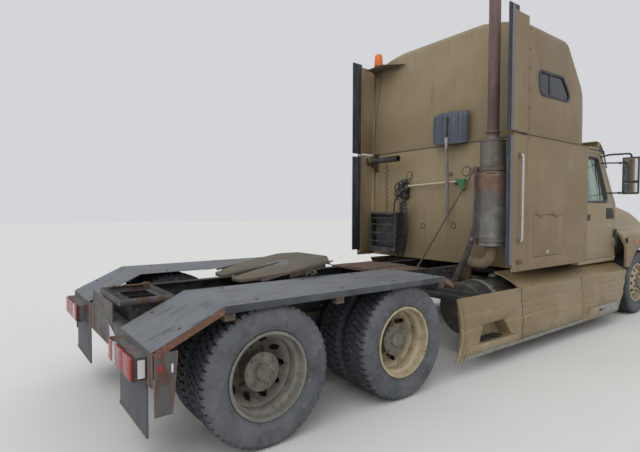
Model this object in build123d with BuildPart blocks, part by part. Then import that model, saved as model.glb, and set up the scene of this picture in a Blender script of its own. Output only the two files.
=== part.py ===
from build123d import *
import os

# Long-nosed road tractor unit with a high-roof sleeper.
# Millimetres. +X forward, +Y to the driver's left, +Z up.
# The origin is on the ground below the middle of the overall length.

os.makedirs("parts", exist_ok=True)

# Stations along the vehicle
REAR_AXLE_X = -3520
TANDEM_SPACING = 1320
FRONT_DRIVE_X = REAR_AXLE_X + TANDEM_SPACING
STEER_X = 3210
REAR_BEAM_X = -4310
NOSE_X = 4400
SLEEPER_REAR_X = -290
SLEEPER_FRONT_X = 1350
DOOR_REAR_X = 1470
DOOR_FRONT_X = 2480
COWL_X = 2560
HOOD_REAR_X = 2570

# Fits
SEAT_GAP = 0.3
PANEL_GAP = 5.0

# Tyres and wheels
TYRE_R = 486
AXLE_Z = TYRE_R
TYRE_HALF_W = 137
BEAD_R = 288
RIM_HALF_W = 117
RIM_FLANGE_R = 303
DROP_R = 262
RIM_WALL = 10
DUAL_CENTRE_Y = 913
DUAL_HALF_SPACING = 165
STEER_WHEEL_Y = 1040
STEER_FACE_Y = 1160
HAND_HOLE_R = 27
HAND_HOLE_CIRCLE_R = 197
HAND_HOLES = 10
HUB_R = 108
AXLE_FLANGE_R = 135
AXLE_FLANGE_Y = 1085
HUB_CAP_R = 58
DRUM_R = 216
DRUM_WALL = 13
DRIVE_SPINDLE_R = 55
STEER_SPINDLE_R = 40
KINGPIN_Y = 870
KINGPIN_R = 20

# Frame
RAIL_OUT_Y = 432
RAIL_FLANGE = 88
RAIL_WALL = 9
RAIL_TOP_Z = 932
RAIL_H = 270
RAIL_BOTTOM_Z = RAIL_TOP_Z - RAIL_H
RAIL_FRONT_X = 4180
REAR_BEAM_DEPTH = 100
RAIL_REAR_X = REAR_BEAM_X + REAR_BEAM_DEPTH + SEAT_GAP

# Quarter fenders; the body's half width sets the widths that line up with it
BODY_HALF_W = 1209
FENDER_OUT_Y = BODY_HALF_W + 27
FENDER_IN_Y = 544
FENDER_TOP_Z = 1008
FENDER_BEND_X = -3870
FENDER_FRONT_X = -1600
FENDER_REAR_Z = 805
FENDER_WALL = 6
FENDER_LIP = 48

# Sleeper
BODY_WALL = 40
FLOOR_Z = 955
SEAM_Z = 2435
ROOF_TOP_Z = 3950
ROOF_REAR_Z = ROOF_TOP_Z - 150
ROOF_SHOULDER_Z = ROOF_TOP_Z - 310

# Cab
CAB_HALF_W = BODY_HALF_W - 149
DOOR_THICK = 50
PILLAR_DEPTH = 120
BELT_Z = 1690
CAB_TOP_Z = 2455
TUMBLEHOME = 70
DOOR_BOTTOM_Z = 935
DOOR_TOP_Z = 2420
DOOR_TOP_FRONT_X = 2130
CAB_ROOF_CROWN_Z = 2620
CAB_ROOF_FRONT_X = 2170

# Hood
HOOD_HALF_W = BODY_HALF_W + 6
HOOD_BODY_HALF_W = HOOD_HALF_W - 415
HOOD_BOTTOM_Z = 780
HOOD_WALL = 30
HOOD_NOSE_X = 4340
ARCH_R = 575
HOOD_HINGE_X = 4300
HOOD_HINGE_Z = 690

# Skirts
SKIRT_OUT_Y = BODY_HALF_W + 26
SKIRT_WALL = 22
SKIRT_STEP = 12
SKIRT_BOTTOM_Z = 170
SKIRT_SHOULDER_Z = 740
SHELF_IN_Y = SKIRT_OUT_Y - 250
SHELF_Z = 932
CAB_SHELF_Z = 868

# Fifth wheel
PLATE_PIVOT_X = -2720
PLATE_PIVOT_Z = 1022
PLATE_TILT_DEG = 8.8
PLATE_HALF_W = 450
PLATE_THICK = 26
PLATE_TOP_ABOVE_PIVOT = 62
KINGPIN_SEAT_R = 25.8
PIVOT_PIN_R = 25


def side_plane(y):
    """Sketch plane in X and Z; an extrusion from it runs towards -Y."""
    return Plane(origin=(0, y, 0), x_dir=(1, 0, 0), z_dir=(0, -1, 0))


def cross_plane(x):
    """Sketch plane in Y and Z; an extrusion from it runs towards +X."""
    return Plane(origin=(x, 0, 0), x_dir=(0, 1, 0), z_dir=(1, 0, 0))


def outline(points, radius=0.0):
    """Closed face from corner points, with one radius or one for each corner."""
    with BuildLine() as edge_loop:
        FilletPolyline(points, radius=radius, close=True)
    make_face(edge_loop.edges())


def block(xs, ys, zs, mode=Mode.ADD):
    """Rectangular bar between two X, two Y and two Z values."""
    centre = (sum(xs) / 2, sum(ys) / 2, sum(zs) / 2)
    with Locations(centre):
        Box(xs[1] - xs[0], ys[1] - ys[0], zs[1] - zs[0], mode=mode)


def tube(points, radius, bend):
    """Round bar along straight runs that are joined by tangent arcs."""
    with BuildLine() as route:
        if len(points) > 2:
            FilletPolyline(points, radius=bend)
        else:
            Line(points)
    path = route.wires()[0]
    section = Face(Wire.make_circle(radius, Plane(origin=path @ 0, z_dir=path % 0)))
    sweep(sections=section, path=path)


def post(x, y, zs, radius, mode=Mode.ADD):
    """Vertical cylinder between two Z values."""
    with Locations((x, y, sum(zs) / 2)):
        Cylinder(radius, zs[1] - zs[0], mode=mode)


def wheel_plane(x):
    """Sketch plane of a wheel's half section: radius along X, distance from the middle along Y."""
    return Plane(origin=(x, 0, AXLE_Z), x_dir=(1, 0, 0), z_dir=(0, 0, 1))


def ring_section(corners):
    """Face of a turned part from (radius, distance from the vehicle's middle) corners."""
    with BuildLine() as edge_loop:
        Polyline(corners, close=True)
    make_face(edge_loop.edges())


def tyre_section(centre):
    """Half section of a tyre: beads on the rim, bulged sidewalls and a flat tread."""
    half = [(BEAD_R + SEAT_GAP, 98), (304, 102), (316, 122), (392, TYRE_HALF_W), (452, 132), (478, 118), (TYRE_R, 96)]
    far = [(r, centre + w) for r, w in half]
    near = [(r, centre - w) for r, w in reversed(half)]
    ring_section(far + near)


def rim_section(centre):
    """Half section of a drop-centre rim."""
    outer = [(RIM_FLANGE_R, RIM_HALF_W), (RIM_FLANGE_R, 107), (BEAD_R, 103), (BEAD_R, 62), (DROP_R, 46)]
    inner = [(r - RIM_WALL, w - 4) for r, w in outer[2:]]
    right = outer + [(r, -w) for r, w in reversed(outer)]
    left = [(BEAD_R - RIM_WALL, -RIM_HALF_W)] + [(r, -w) for r, w in inner]
    left = left + [(r, w) for r, w in reversed(inner)] + [(BEAD_R - RIM_WALL, RIM_HALF_W)]
    ring_section([(r, centre + w) for r, w in right + left])


def disc_section(rim_y, face_y, thick):
    """Half section of a dished disc from the rim's drop centre to the hub's face."""
    root_r = DROP_R - RIM_WALL / 2
    ring_section([
        (root_r, rim_y), (root_r, rim_y + thick), (160, face_y + thick),
        (90, face_y + thick), (90, face_y), (155, face_y),
    ])


def make_tyres(x, centres, side):
    """One solid for each tyre of a wheel."""
    with BuildPart() as tyres:
        with BuildSketch(wheel_plane(x)):
            for centre in centres:
                tyre_section(side * centre)
        revolve(axis=Axis((x, 0, AXLE_Z), (0, 1, 0)))
    return tyres.part


def drill_disc(x, side, y_from, y_to):
    """Round hand holes through the disc."""
    middle = side * (y_from + y_to) / 2
    holes = Plane(origin=(x, middle, AXLE_Z), x_dir=(1, 0, 0), z_dir=(0, 1, 0))
    with Locations(holes):
        with PolarLocations(HAND_HOLE_CIRCLE_R, HAND_HOLES):
            Cylinder(HAND_HOLE_R, y_to - y_from, mode=Mode.SUBTRACT)


def make_twin_rims(x, side):
    """Two rims with their dished discs back to back, the hub and the brake drum."""
    outer_y = DUAL_CENTRE_Y + DUAL_HALF_SPACING
    inner_y = DUAL_CENTRE_Y - DUAL_HALF_SPACING
    bore_r = DRIVE_SPINDLE_R + SEAT_GAP
    drum_y = (700, 868, 880)
    with BuildPart() as rims:
        with BuildSketch(wheel_plane(x)):
            rim_section(side * outer_y)
            rim_section(side * inner_y)
            disc_section(side * (outer_y - 44), side * DUAL_CENTRE_Y, side * 12)
            disc_section(side * (inner_y + 44), side * DUAL_CENTRE_Y, side * -12)
            ring_section([
                (bore_r, side * drum_y[1]), (DRUM_R, side * drum_y[1]), (DRUM_R, side * drum_y[0]),
                (DRUM_R - DRUM_WALL, side * drum_y[0]), (DRUM_R - DRUM_WALL, side * (drum_y[1] - 1)),
                (DRUM_R - DRUM_WALL, side * drum_y[1]), (DRUM_R, side * drum_y[2]), (bore_r, side * drum_y[2]),
            ])
            ring_section([
                (bore_r, side * drum_y[1]), (HUB_R + 30, side * drum_y[1]), (HUB_R + 30, side * 925),
                (HUB_R, side * 940), (HUB_R - 12, side * 1060), (AXLE_FLANGE_R, side * 1060),
                (AXLE_FLANGE_R, side * AXLE_FLANGE_Y), (HUB_CAP_R, side * AXLE_FLANGE_Y),
                (HUB_CAP_R - 8, side * 1108), (0, side * 1108), (0, side * 1048), (bore_r, side * 1048),
            ])
        revolve(axis=Axis((x, 0, AXLE_Z), (0, 1, 0)))
        drill_disc(x, side, inner_y, DUAL_CENTRE_Y - 20)
        drill_disc(x, side, DUAL_CENTRE_Y + 20, outer_y)
    return rims.part


def make_steer_rim(side):
    """One rim with its disc dished outwards, the hub and the brake drum."""
    bore_r = STEER_SPINDLE_R + SEAT_GAP
    drum_y = (912, 1075, 1087)
    with BuildPart() as rim:
        with BuildSketch(wheel_plane(STEER_X)):
            rim_section(side * STEER_WHEEL_Y)
            disc_section(side * (STEER_WHEEL_Y + 34), side * (STEER_FACE_Y - 12), side * 12)
            ring_section([
                (bore_r, side * drum_y[1]), (DRUM_R, side * drum_y[1]), (DRUM_R, side * drum_y[0]),
                (DRUM_R - DRUM_WALL, side * drum_y[0]), (DRUM_R - DRUM_WALL, side * (drum_y[1] - 1)),
                (DRUM_R - DRUM_WALL, side * drum_y[1]), (DRUM_R, side * drum_y[2]), (bore_r, side * drum_y[2]),
            ])
            ring_section([
                (bore_r, side * 985), (HUB_R - 14, side * 985), (HUB_R, side * 1080),
                (HUB_R + 28, side * (STEER_FACE_Y - 12)), (HUB_R + 28, side * STEER_FACE_Y),
                (HUB_CAP_R + 14, side * STEER_FACE_Y), (HUB_CAP_R + 6, side * 1196),
                (0, side * 1196), (0, side * 1128), (bore_r, side * 1128),
            ])
        revolve(axis=Axis((STEER_X, 0, AXLE_Z), (0, 1, 0)))
        drill_disc(STEER_X, side, STEER_WHEEL_Y + 50, STEER_FACE_Y + 20)
    return rim.part


# Wheels
DUAL_CENTRES = (DUAL_CENTRE_Y - DUAL_HALF_SPACING, DUAL_CENTRE_Y + DUAL_HALF_SPACING)
SIDES = (("left", 1), ("right", -1))
for axle_name, axle_x in (("front_drive", FRONT_DRIVE_X), ("rear_drive", REAR_AXLE_X)):
    for side_name, side in SIDES:
        tyres = make_tyres(axle_x, DUAL_CENTRES, side)
        tyres.label = f"{axle_name}_tyres_{side_name}"
        export_step(tyres, f"parts/{tyres.label}.step")
        rims = make_twin_rims(axle_x, side)
        rims.label = f"{axle_name}_rims_{side_name}"
        export_step(rims, f"parts/{rims.label}.step")

for side_name, side in SIDES:
    tyres = make_tyres(STEER_X, (STEER_WHEEL_Y,), side)
    tyres.label = f"steer_tyre_{side_name}"
    export_step(tyres, f"parts/{tyres.label}.step")
    rims = make_steer_rim(side)
    rims.label = f"steer_rim_{side_name}"
    export_step(rims, f"parts/{rims.label}.step")

# Knuckles: a yoke on the kingpin, the wheel spindle, the brake plate and the steering arm
YOKE_Z = (AXLE_Z - 114, AXLE_Z - 62, AXLE_Z + 62, AXLE_Z + 114)
YOKE_HALF = 48
for side_name, side in SIDES:
    with BuildPart() as knuckle:
        for low, high in ((YOKE_Z[0], YOKE_Z[1]), (YOKE_Z[2], YOKE_Z[3])):
            post(STEER_X, side * KINGPIN_Y, (low, high), YOKE_HALF)
            block((STEER_X - YOKE_HALF, STEER_X + YOKE_HALF), (side * 905 - 35, side * 905 + 35), (low, high))
        block((STEER_X - YOKE_HALF, STEER_X + YOKE_HALF), (side * 933 - 8, side * 933 + 8), (YOKE_Z[0], YOKE_Z[3]))
        post(STEER_X, side * KINGPIN_Y, (YOKE_Z[0], YOKE_Z[3]), KINGPIN_R)
        with BuildSketch(Plane(origin=(STEER_X, side * 941, AXLE_Z), x_dir=(1, 0, 0), z_dir=(0, side, 0))):
            Circle(STEER_SPINDLE_R)
        extrude(amount=1122 - 941)
        tube([(STEER_X, side * 905, 400), (STEER_X - 120, side * 850, 390), (STEER_X - 250, side * 800, 390)], 18, 40)
    knuckle.part.label = f"knuckle_{side_name}"
    export_step(knuckle.part, f"parts/{knuckle.part.label}.step")

# Frame rails: two channels with their flanges turned inwards
with BuildPart() as frame_rails:
    with BuildSketch(cross_plane(RAIL_REAR_X)):
        outline([
            (RAIL_OUT_Y, RAIL_BOTTOM_Z), (RAIL_OUT_Y, RAIL_TOP_Z), (RAIL_OUT_Y - RAIL_FLANGE, RAIL_TOP_Z),
            (RAIL_OUT_Y - RAIL_FLANGE, RAIL_TOP_Z - RAIL_WALL), (RAIL_OUT_Y - RAIL_WALL, RAIL_TOP_Z - RAIL_WALL),
            (RAIL_OUT_Y - RAIL_WALL, RAIL_BOTTOM_Z + RAIL_WALL),
            (RAIL_OUT_Y - RAIL_FLANGE, RAIL_BOTTOM_Z + RAIL_WALL), (RAIL_OUT_Y - RAIL_FLANGE, RAIL_BOTTOM_Z),
        ])
    extrude(amount=RAIL_FRONT_X - RAIL_REAR_X)
    mirror(about=Plane.XZ)
frame_rails.part.label = "frame_rails"
export_step(frame_rails.part, "parts/frame_rails.step")

# Crossmembers between the webs: middle station, lower edge and upper edge of each
CROSSMEMBERS = (
    (-4160, 690, 905), (-2860, 690, 905), (-1180, 690, 905),
    (700, 810, 905), (1600, 862, 905), (4130, 690, 905),
)
MEMBER_HALF_Y = RAIL_OUT_Y - RAIL_WALL - SEAT_GAP
MEMBER_HALF_X = 35
MEMBER_WALL = 8

# Fender brackets: tapered outriggers from the rails, each with its station and the plate's height there
FENDER_UNDER_Z = FENDER_TOP_Z - FENDER_WALL
BRACKETS = ((-4120, 874), (-2860, FENDER_UNDER_Z), (-1790, FENDER_UNDER_Z))
BRACKET_FOOT_Z = RAIL_TOP_Z - 180
BRACKET_HALF_X = 25

# Deck boards over the rails ahead of the fifth wheel: inner edge, outer edge and thickness of each
DECK_X = (-1680, -1040)
DECK_BOARDS = ((-450, -155, 22), (-155, 185, 30), (185, 450, 18))
DECK_Z = RAIL_TOP_Z + SEAT_GAP

# Skirt outriggers: station, outer end, lower edge and upper edge of each; cab mounts: stations
REAR_ARM_Z = (690, 750)
REAR_ARM_END_Y = SKIRT_OUT_Y - 2 * SKIRT_STEP - SKIRT_WALL - SEAT_GAP
SHELF_ARM_END_Y = SHELF_IN_Y - SEAT_GAP
OUTRIGGERS = (
    (-1250, REAR_ARM_END_Y, *REAR_ARM_Z), (-970, REAR_ARM_END_Y, *REAR_ARM_Z),
    (-200, SHELF_ARM_END_Y, SHELF_Z - 70, SHELF_Z - 5), (950, SHELF_ARM_END_Y, SHELF_Z - 70, SHELF_Z - 5),
    (1700, SHELF_ARM_END_Y, CAB_SHELF_Z - 60, CAB_SHELF_Z - 5),
    (2300, SHELF_ARM_END_Y, CAB_SHELF_Z - 60, CAB_SHELF_Z - 5),
)
CAB_MOUNTS = (-180, 1150, 2200)
with BuildPart() as crossmembers:
    for member_x, low, high in CROSSMEMBERS:
        rear_x = member_x - MEMBER_HALF_X
        front_x = member_x + MEMBER_HALF_X
        with BuildSketch(side_plane(MEMBER_HALF_Y)):
            outline([
                (rear_x, low), (front_x, low), (front_x, low + MEMBER_WALL),
                (rear_x + MEMBER_WALL, low + MEMBER_WALL), (rear_x + MEMBER_WALL, high - MEMBER_WALL),
                (front_x, high - MEMBER_WALL), (front_x, high), (rear_x, high),
            ])
        extrude(amount=2 * MEMBER_HALF_Y)
    for bracket_x, plate_z in BRACKETS:
        foot_y = RAIL_OUT_Y + SEAT_GAP
        top = plate_z - SEAT_GAP
        with BuildSketch(cross_plane(bracket_x - BRACKET_HALF_X)):
            outline([
                (foot_y, BRACKET_FOOT_Z), (foot_y + 14, BRACKET_FOOT_Z), (foot_y + 50, top - 110),
                (1150, top - 45), (1150, top), (foot_y + 30, top), (foot_y + 30, top - 70), (foot_y, top - 70),
            ])
        extrude(amount=2 * BRACKET_HALF_X)
    for arm_x, end_y, low, high in OUTRIGGERS:
        block((arm_x - BRACKET_HALF_X, arm_x + BRACKET_HALF_X), (RAIL_OUT_Y + SEAT_GAP, end_y), (low, high))
    for mount_x in CAB_MOUNTS:
        block((mount_x - 60, mount_x + 60), (RAIL_OUT_Y - RAIL_FLANGE, RAIL_OUT_Y), (DECK_Z, FLOOR_Z - SEAT_GAP))
    mirror(about=Plane.XZ)
    for low, high, thick in DECK_BOARDS:
        block(DECK_X, (low, high), (DECK_Z, DECK_Z + thick))
crossmembers.part.label = "crossmembers"
export_step(crossmembers.part, "parts/crossmembers.step")

# Rear beam: a folded plate across both fenders with the lamp boxes, and the angle-iron box frame
BEAM_TOP_Z = FENDER_REAR_Z - FENDER_WALL - SEAT_GAP
BEAM_BOTTOM_Z = 600
BEAM_PLATE = 6
BEAM_RISE_HALF_W = 330
LAMP_Y = (600, 1150)
LAMP_Z = (622, 770)
LENS_DEPTH = 24
LENS_FRAME = 4
LAMP_REAR_X = -NOSE_X + LENS_DEPTH
BOX_FRAME_X = (-4295, -3920)
BOX_FRAME_Y = (-480, 140)
BOX_FRAME_Z = RAIL_TOP_Z + SEAT_GAP
ANGLE_LEG = 45
ANGLE_WALL = 5
with BuildPart() as rear_beam:
    with BuildSketch(side_plane(FENDER_OUT_Y)):
        outline([
            (REAR_BEAM_X, BEAM_BOTTOM_Z), (REAR_BEAM_X, BEAM_TOP_Z), (REAR_BEAM_X + REAR_BEAM_DEPTH, BEAM_TOP_Z),
            (REAR_BEAM_X + REAR_BEAM_DEPTH, BEAM_TOP_Z - BEAM_PLATE),
            (REAR_BEAM_X + BEAM_PLATE, BEAM_TOP_Z - BEAM_PLATE), (REAR_BEAM_X + BEAM_PLATE, BEAM_BOTTOM_Z),
        ])
    extrude(amount=2 * FENDER_OUT_Y)
    rise = (REAR_BEAM_X, REAR_BEAM_X + BEAM_PLATE)
    block(rise, (-BEAM_RISE_HALF_W, BEAM_RISE_HALF_W), (BEAM_TOP_Z - 1, RAIL_TOP_Z))
    with BuildSketch(cross_plane(LAMP_REAR_X + SEAT_GAP)):
        outline([(y, z) for y, z in (
            (LAMP_Y[0], LAMP_Z[0]), (LAMP_Y[1], LAMP_Z[0]), (LAMP_Y[1], LAMP_Z[1]), (LAMP_Y[0], LAMP_Z[1]),
        )], 10)
    lamp_boxes = extrude(amount=REAR_BEAM_X - LAMP_REAR_X)
    mirror(lamp_boxes, about=Plane.XZ)
    for low, high in ((BOX_FRAME_X[0], BOX_FRAME_X[0] + ANGLE_LEG), (BOX_FRAME_X[1] - ANGLE_LEG, BOX_FRAME_X[1])):
        block((low, high), BOX_FRAME_Y, (BOX_FRAME_Z, BOX_FRAME_Z + ANGLE_WALL))
    for low, high in ((BOX_FRAME_Y[0], BOX_FRAME_Y[0] + ANGLE_LEG), (BOX_FRAME_Y[1] - ANGLE_LEG, BOX_FRAME_Y[1])):
        block(BOX_FRAME_X, (low, high), (BOX_FRAME_Z, BOX_FRAME_Z + ANGLE_WALL))
    for x_low in (BOX_FRAME_X[0], BOX_FRAME_X[1] - ANGLE_WALL):
        block((x_low, x_low + ANGLE_WALL), BOX_FRAME_Y, (BOX_FRAME_Z, BOX_FRAME_Z + ANGLE_LEG))
    for y_low in (BOX_FRAME_Y[0], BOX_FRAME_Y[1] - ANGLE_WALL):
        block(BOX_FRAME_X, (y_low, y_low + ANGLE_WALL), (BOX_FRAME_Z, BOX_FRAME_Z + ANGLE_LEG))
rear_beam.part.label = "rear_beam"
export_step(rear_beam.part, "parts/rear_beam.step")

# Quarter fenders: a folded plate with a fall at each end and a lip down the outer edge
FENDER_LINE = [
    (REAR_BEAM_X, FENDER_REAR_Z), (FENDER_BEND_X, FENDER_TOP_Z),
    (FENDER_FRONT_X - 130, FENDER_TOP_Z), (FENDER_FRONT_X, FENDER_TOP_Z - 70),
]


def fender_strip(depth):
    """Side outline of the fender plate with the given depth below its top line."""
    lower = [(x, z - depth) for x, z in reversed(FENDER_LINE)]
    outline(FENDER_LINE + lower)


with BuildPart() as fenders:
    with BuildSketch(side_plane(FENDER_OUT_Y)):
        fender_strip(FENDER_WALL)
    extrude(amount=FENDER_OUT_Y - FENDER_IN_Y)
    with BuildSketch(side_plane(FENDER_OUT_Y)):
        fender_strip(FENDER_LIP)
    extrude(amount=FENDER_WALL)
    lip_y = (FENDER_OUT_Y - FENDER_WALL, FENDER_OUT_Y)
    block((REAR_BEAM_X, REAR_BEAM_X + 160), lip_y, (FENDER_REAR_Z - 49, 812), mode=Mode.SUBTRACT)
    mirror(about=Plane.XZ)
fenders.part.label = "fenders"
export_step(fenders.part, "parts/fenders.step")

# Mud flaps behind the twin wheels, and the small corner plates with the side reflectors
FLAP_Y = (500, 1120)
with BuildPart() as mud_flaps:
    block((REAR_BEAM_X + BEAM_PLATE + SEAT_GAP, REAR_BEAM_X + BEAM_PLATE + 8), FLAP_Y, (270, 700))
    with BuildSketch(side_plane(FENDER_OUT_Y - SEAT_GAP)):
        outline([
            (REAR_BEAM_X + 12, 430), (REAR_BEAM_X + 12, BEAM_TOP_Z - BEAM_PLATE - SEAT_GAP),
            (REAR_BEAM_X + 150, BEAM_TOP_Z - BEAM_PLATE - SEAT_GAP), (REAR_BEAM_X + 120, 430),
        ])
    extrude(amount=5)
    mirror(about=Plane.XZ)
mud_flaps.part.label = "mud_flaps"
export_step(mud_flaps.part, "parts/mud_flaps.step")

# Tail lamp lenses over the rear faces of the lamp boxes
with BuildPart() as tail_lamp_lenses:
    lens_y = (LAMP_Y[0] + LENS_FRAME, LAMP_Y[1] - LENS_FRAME)
    lens_z = (LAMP_Z[0] + LENS_FRAME, LAMP_Z[1] - LENS_FRAME)
    with BuildSketch(cross_plane(-NOSE_X)):
        outline([(lens_y[0], lens_z[0]), (lens_y[1], lens_z[0]), (lens_y[1], lens_z[1]), (lens_y[0], lens_z[1])], 14)
    extrude(amount=LENS_DEPTH)
    mirror(about=Plane.XZ)
tail_lamp_lenses.part.label = "tail_lamp_lenses"
export_step(tail_lamp_lenses.part, "parts/tail_lamp_lenses.step")

# Fifth wheel: brackets on the rails with the pivot pins, and the tilting plate
EAR_Y = ((300, 322), (378, 400))
LUG_Y = (323, 377)
with BuildPart() as fifth_wheel_base:
    with BuildSketch(side_plane(RAIL_OUT_Y)):
        outline([
            (PLATE_PIVOT_X - 260, RAIL_TOP_Z + SEAT_GAP), (PLATE_PIVOT_X + 260, RAIL_TOP_Z + SEAT_GAP),
            (PLATE_PIVOT_X + 260, RAIL_TOP_Z + 16), (PLATE_PIVOT_X - 260, RAIL_TOP_Z + 16),
        ])
    extrude(amount=RAIL_OUT_Y - 290)
    for ear in EAR_Y:
        with BuildSketch(side_plane(ear[1])):
            outline([
                (PLATE_PIVOT_X - 120, RAIL_TOP_Z + 10), (PLATE_PIVOT_X + 120, RAIL_TOP_Z + 10),
                (PLATE_PIVOT_X + 30, PLATE_PIVOT_Z + 30), (PLATE_PIVOT_X - 30, PLATE_PIVOT_Z + 30),
            ], [0, 0, 28, 28])
        extrude(amount=ear[1] - ear[0])
    with BuildSketch(Plane(origin=(PLATE_PIVOT_X, EAR_Y[0][0] - 8, PLATE_PIVOT_Z), x_dir=(1, 0, 0), z_dir=(0, 1, 0))):
        Circle(PIVOT_PIN_R)
    extrude(amount=EAR_Y[1][1] - EAR_Y[0][0] + 16)
    mirror(about=Plane.XZ)
    with BuildSketch(side_plane(RAIL_OUT_Y - 132)):
        with Locations((PLATE_PIVOT_X - 215, RAIL_TOP_Z + 8 + SEAT_GAP)):
            Rectangle(60, 15)
        with Locations((PLATE_PIVOT_X + 215, RAIL_TOP_Z + 8 + SEAT_GAP)):
            Rectangle(60, 15)
    extrude(amount=2 * (RAIL_OUT_Y - 132))
fifth_wheel_base.part.label = "fifth_wheel_base"
export_step(fifth_wheel_base.part, "parts/fifth_wheel_base.step")

# The plate is drawn level about its pivot and then tipped rearwards
PLATE_TOP_Z = PLATE_PIVOT_Z + PLATE_TOP_ABOVE_PIVOT
with BuildPart() as fifth_wheel_plate:
    with BuildSketch(Plane.XY.offset(PLATE_TOP_Z - PLATE_THICK)):
        outline([
            (PLATE_PIVOT_X - 545, 95), (PLATE_PIVOT_X - 545, 270), (PLATE_PIVOT_X - 180, PLATE_HALF_W),
            (PLATE_PIVOT_X + 300, PLATE_HALF_W), (PLATE_PIVOT_X + 430, 250), (PLATE_PIVOT_X + 430, -250),
            (PLATE_PIVOT_X + 300, -PLATE_HALF_W), (PLATE_PIVOT_X - 180, -PLATE_HALF_W),
            (PLATE_PIVOT_X - 545, -270), (PLATE_PIVOT_X - 545, -95),
            (PLATE_PIVOT_X - 120, -KINGPIN_SEAT_R), (PLATE_PIVOT_X, -KINGPIN_SEAT_R),
            (PLATE_PIVOT_X, KINGPIN_SEAT_R), (PLATE_PIVOT_X - 120, KINGPIN_SEAT_R),
        ], [12, 60, 90, 90, 60, 60, 90, 90, 60, 12, 30, 0, 0, 30])
        with Locations((PLATE_PIVOT_X, 0)):
            Circle(KINGPIN_SEAT_R, mode=Mode.SUBTRACT)
    extrude(amount=PLATE_THICK)
    for low, high in ((-PLATE_HALF_W + 6, -PLATE_HALF_W + 18), (PLATE_HALF_W - 18, PLATE_HALF_W - 6)):
        rib_z = (PLATE_TOP_Z - 60, PLATE_TOP_Z - PLATE_THICK + 1)
        block((PLATE_PIVOT_X - 150, PLATE_PIVOT_X + 230), (low, high), rib_z)
    for side_name, side in SIDES:
        middle = side * (LUG_Y[0] + LUG_Y[1]) / 2
        with BuildSketch(side_plane(middle + (LUG_Y[1] - LUG_Y[0]) / 2)):
            outline([
                (PLATE_PIVOT_X - 36, PLATE_PIVOT_Z - 36), (PLATE_PIVOT_X + 36, PLATE_PIVOT_Z - 36),
                (PLATE_PIVOT_X + 80, PLATE_TOP_Z - PLATE_THICK + 1),
                (PLATE_PIVOT_X - 80, PLATE_TOP_Z - PLATE_THICK + 1),
            ], [30, 30, 0, 0])
            with Locations((PLATE_PIVOT_X, PLATE_PIVOT_Z)):
                Circle(PIVOT_PIN_R + SEAT_GAP, mode=Mode.SUBTRACT)
        extrude(amount=LUG_Y[1] - LUG_Y[0])
PIVOT_LINE = Axis((PLATE_PIVOT_X, 0, PLATE_PIVOT_Z), (0, 1, 0))
tipped_plate = fifth_wheel_plate.part.rotate(PIVOT_LINE, -PLATE_TILT_DEG)
tipped_plate.label = "fifth_wheel_plate"
export_step(tipped_plate, "parts/fifth_wheel_plate.step")

# Axles: the dropped front beam, two drive axles with their bowls, and the prop shafts
BEAM_EYE_Z = (YOKE_Z[1] + 1, YOKE_Z[2] - 1)
SPRING_SEAT_Z = 424
GEARBOX_REAR_X = 1720
GEARBOX_REAR_Z = 770
PINION_NOSE = 320
PINION_Z = AXLE_Z + 36
SHAFT_R = 52
AXLE_TUBE_R = 74
with BuildPart() as axles:
    with BuildSketch(cross_plane(STEER_X - 42)):
        outline([
            (-860, BEAM_EYE_Z[0] + 8), (-690, BEAM_EYE_Z[0] + 8), (-520, 330), (520, 330), (690, BEAM_EYE_Z[0] + 8),
            (860, BEAM_EYE_Z[0] + 8), (860, BEAM_EYE_Z[1] - 8), (690, BEAM_EYE_Z[1] - 8), (540, SPRING_SEAT_Z),
            (-540, SPRING_SEAT_Z), (-690, BEAM_EYE_Z[1] - 8), (-860, BEAM_EYE_Z[1] - 8),
        ], [0, 60, 60, 60, 60, 0, 0, 60, 60, 60, 60, 0])
    extrude(amount=84)
    for side_name, side in SIDES:
        post(STEER_X, side * KINGPIN_Y, BEAM_EYE_Z, YOKE_HALF)
        post(STEER_X, side * KINGPIN_Y, BEAM_EYE_Z, KINGPIN_R + SEAT_GAP, mode=Mode.SUBTRACT)
    for axle_x in (FRONT_DRIVE_X, REAR_AXLE_X):
        with BuildSketch(wheel_plane(axle_x)):
            outline([
                (0, -1040), (DRIVE_SPINDLE_R, -1040), (DRIVE_SPINDLE_R, -690), (AXLE_TUBE_R, -680),
                (AXLE_TUBE_R, -330), (215, -150), (215, 120), (AXLE_TUBE_R, 300), (AXLE_TUBE_R, 680),
                (DRIVE_SPINDLE_R, 690), (DRIVE_SPINDLE_R, 1040), (0, 1040),
            ])
        revolve(axis=Axis((axle_x, 0, AXLE_Z), (0, 1, 0)))
        with BuildSketch(Plane(origin=(axle_x + 150, 0, AXLE_Z + 30), x_dir=(0, 1, 0), z_dir=(1, 0, 0))):
            Circle(120)
        extrude(amount=PINION_NOSE - 150, taper=12)
    shaft_end = (FRONT_DRIVE_X + PINION_NOSE - 10, 0, PINION_Z)
    tube([(GEARBOX_REAR_X - 4, 0, GEARBOX_REAR_Z), shaft_end], SHAFT_R, 0)
    tube([(FRONT_DRIVE_X - 190, 0, PINION_Z), (REAR_AXLE_X + PINION_NOSE - 10, 0, PINION_Z)], SHAFT_R, 0)
axles.part.label = "axles"
export_step(axles.part, "parts/axles.step")

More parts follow.
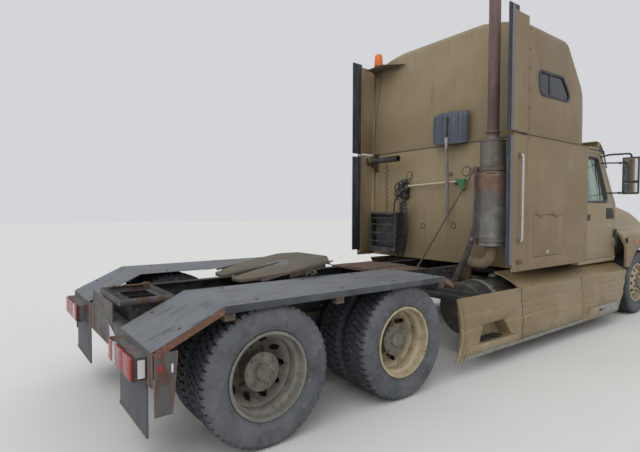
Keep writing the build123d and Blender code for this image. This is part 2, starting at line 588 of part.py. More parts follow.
# Suspension: arms and air bags at the drive axles, leaf springs at the front
with BuildPart() as suspension:
    arm_z = AXLE_Z + AXLE_TUBE_R + SEAT_GAP
    hanger_z = RAIL_BOTTOM_Z - SEAT_GAP
    for axle_x in (FRONT_DRIVE_X, REAR_AXLE_X):
        with BuildSketch(side_plane(500)):
            outline([
                (axle_x + 480, arm_z), (axle_x + 480, hanger_z), (axle_x + 400, hanger_z), (axle_x + 380, arm_z + 50),
                (axle_x + 120, arm_z + 40), (axle_x - 120, arm_z + 40), (axle_x - 330, 460), (axle_x - 560, 400),
                (axle_x - 560, 370), (axle_x - 330, 400), (axle_x - 120, arm_z), (axle_x + 120, arm_z),
            ], [12, 0, 0, 20, 20, 20, 60, 12, 12, 60, 20, 0])
        extrude(amount=90)
        post(axle_x - 460, 420, (400, RAIL_BOTTOM_Z - SEAT_GAP), 118)
    with BuildSketch(side_plane(455)):
        outline([
            (STEER_X - 780, 590), (STEER_X - 780, RAIL_BOTTOM_Z - SEAT_GAP),
            (STEER_X - 690, RAIL_BOTTOM_Z - SEAT_GAP), (STEER_X - 690, 610), (STEER_X, 474),
            (STEER_X + 640, 610), (STEER_X + 640, RAIL_BOTTOM_Z - SEAT_GAP),
            (STEER_X + 730, RAIL_BOTTOM_Z - SEAT_GAP), (STEER_X + 730, 590), (STEER_X + 60, SPRING_SEAT_Z + SEAT_GAP),
            (STEER_X - 60, SPRING_SEAT_Z + SEAT_GAP),
        ], [10, 0, 0, 15, 200, 15, 0, 0, 10, 0, 0])
    extrude(amount=80)
    mirror(about=Plane.XZ)
suspension.part.label = "suspension"
export_step(suspension.part, "parts/suspension.step")

# Engine and gearbox as one plain block each, with the radiator ahead of them
ENGINE_X = (2640, 3880)
RADIATOR_X = (3960, 4040)
RADIATOR_TOP_Z = 1400
with BuildPart() as engine:
    block(ENGINE_X, (-330, 330), (700, 1480))
    with BuildSketch(cross_plane(GEARBOX_REAR_X)):
        with Locations((0, GEARBOX_REAR_Z)):
            Circle(120)
    with BuildSketch(cross_plane(ENGINE_X[0])):
        with Locations((0, GEARBOX_REAR_Z - 10)):
            Circle(185)
    loft()
    for mount_x in (ENGINE_X[0] + 260, ENGINE_X[1] - 200):
        block((mount_x - 50, mount_x + 50), (-MEMBER_HALF_Y, MEMBER_HALF_Y), (760, 860))
    block(RADIATOR_X, (-RAIL_OUT_Y, RAIL_OUT_Y), (RAIL_TOP_Z + SEAT_GAP, RADIATOR_TOP_Z))
engine.part.label = "engine"
export_step(engine.part, "parts/engine.step")

# Fuel tanks under the sleeper, hung from the rails' lower flanges
TANK_R = 290
TANK_Y = 820
TANK_Z = 540
TANK_X = (-900, 760)
with BuildPart() as tanks:
    with BuildSketch(cross_plane(TANK_X[0])):
        with Locations((TANK_Y, TANK_Z)):
            Circle(TANK_R)
    extrude(amount=TANK_X[1] - TANK_X[0])
    fillet(tanks.edges().filter_by(GeomType.CIRCLE), 30)
    for strap_x in (TANK_X[0] + 280, TANK_X[1] - 280):
        strap_y = (RAIL_OUT_Y - RAIL_FLANGE, TANK_Y - TANK_R + 70)
        block((strap_x - 30, strap_x + 30), strap_y, (TANK_Z + 20, RAIL_BOTTOM_Z - SEAT_GAP))
    mirror(about=Plane.XZ)
tanks.part.label = "tanks"
export_step(tanks.part, "parts/tanks.step")

# Cab floor: one plan under the sleeper and the cab, the firewall, and the cowl under the glass
SLEEPER_IN_Y = BODY_HALF_W - BODY_WALL
CAB_IN_Y = CAB_HALF_W - PILLAR_DEPTH
FIREWALL_X = 2440
FLOOR_THICK = 40
WIDE_FLOOR_X = SLEEPER_FRONT_X - 150
WALL_REAR_X = SLEEPER_REAR_X + BODY_WALL
CABIN_Y = CAB_IN_Y - 6
PANE_FOOT_X = FIREWALL_X + 118
PANE_VEE = 90
COWL_TOP_Z = 1758
with BuildPart() as cab_floor:
    with BuildSketch(Plane.XY.offset(FLOOR_Z)):
        wide_y = SLEEPER_IN_Y - SEAT_GAP
        rear_x = WALL_REAR_X + SEAT_GAP
        outline([
            (rear_x, -wide_y), (WIDE_FLOOR_X, -wide_y), (WIDE_FLOOR_X, -CABIN_Y),
            (FIREWALL_X + FLOOR_THICK, -CABIN_Y), (FIREWALL_X + FLOOR_THICK, CABIN_Y),
            (WIDE_FLOOR_X, CABIN_Y), (WIDE_FLOOR_X, wide_y), (rear_x, wide_y),
        ])
    extrude(amount=FLOOR_THICK)
    block((FIREWALL_X, FIREWALL_X + FLOOR_THICK), (-CABIN_Y, CABIN_Y), (FLOOR_Z + 20, COWL_TOP_Z - 10))
    with BuildSketch(Plane.XY.offset(COWL_TOP_Z)):
        cowl_y = CABIN_Y - TUMBLEHOME * 0.1
        outline([
            (FIREWALL_X, -cowl_y), (PANE_FOOT_X + 12, -cowl_y), (PANE_FOOT_X + PANE_VEE + 12, 0),
            (PANE_FOOT_X + 12, cowl_y), (FIREWALL_X, cowl_y),
        ])
    extrude(amount=-20)
cab_floor.part.label = "cab_floor"
export_step(cab_floor.part, "parts/cab_floor.step")


def side_wall(outer_y, inner_y, low_z, high_z):
    """Cross-section of the cab's side: upright to the belt, then leaning inwards."""
    lean = TUMBLEHOME * (high_z - BELT_Z) / (CAB_TOP_Z - BELT_Z)
    outline([
        (outer_y, low_z), (outer_y, BELT_Z), (outer_y - lean, high_z),
        (inner_y - lean, high_z), (inner_y, BELT_Z), (inner_y, low_z),
    ])


def door_outline(grow, round_by):
    """Side outline of the door, grown or shrunk by the same distance all round."""
    outline([
        (DOOR_REAR_X - grow, DOOR_BOTTOM_Z - grow), (DOOR_FRONT_X + grow, DOOR_BOTTOM_Z - grow),
        (DOOR_FRONT_X + grow, BELT_Z + grow * 0.3), (DOOR_TOP_FRONT_X + grow, DOOR_TOP_Z + grow),
        (DOOR_REAR_X - grow, DOOR_TOP_Z + grow),
    ], round_by)


# Door hinges: axis, height of each pair's join, length of one knuckle and size of the leaf
DOOR_HINGE_X = DOOR_FRONT_X + 7
DOOR_HINGE_Y = CAB_HALF_W + 12
DOOR_HINGES_Z = (1150, 1560)
HINGE_KNUCKLE_H = 60
HINGE_R = 11
HINGE_LEAF = 45
HINGE_LEAF_THICK = 7


def hinge_halves(leaf_towards, z_shift):
    """Knuckles of one half of the door's hinges, each with its leaf along the cab's side."""
    for join_z in DOOR_HINGES_Z:
        low, high = sorted((join_z + z_shift, join_z + z_shift + (1 if z_shift > 0 else -1) * HINGE_KNUCKLE_H))
        post(DOOR_HINGE_X, DOOR_HINGE_Y, (low, high), HINGE_R)
        leaf_x = sorted((DOOR_HINGE_X + leaf_towards * 3, DOOR_HINGE_X + leaf_towards * HINGE_LEAF))
        block(leaf_x, (CAB_HALF_W - 1, CAB_HALF_W + HINGE_LEAF_THICK), (low, high))


# Cab pillars: the frame round each door, with a rebate that the door shuts into
REBATE_Y = CAB_HALF_W - DOOR_THICK - 6
with BuildPart() as cab_pillars:
    with BuildSketch(cross_plane(SLEEPER_FRONT_X + SEAT_GAP)):
        side_wall(CAB_HALF_W, CAB_IN_Y, DOOR_BOTTOM_Z - 60, CAB_TOP_Z)
    extrude(amount=COWL_X - SLEEPER_FRONT_X)
    with BuildSketch(side_plane(CAB_HALF_W + 10)):
        outline([
            (SLEEPER_FRONT_X, DOOR_BOTTOM_Z - 60), (COWL_X, DOOR_BOTTOM_Z - 60), (COWL_X, BELT_Z + 30),
            (CAB_ROOF_FRONT_X + 20, CAB_TOP_Z), (SLEEPER_FRONT_X, CAB_TOP_Z),
        ], [0, 0, 40, 0, 0])
    extrude(amount=PILLAR_DEPTH + TUMBLEHOME + 60, mode=Mode.INTERSECT)
    with BuildSketch(cross_plane(SLEEPER_FRONT_X)):
        side_wall(CAB_HALF_W + 100, REBATE_Y, DOOR_BOTTOM_Z - 100, CAB_TOP_Z + 50)
    rebate = extrude(amount=COWL_X + 100 - SLEEPER_FRONT_X, mode=Mode.PRIVATE)
    with BuildSketch(side_plane(CAB_HALF_W + 150)):
        door_outline(PANEL_GAP, 30)
    pocket = extrude(amount=400, mode=Mode.PRIVATE)
    add(rebate & pocket, mode=Mode.SUBTRACT)
    with BuildSketch(side_plane(CAB_HALF_W + 150)):
        door_outline(-55, 60)
    extrude(amount=500, mode=Mode.SUBTRACT)
    hinge_halves(1, -SEAT_GAP / 2)
    mirror(about=Plane.XZ)
cab_pillars.part.label = "cab_pillars"
export_step(cab_pillars.part, "parts/cab_pillars.step")

# Cab roof: a crowned panel over the doors and the windscreen, with the visor ahead of it
ROOF_SIDE_Y = CAB_HALF_W - TUMBLEHOME
ROOF_WALL = 30
PANE_HEAD_X = CAB_ROOF_FRONT_X + 22
PANE_TOP_Z = 2475
HEADER_Y = 860
with BuildPart() as cab_roof:
    with BuildSketch(cross_plane(SLEEPER_FRONT_X + SEAT_GAP)):
        with BuildLine():
            ThreePointArc((ROOF_SIDE_Y, CAB_TOP_Z + 60), (0, CAB_ROOF_CROWN_Z), (-ROOF_SIDE_Y, CAB_TOP_Z + 60))
            Line((-ROOF_SIDE_Y, CAB_TOP_Z + 60), (-ROOF_SIDE_Y, CAB_TOP_Z + SEAT_GAP))
            Line((-ROOF_SIDE_Y, CAB_TOP_Z + SEAT_GAP), (-ROOF_SIDE_Y + 110, CAB_TOP_Z + SEAT_GAP))
            ThreePointArc(
                (-ROOF_SIDE_Y + 110, CAB_TOP_Z + SEAT_GAP), (0, CAB_ROOF_CROWN_Z - ROOF_WALL),
                (ROOF_SIDE_Y - 110, CAB_TOP_Z + SEAT_GAP),
            )
            Line((ROOF_SIDE_Y - 110, CAB_TOP_Z + SEAT_GAP), (ROOF_SIDE_Y, CAB_TOP_Z + SEAT_GAP))
            Line((ROOF_SIDE_Y, CAB_TOP_Z + SEAT_GAP), (ROOF_SIDE_Y, CAB_TOP_Z + 60))
        make_face()
    extrude(amount=CAB_ROOF_FRONT_X - SLEEPER_FRONT_X)
    with BuildSketch(Plane.XY.offset(CAB_TOP_Z - 20)):
        outline([
            (SLEEPER_FRONT_X, -ROOF_SIDE_Y - 5), (CAB_ROOF_FRONT_X, -ROOF_SIDE_Y - 5),
            (CAB_ROOF_FRONT_X, ROOF_SIDE_Y + 5), (SLEEPER_FRONT_X, ROOF_SIDE_Y + 5),
        ], [0, 90, 90, 0])
    extrude(amount=400, mode=Mode.INTERSECT)
    with BuildSketch(side_plane(ROOF_SIDE_Y - 30)):
        outline([
            (CAB_ROOF_FRONT_X - 60, CAB_ROOF_CROWN_Z + 1), (CAB_ROOF_FRONT_X + 60, CAB_ROOF_CROWN_Z - 15),
            (CAB_ROOF_FRONT_X + 230, CAB_ROOF_CROWN_Z - 160), (CAB_ROOF_FRONT_X + 224, CAB_ROOF_CROWN_Z - 168),
            (CAB_ROOF_FRONT_X + 54, CAB_ROOF_CROWN_Z - 24), (CAB_ROOF_FRONT_X - 60, CAB_ROOF_CROWN_Z - 8),
        ], [0, 60, 0, 0, 55, 0])
    extrude(amount=2 * (ROOF_SIDE_Y - 30))
    with BuildSketch(side_plane(ROOF_SIDE_Y - 30)):
        outline([
            (CAB_ROOF_FRONT_X - 2, CAB_TOP_Z + 70), (CAB_ROOF_FRONT_X + 12, CAB_TOP_Z + 70),
            (CAB_ROOF_FRONT_X + 60, CAB_ROOF_CROWN_Z - 22), (CAB_ROOF_FRONT_X - 2, CAB_ROOF_CROWN_Z - 16),
        ])
    extrude(amount=2 * (ROOF_SIDE_Y - 30))
    with BuildSketch(Plane.XY.offset(CAB_TOP_Z + SEAT_GAP)):
        outline([
            (CAB_ROOF_FRONT_X - 40, -HEADER_Y), (PANE_HEAD_X - 0.6, -HEADER_Y), (PANE_HEAD_X + PANE_VEE - 2, 0),
            (PANE_HEAD_X - 0.6, HEADER_Y), (CAB_ROOF_FRONT_X - 40, HEADER_Y),
        ])
    extrude(amount=PANE_TOP_Z - CAB_TOP_Z + 50)
cab_roof.part.label = "cab_roof"
export_step(cab_roof.part, "parts/cab_roof.step")

# Windscreen: two flat panes that meet in a shallow vee, and the bunk windows in the roof's sides
PANE_LOW_Z = COWL_TOP_Z + SEAT_GAP
PANE_IN_Y = 16
PANE_OUT_Y = CAB_IN_Y + 20
GLASS_THICK = 8


def flat_pane(side):
    """One leaning windscreen pane as a thin solid, narrower at its head."""
    foot_in = Vector(PANE_FOOT_X + PANE_VEE, side * PANE_IN_Y, PANE_LOW_Z)
    foot_out = Vector(PANE_FOOT_X, side * PANE_OUT_Y, PANE_LOW_Z)
    head_in = Vector(PANE_HEAD_X + PANE_VEE, side * PANE_IN_Y, PANE_TOP_Z)
    narrowing = TUMBLEHOME / (PANE_OUT_Y - PANE_IN_Y)
    head_out = foot_out + (head_in - foot_in) + (foot_in - foot_out) * narrowing
    face = Face(Wire.make_polygon([foot_in, foot_out, head_out, head_in]))
    if face.normal_at().X < 0:
        face = -face
    return Solid.extrude(face, face.normal_at() * GLASS_THICK)


# Bunk window: lower rear, lower front, upper front and upper rear corners in X and Z
BUNK_WINDOW = ((-30, 2910), (737, 2925), (500, 3185), (-75, 3165))
BUNK_WINDOW_ROUND = (60, 60, 60, 60)
with BuildPart() as cab_glass:
    add(flat_pane(1))
    add(flat_pane(-1))
    for side_name, side in SIDES:
        with BuildSketch(side_plane(side * (BODY_HALF_W - 17) + 3)):
            outline(BUNK_WINDOW, BUNK_WINDOW_ROUND)
            offset(amount=-SEAT_GAP)
        extrude(amount=6)
cab_glass.part.label = "cab_glass"
export_step(cab_glass.part, "parts/cab_glass.step")

# Dashboard and the steering wheel on its column
WHEEL_MIDDLE = (2010, 480, 1560)
STEERING_WHEEL_R = 225
with BuildPart() as dashboard:
    with BuildSketch(side_plane(CAB_IN_Y - 20)):
        outline([
            (FIREWALL_X - SEAT_GAP, 1180), (FIREWALL_X - SEAT_GAP, 1700), (FIREWALL_X - 120, 1690),
            (FIREWALL_X - 300, 1600), (FIREWALL_X - 290, 1420), (FIREWALL_X - 150, 1180),
        ], [0, 0, 40, 60, 60, 0])
    extrude(amount=2 * (CAB_IN_Y - 20))
    tube([(FIREWALL_X - 200, WHEEL_MIDDLE[1], 1440), WHEEL_MIDDLE], 26, 0)
    with BuildSketch(Plane(origin=WHEEL_MIDDLE, x_dir=(0, 1, 0), z_dir=(0.5, 0, 0.86))):
        with Locations((STEERING_WHEEL_R, 0)):
            RegularPolygon(15, 8)
    revolve(axis=Axis(WHEEL_MIDDLE, (-0.86, 0, 0.5)))
    with Locations(Plane(origin=WHEEL_MIDDLE, x_dir=(0, 1, 0), z_dir=(-0.86, 0, 0.5))):
        Box(2 * STEERING_WHEEL_R - 30, 44, 14)
        Cylinder(60, 30)
dashboard.part.label = "dashboard"
export_step(dashboard.part, "parts/dashboard.step")

# Seats: pedestal, cushion and back of each in one outline
SEAT_X = 1440
SEAT_Y = 480
SEAT_HALF_W = 250
FLOOR_TOP_Z = FLOOR_Z + 40
with BuildPart() as seats:
    with BuildSketch(side_plane(SEAT_Y + SEAT_HALF_W)):
        outline([
            (SEAT_X - 40, FLOOR_TOP_Z + SEAT_GAP), (SEAT_X + 260, FLOOR_TOP_Z + SEAT_GAP), (SEAT_X + 260, 1290),
            (SEAT_X + 400, 1300), (SEAT_X + 400, 1420), (SEAT_X + 20, 1400), (SEAT_X - 110, 2040),
            (SEAT_X - 220, 2040), (SEAT_X - 110, 1290), (SEAT_X - 40, 1280),
        ], [10, 10, 20, 50, 50, 60, 50, 50, 40, 10])
    extrude(amount=2 * SEAT_HALF_W)
    mirror(about=Plane.XZ)
seats.part.label = "seats"
export_step(seats.part, "parts/seats.step")

# Bunk: the board and its mattress across the sleeper's rear
BUNK_Z = (1600, 1815)
with BuildPart() as bunk:
    bunk_y = (-SLEEPER_IN_Y + SEAT_GAP, SLEEPER_IN_Y - SEAT_GAP)
    block((WALL_REAR_X + SEAT_GAP, 560), bunk_y, (BUNK_Z[0] + 30, BUNK_Z[1]))
    fillet(bunk.edges(), 30)
    block((WALL_REAR_X + SEAT_GAP, 520), bunk_y, (BUNK_Z[0], BUNK_Z[0] + 60))
bunk.part.label = "bunk"
export_step(bunk.part, "parts/bunk.step")

# Luggage door: station and height of its edges
LUGGAGE_X = (-150, 550)
LUGGAGE_Z = (1090, 1555)
LUGGAGE_ROUND = 45


def luggage_outline(grow):
    """Side outline of the luggage door, grown by the same distance all round."""
    low_x, high_x = LUGGAGE_X[0] - grow, LUGGAGE_X[1] + grow
    low_z, high_z = LUGGAGE_Z[0] - grow, LUGGAGE_Z[1] + grow
    outline([(low_x, low_z), (high_x, low_z), (high_x, high_z), (low_x, high_z)], LUGGAGE_ROUND + grow)


# Luggage hinges: axis beside the upper edge, and where each pair's knuckles meet
LUGGAGE_HINGE_Y = BODY_HALF_W + 10
LUGGAGE_HINGE_Z = LUGGAGE_Z[1] + PANEL_GAP / 2
LUGGAGE_HINGES_X = (20, 380)
LUGGAGE_KNUCKLE = 60
LUGGAGE_HINGE_R = 8


def luggage_hinge_halves(leaf_down, x_shift):
    """Knuckles of one half of a luggage door's hinges, each with its leaf up or down the panel."""
    for join_x in LUGGAGE_HINGES_X:
        ends = sorted((join_x + x_shift, join_x + x_shift + (1 if x_shift > 0 else -1) * LUGGAGE_KNUCKLE))
        with Locations(Plane(origin=(sum(ends) / 2, LUGGAGE_HINGE_Y, LUGGAGE_HINGE_Z), z_dir=(1, 0, 0))):
            Cylinder(LUGGAGE_HINGE_R, LUGGAGE_KNUCKLE)
        leaf_z = sorted((LUGGAGE_HINGE_Z, LUGGAGE_HINGE_Z - leaf_down * 38))
        block(ends, (BODY_HALF_W - 1, BODY_HALF_W + 6), leaf_z)


# Sleeper sides: flat panels that turn in to the cab at their front edge
SIDE_REAR_X = WALL_REAR_X + SEAT_GAP
with BuildPart() as sleeper_sides:
    with BuildSketch(Plane.XY.offset(FLOOR_Z)):
        outline([
            (SIDE_REAR_X, BODY_HALF_W), (SLEEPER_FRONT_X - 90, BODY_HALF_W), (SLEEPER_FRONT_X, BODY_HALF_W - 110),
            (SLEEPER_FRONT_X, CAB_IN_Y), (SLEEPER_FRONT_X - BODY_WALL, CAB_IN_Y),
            (SLEEPER_FRONT_X - BODY_WALL, SLEEPER_IN_Y - 100), (SLEEPER_FRONT_X - 110, SLEEPER_IN_Y),
            (SIDE_REAR_X, SLEEPER_IN_Y),
        ], [0, 90, 60, 0, 0, 40, 60, 0])
    extrude(amount=SEAM_Z - FLOOR_Z)
    with BuildSketch(side_plane(BODY_HALF_W + 10)):
        luggage_outline(PANEL_GAP)
    extrude(amount=100, mode=Mode.SUBTRACT)
    luggage_hinge_halves(-1, -SEAT_GAP / 2)
    mirror(about=Plane.XZ)
sleeper_sides.part.label = "sleeper_sides"
export_step(sleeper_sides.part, "parts/sleeper_sides.step")

with BuildPart() as sleeper_rear_wall:
    with BuildSketch(Plane.XY.offset(FLOOR_Z)):
        outline([
            (SLEEPER_REAR_X, -BODY_HALF_W), (WALL_REAR_X, -BODY_HALF_W), (WALL_REAR_X, BODY_HALF_W),
            (SLEEPER_REAR_X, BODY_HALF_W),
        ], [25, 0, 0, 25])
    extrude(amount=SEAM_Z - FLOOR_Z)
sleeper_rear_wall.part.label = "sleeper_rear_wall"
export_step(sleeper_rear_wall.part, "parts/sleeper_rear_wall.step")

# Luggage doors: hinged along their top edge
for side_name, side in SIDES:
    with BuildPart() as luggage_door:
        with BuildSketch(side_plane(BODY_HALF_W)):
            luggage_outline(0)
        extrude(amount=BODY_WALL)
        luggage_hinge_halves(1, SEAT_GAP / 2)
    luggage_part = luggage_door.part
    if side < 0:
        luggage_part = mirror(luggage_part, about=Plane.XZ)
    luggage_part.label = f"luggage_door_{side_name}"
    export_step(luggage_part, f"parts/luggage_door_{side_name}.step")

# Raised roof: a side outline, a rear outline and a plan that meet in one shell
ROOF_NOSE_Z = SEAM_Z + 265


def roof_form(wall):
    """Roof body inset by the wall all round, open downwards when it is inset."""
    low = SEAM_Z + SEAT_GAP - (10 if wall else 0)
    with BuildPart() as form:
        with BuildSketch(side_plane(BODY_HALF_W - wall)):
            outline([
                (SLEEPER_REAR_X + wall, low), (SLEEPER_REAR_X + wall, ROOF_REAR_Z - wall),
                (150, ROOF_TOP_Z - wall), (420, ROOF_TOP_Z - 130 - wall), (1180 - wall, ROOF_NOSE_Z + 200 - wall),
                (SLEEPER_FRONT_X - wall, ROOF_NOSE_Z - 80 - wall), (SLEEPER_FRONT_X - wall, low),
            ], [0, 90, 380, 380, 150, 40, 0])
        extrude(amount=2 * (BODY_HALF_W - wall))
        with BuildSketch(cross_plane(SLEEPER_REAR_X)):
            outline([
                (BODY_HALF_W - wall, low), (BODY_HALF_W - wall, ROOF_SHOULDER_Z - wall),
                (BODY_HALF_W - 309, ROOF_SHOULDER_Z + 100 - wall), (0, ROOF_TOP_Z - wall + 12),
                (-BODY_HALF_W + 309, ROOF_SHOULDER_Z + 100 - wall),
                (-BODY_HALF_W + wall, ROOF_SHOULDER_Z - wall), (-BODY_HALF_W + wall, low),
            ], [0, 110, 600, 1500, 600, 110, 0])
        extrude(amount=SLEEPER_FRONT_X - SLEEPER_REAR_X, mode=Mode.INTERSECT)
        with BuildSketch(Plane.XY.offset(low)):
            outline([
                (SLEEPER_REAR_X + wall, BODY_HALF_W - wall), (SLEEPER_FRONT_X - 330, BODY_HALF_W - wall),
                (SLEEPER_FRONT_X - wall, BODY_HALF_W - 130 - wall),
                (SLEEPER_FRONT_X - wall, -BODY_HALF_W + 130 + wall),
                (SLEEPER_FRONT_X - 330, -BODY_HALF_W + wall), (SLEEPER_REAR_X + wall, -BODY_HALF_W + wall),
            ], [25, 400, 120, 120, 400, 25])
        extrude(amount=ROOF_TOP_Z, mode=Mode.INTERSECT)
    return form.part


with BuildPart() as sleeper_roof:
    add(roof_form(0))
    add(roof_form(BODY_WALL), mode=Mode.SUBTRACT)
    with BuildSketch(side_plane(BODY_HALF_W + 10)):
        outline(BUNK_WINDOW, BUNK_WINDOW_ROUND)
    extrude(amount=2 * BODY_HALF_W + 20, mode=Mode.SUBTRACT)
sleeper_roof.part.label = "sleeper_roof"
export_step(sleeper_roof.part, "parts/sleeper_roof.step")

# Side extenders behind the sleeper, and the rubber strips along their rear edges
EXTENDER_X = (-530, SLEEPER_REAR_X - SEAT_GAP)
EXTENDER_Z = ((1000, SEAM_Z - 12), (SEAM_Z + 12, ROOF_TOP_Z - 250))
RUBBER_REAR_X = -690
RUBBER_Z = ((1030, SEAM_Z - 40), (SEAM_Z + 5, ROOF_TOP_Z - 200))
with BuildPart() as side_extenders:
    for low, high in EXTENDER_Z:
        with BuildSketch(Plane.XY.offset(low)):
            outline([
                (EXTENDER_X[0], BODY_HALF_W), (EXTENDER_X[1], BODY_HALF_W), (EXTENDER_X[1], BODY_HALF_W - 60),
                (EXTENDER_X[1] - 22, BODY_HALF_W - 60), (EXTENDER_X[1] - 40, BODY_HALF_W - 24),
                (EXTENDER_X[0], BODY_HALF_W - 24),
            ])
        extrude(amount=high - low)
    mirror(about=Plane.XZ)
side_extenders.part.label = "side_extenders"
export_step(side_extenders.part, "parts/side_extenders.step")

with BuildPart() as extender_rubbers:
    for low, high in RUBBER_Z:
        with BuildSketch(Plane.XY.offset(low)):
            outline([
                (RUBBER_REAR_X, BODY_HALF_W - 6), (RUBBER_REAR_X, BODY_HALF_W + 4),
                (EXTENDER_X[0] + 20, BODY_HALF_W + 8),
                (EXTENDER_X[0] + 20, BODY_HALF_W + SEAT_GAP), (EXTENDER_X[0] - 1, BODY_HALF_W + SEAT_GAP),
            ])
        extrude(amount=high - low)
    mirror(about=Plane.XZ)
extender_rubbers.part.label = "extender_rubbers"
export_step(extender_rubbers.part, "parts/extender_rubbers.step")

# Skirts: three panels a side under the sleeper and cab, with a shelf that rises inwards
SKIRT_SPLITS = (-1470, -360, 1115, 2600)
SKIRT_JOIN_GAP = 3
SKIRT_FRONT_FOOT_X = 2240
SKIRT_LOW_STEP_Z = 455
SKIRT_HIGH_STEP_Z = 595
STEP_HOLE = ((-1176, 293), (-574, 293), (-734, 480), (-1112, 480))
STEP_HOLE_ROUND = (15, 15, 30, 60)


def skirt_section(shelf_z):
    """Cross-section of a skirt panel; a panel without a shelf ends at its shoulder."""
    mid_y = SKIRT_OUT_Y - SKIRT_STEP
    top_y = SKIRT_OUT_Y - 2 * SKIRT_STEP
    outer = [
        (SKIRT_OUT_Y - 15, SKIRT_BOTTOM_Z), (SKIRT_OUT_Y, SKIRT_LOW_STEP_Z - 7), (mid_y, SKIRT_LOW_STEP_Z + 7),
        (mid_y, SKIRT_HIGH_STEP_Z - 7), (top_y, SKIRT_HIGH_STEP_Z + 7),
    ]
    inner = [
        (top_y - SKIRT_WALL, SKIRT_HIGH_STEP_Z + 5), (mid_y - SKIRT_WALL, SKIRT_HIGH_STEP_Z - 15),
        (SKIRT_OUT_Y - SKIRT_WALL, SKIRT_LOW_STEP_Z - 15), (SKIRT_OUT_Y - 15 - SKIRT_WALL, SKIRT_BOTTOM_Z),
    ]
    if shelf_z is None:
        top = [(top_y, SKIRT_SHOULDER_Z + 30), (top_y - SKIRT_WALL, SKIRT_SHOULDER_Z + 30)]
        bends = [8, 8]
    else:
        top = [
            (top_y, SKIRT_SHOULDER_Z), (SHELF_IN_Y, shelf_z), (SHELF_IN_Y, shelf_z - SKIRT_WALL),
            (top_y - SKIRT_WALL, SKIRT_SHOULDER_Z - 20),
        ]
        bends = [45, 0, 0, 30]
    outline(outer + top + inner, [0, 0, 0, 0, 0] + bends + [0, 0, 0, 0])


with BuildPart() as skirts:
    for panel, shelf_z in enumerate((None, SHELF_Z, CAB_SHELF_Z)):
        rear_x = SKIRT_SPLITS[panel] + SKIRT_JOIN_GAP / 2
        front_x = SKIRT_SPLITS[panel + 1] - SKIRT_JOIN_GAP / 2
        with BuildSketch(cross_plane(rear_x)):
            skirt_section(shelf_z)
        extrude(amount=front_x - rear_x)
    with BuildSketch(side_plane(SKIRT_OUT_Y + 10)):
        outline([
            (SKIRT_SPLITS[0] - 10, SKIRT_BOTTOM_Z), (SKIRT_FRONT_FOOT_X, SKIRT_BOTTOM_Z - 60),
            (SKIRT_SPLITS[3] + 10, SKIRT_SHOULDER_Z), (SKIRT_SPLITS[3] + 10, SHELF_Z + 10),
            (SKIRT_SPLITS[0] - 10, SHELF_Z + 10),
        ])
        with Locations((FRONT_DRIVE_X, AXLE_Z)):
            Circle(TYRE_R + 250, mode=Mode.SUBTRACT)
    extrude(amount=400, mode=Mode.INTERSECT)
    with BuildSketch(side_plane(SKIRT_OUT_Y + 10)):
        outline(STEP_HOLE, STEP_HOLE_ROUND)
    extrude(amount=60, mode=Mode.SUBTRACT)
    block((SKIRT_SPLITS[2] + 190, SKIRT_FRONT_FOOT_X - 40), (SKIRT_OUT_Y - 30, SKIRT_OUT_Y + 18), (200, 330))
    mirror(about=Plane.XZ)
skirts.part.label = "skirts"
export_step(skirts.part, "parts/skirts.step")

# Bumper: a rounded channel across the nose, with the hood's hinge ears on its brackets
BUMPER_Z = (280, 675)
BUMPER_HALF_W = 1200
BUMPER_WALL = 45
BUMPER_BRACKET_Y = 380
BUMPER_BRACKET_HALF = 50
HOOD_PIN_R = 12
HOOD_ARM_HALF = 22
HOOD_EAR_THICK = 12
HOOD_EAR_R = 26


def bumper_plan(inset):
    """Plan of the bumper's outer face, moved in by the inset."""
    outline([
        (3960, BUMPER_HALF_W - inset), (4150, BUMPER_HALF_W - inset), (NOSE_X - inset, 900 - inset),
        (NOSE_X - inset, -900 + inset), (4150, -BUMPER_HALF_W + inset), (3960, -BUMPER_HALF_W + inset),
    ], [0, 200, 150, 150, 200, 0])


with BuildPart() as bumper:
    with BuildSketch(Plane.XY.offset(BUMPER_Z[0])):
        bumper_plan(0)
    extrude(amount=BUMPER_Z[1] - BUMPER_Z[0])
    with BuildSketch(Plane.XY.offset(BUMPER_Z[0])):
        bumper_plan(BUMPER_WALL)
    extrude(amount=BUMPER_Z[1] - BUMPER_Z[0], mode=Mode.SUBTRACT)
    for side_name, side in SIDES:
        middle = side * BUMPER_BRACKET_Y
        bracket_y = (middle - BUMPER_BRACKET_HALF, middle + BUMPER_BRACKET_HALF)
        block((RAIL_FRONT_X - 60, NOSE_X - BUMPER_WALL + 2), bracket_y, (420, RAIL_BOTTOM_Z - SEAT_GAP))
        for ear_y in (middle + HOOD_ARM_HALF + 1 + HOOD_EAR_THICK, middle - HOOD_ARM_HALF - 1):
            with BuildSketch(side_plane(ear_y)):
                with Locations((HOOD_HINGE_X, HOOD_HINGE_Z)):
                    Circle(HOOD_EAR_R)
                with Locations((HOOD_HINGE_X, (HOOD_HINGE_Z + RAIL_BOTTOM_Z - 10) / 2)):
                    Rectangle(2 * HOOD_EAR_R, HOOD_HINGE_Z - RAIL_BOTTOM_Z + 10)
            extrude(amount=HOOD_EAR_THICK)
        with BuildSketch(side_plane(middle + HOOD_ARM_HALF + 2)):
            with Locations((HOOD_HINGE_X, HOOD_HINGE_Z)):
                Circle(HOOD_PIN_R)
        extrude(amount=2 * HOOD_ARM_HALF + 4)
    with BuildSketch(cross_plane(NOSE_X - 100)):
        outline([(-320, 400), (320, 400), (320, 560), (-320, 560)], 30)
    extrude(amount=200, mode=Mode.SUBTRACT)
bumper.part.label = "bumper"
export_step(bumper.part, "parts/bumper.step")

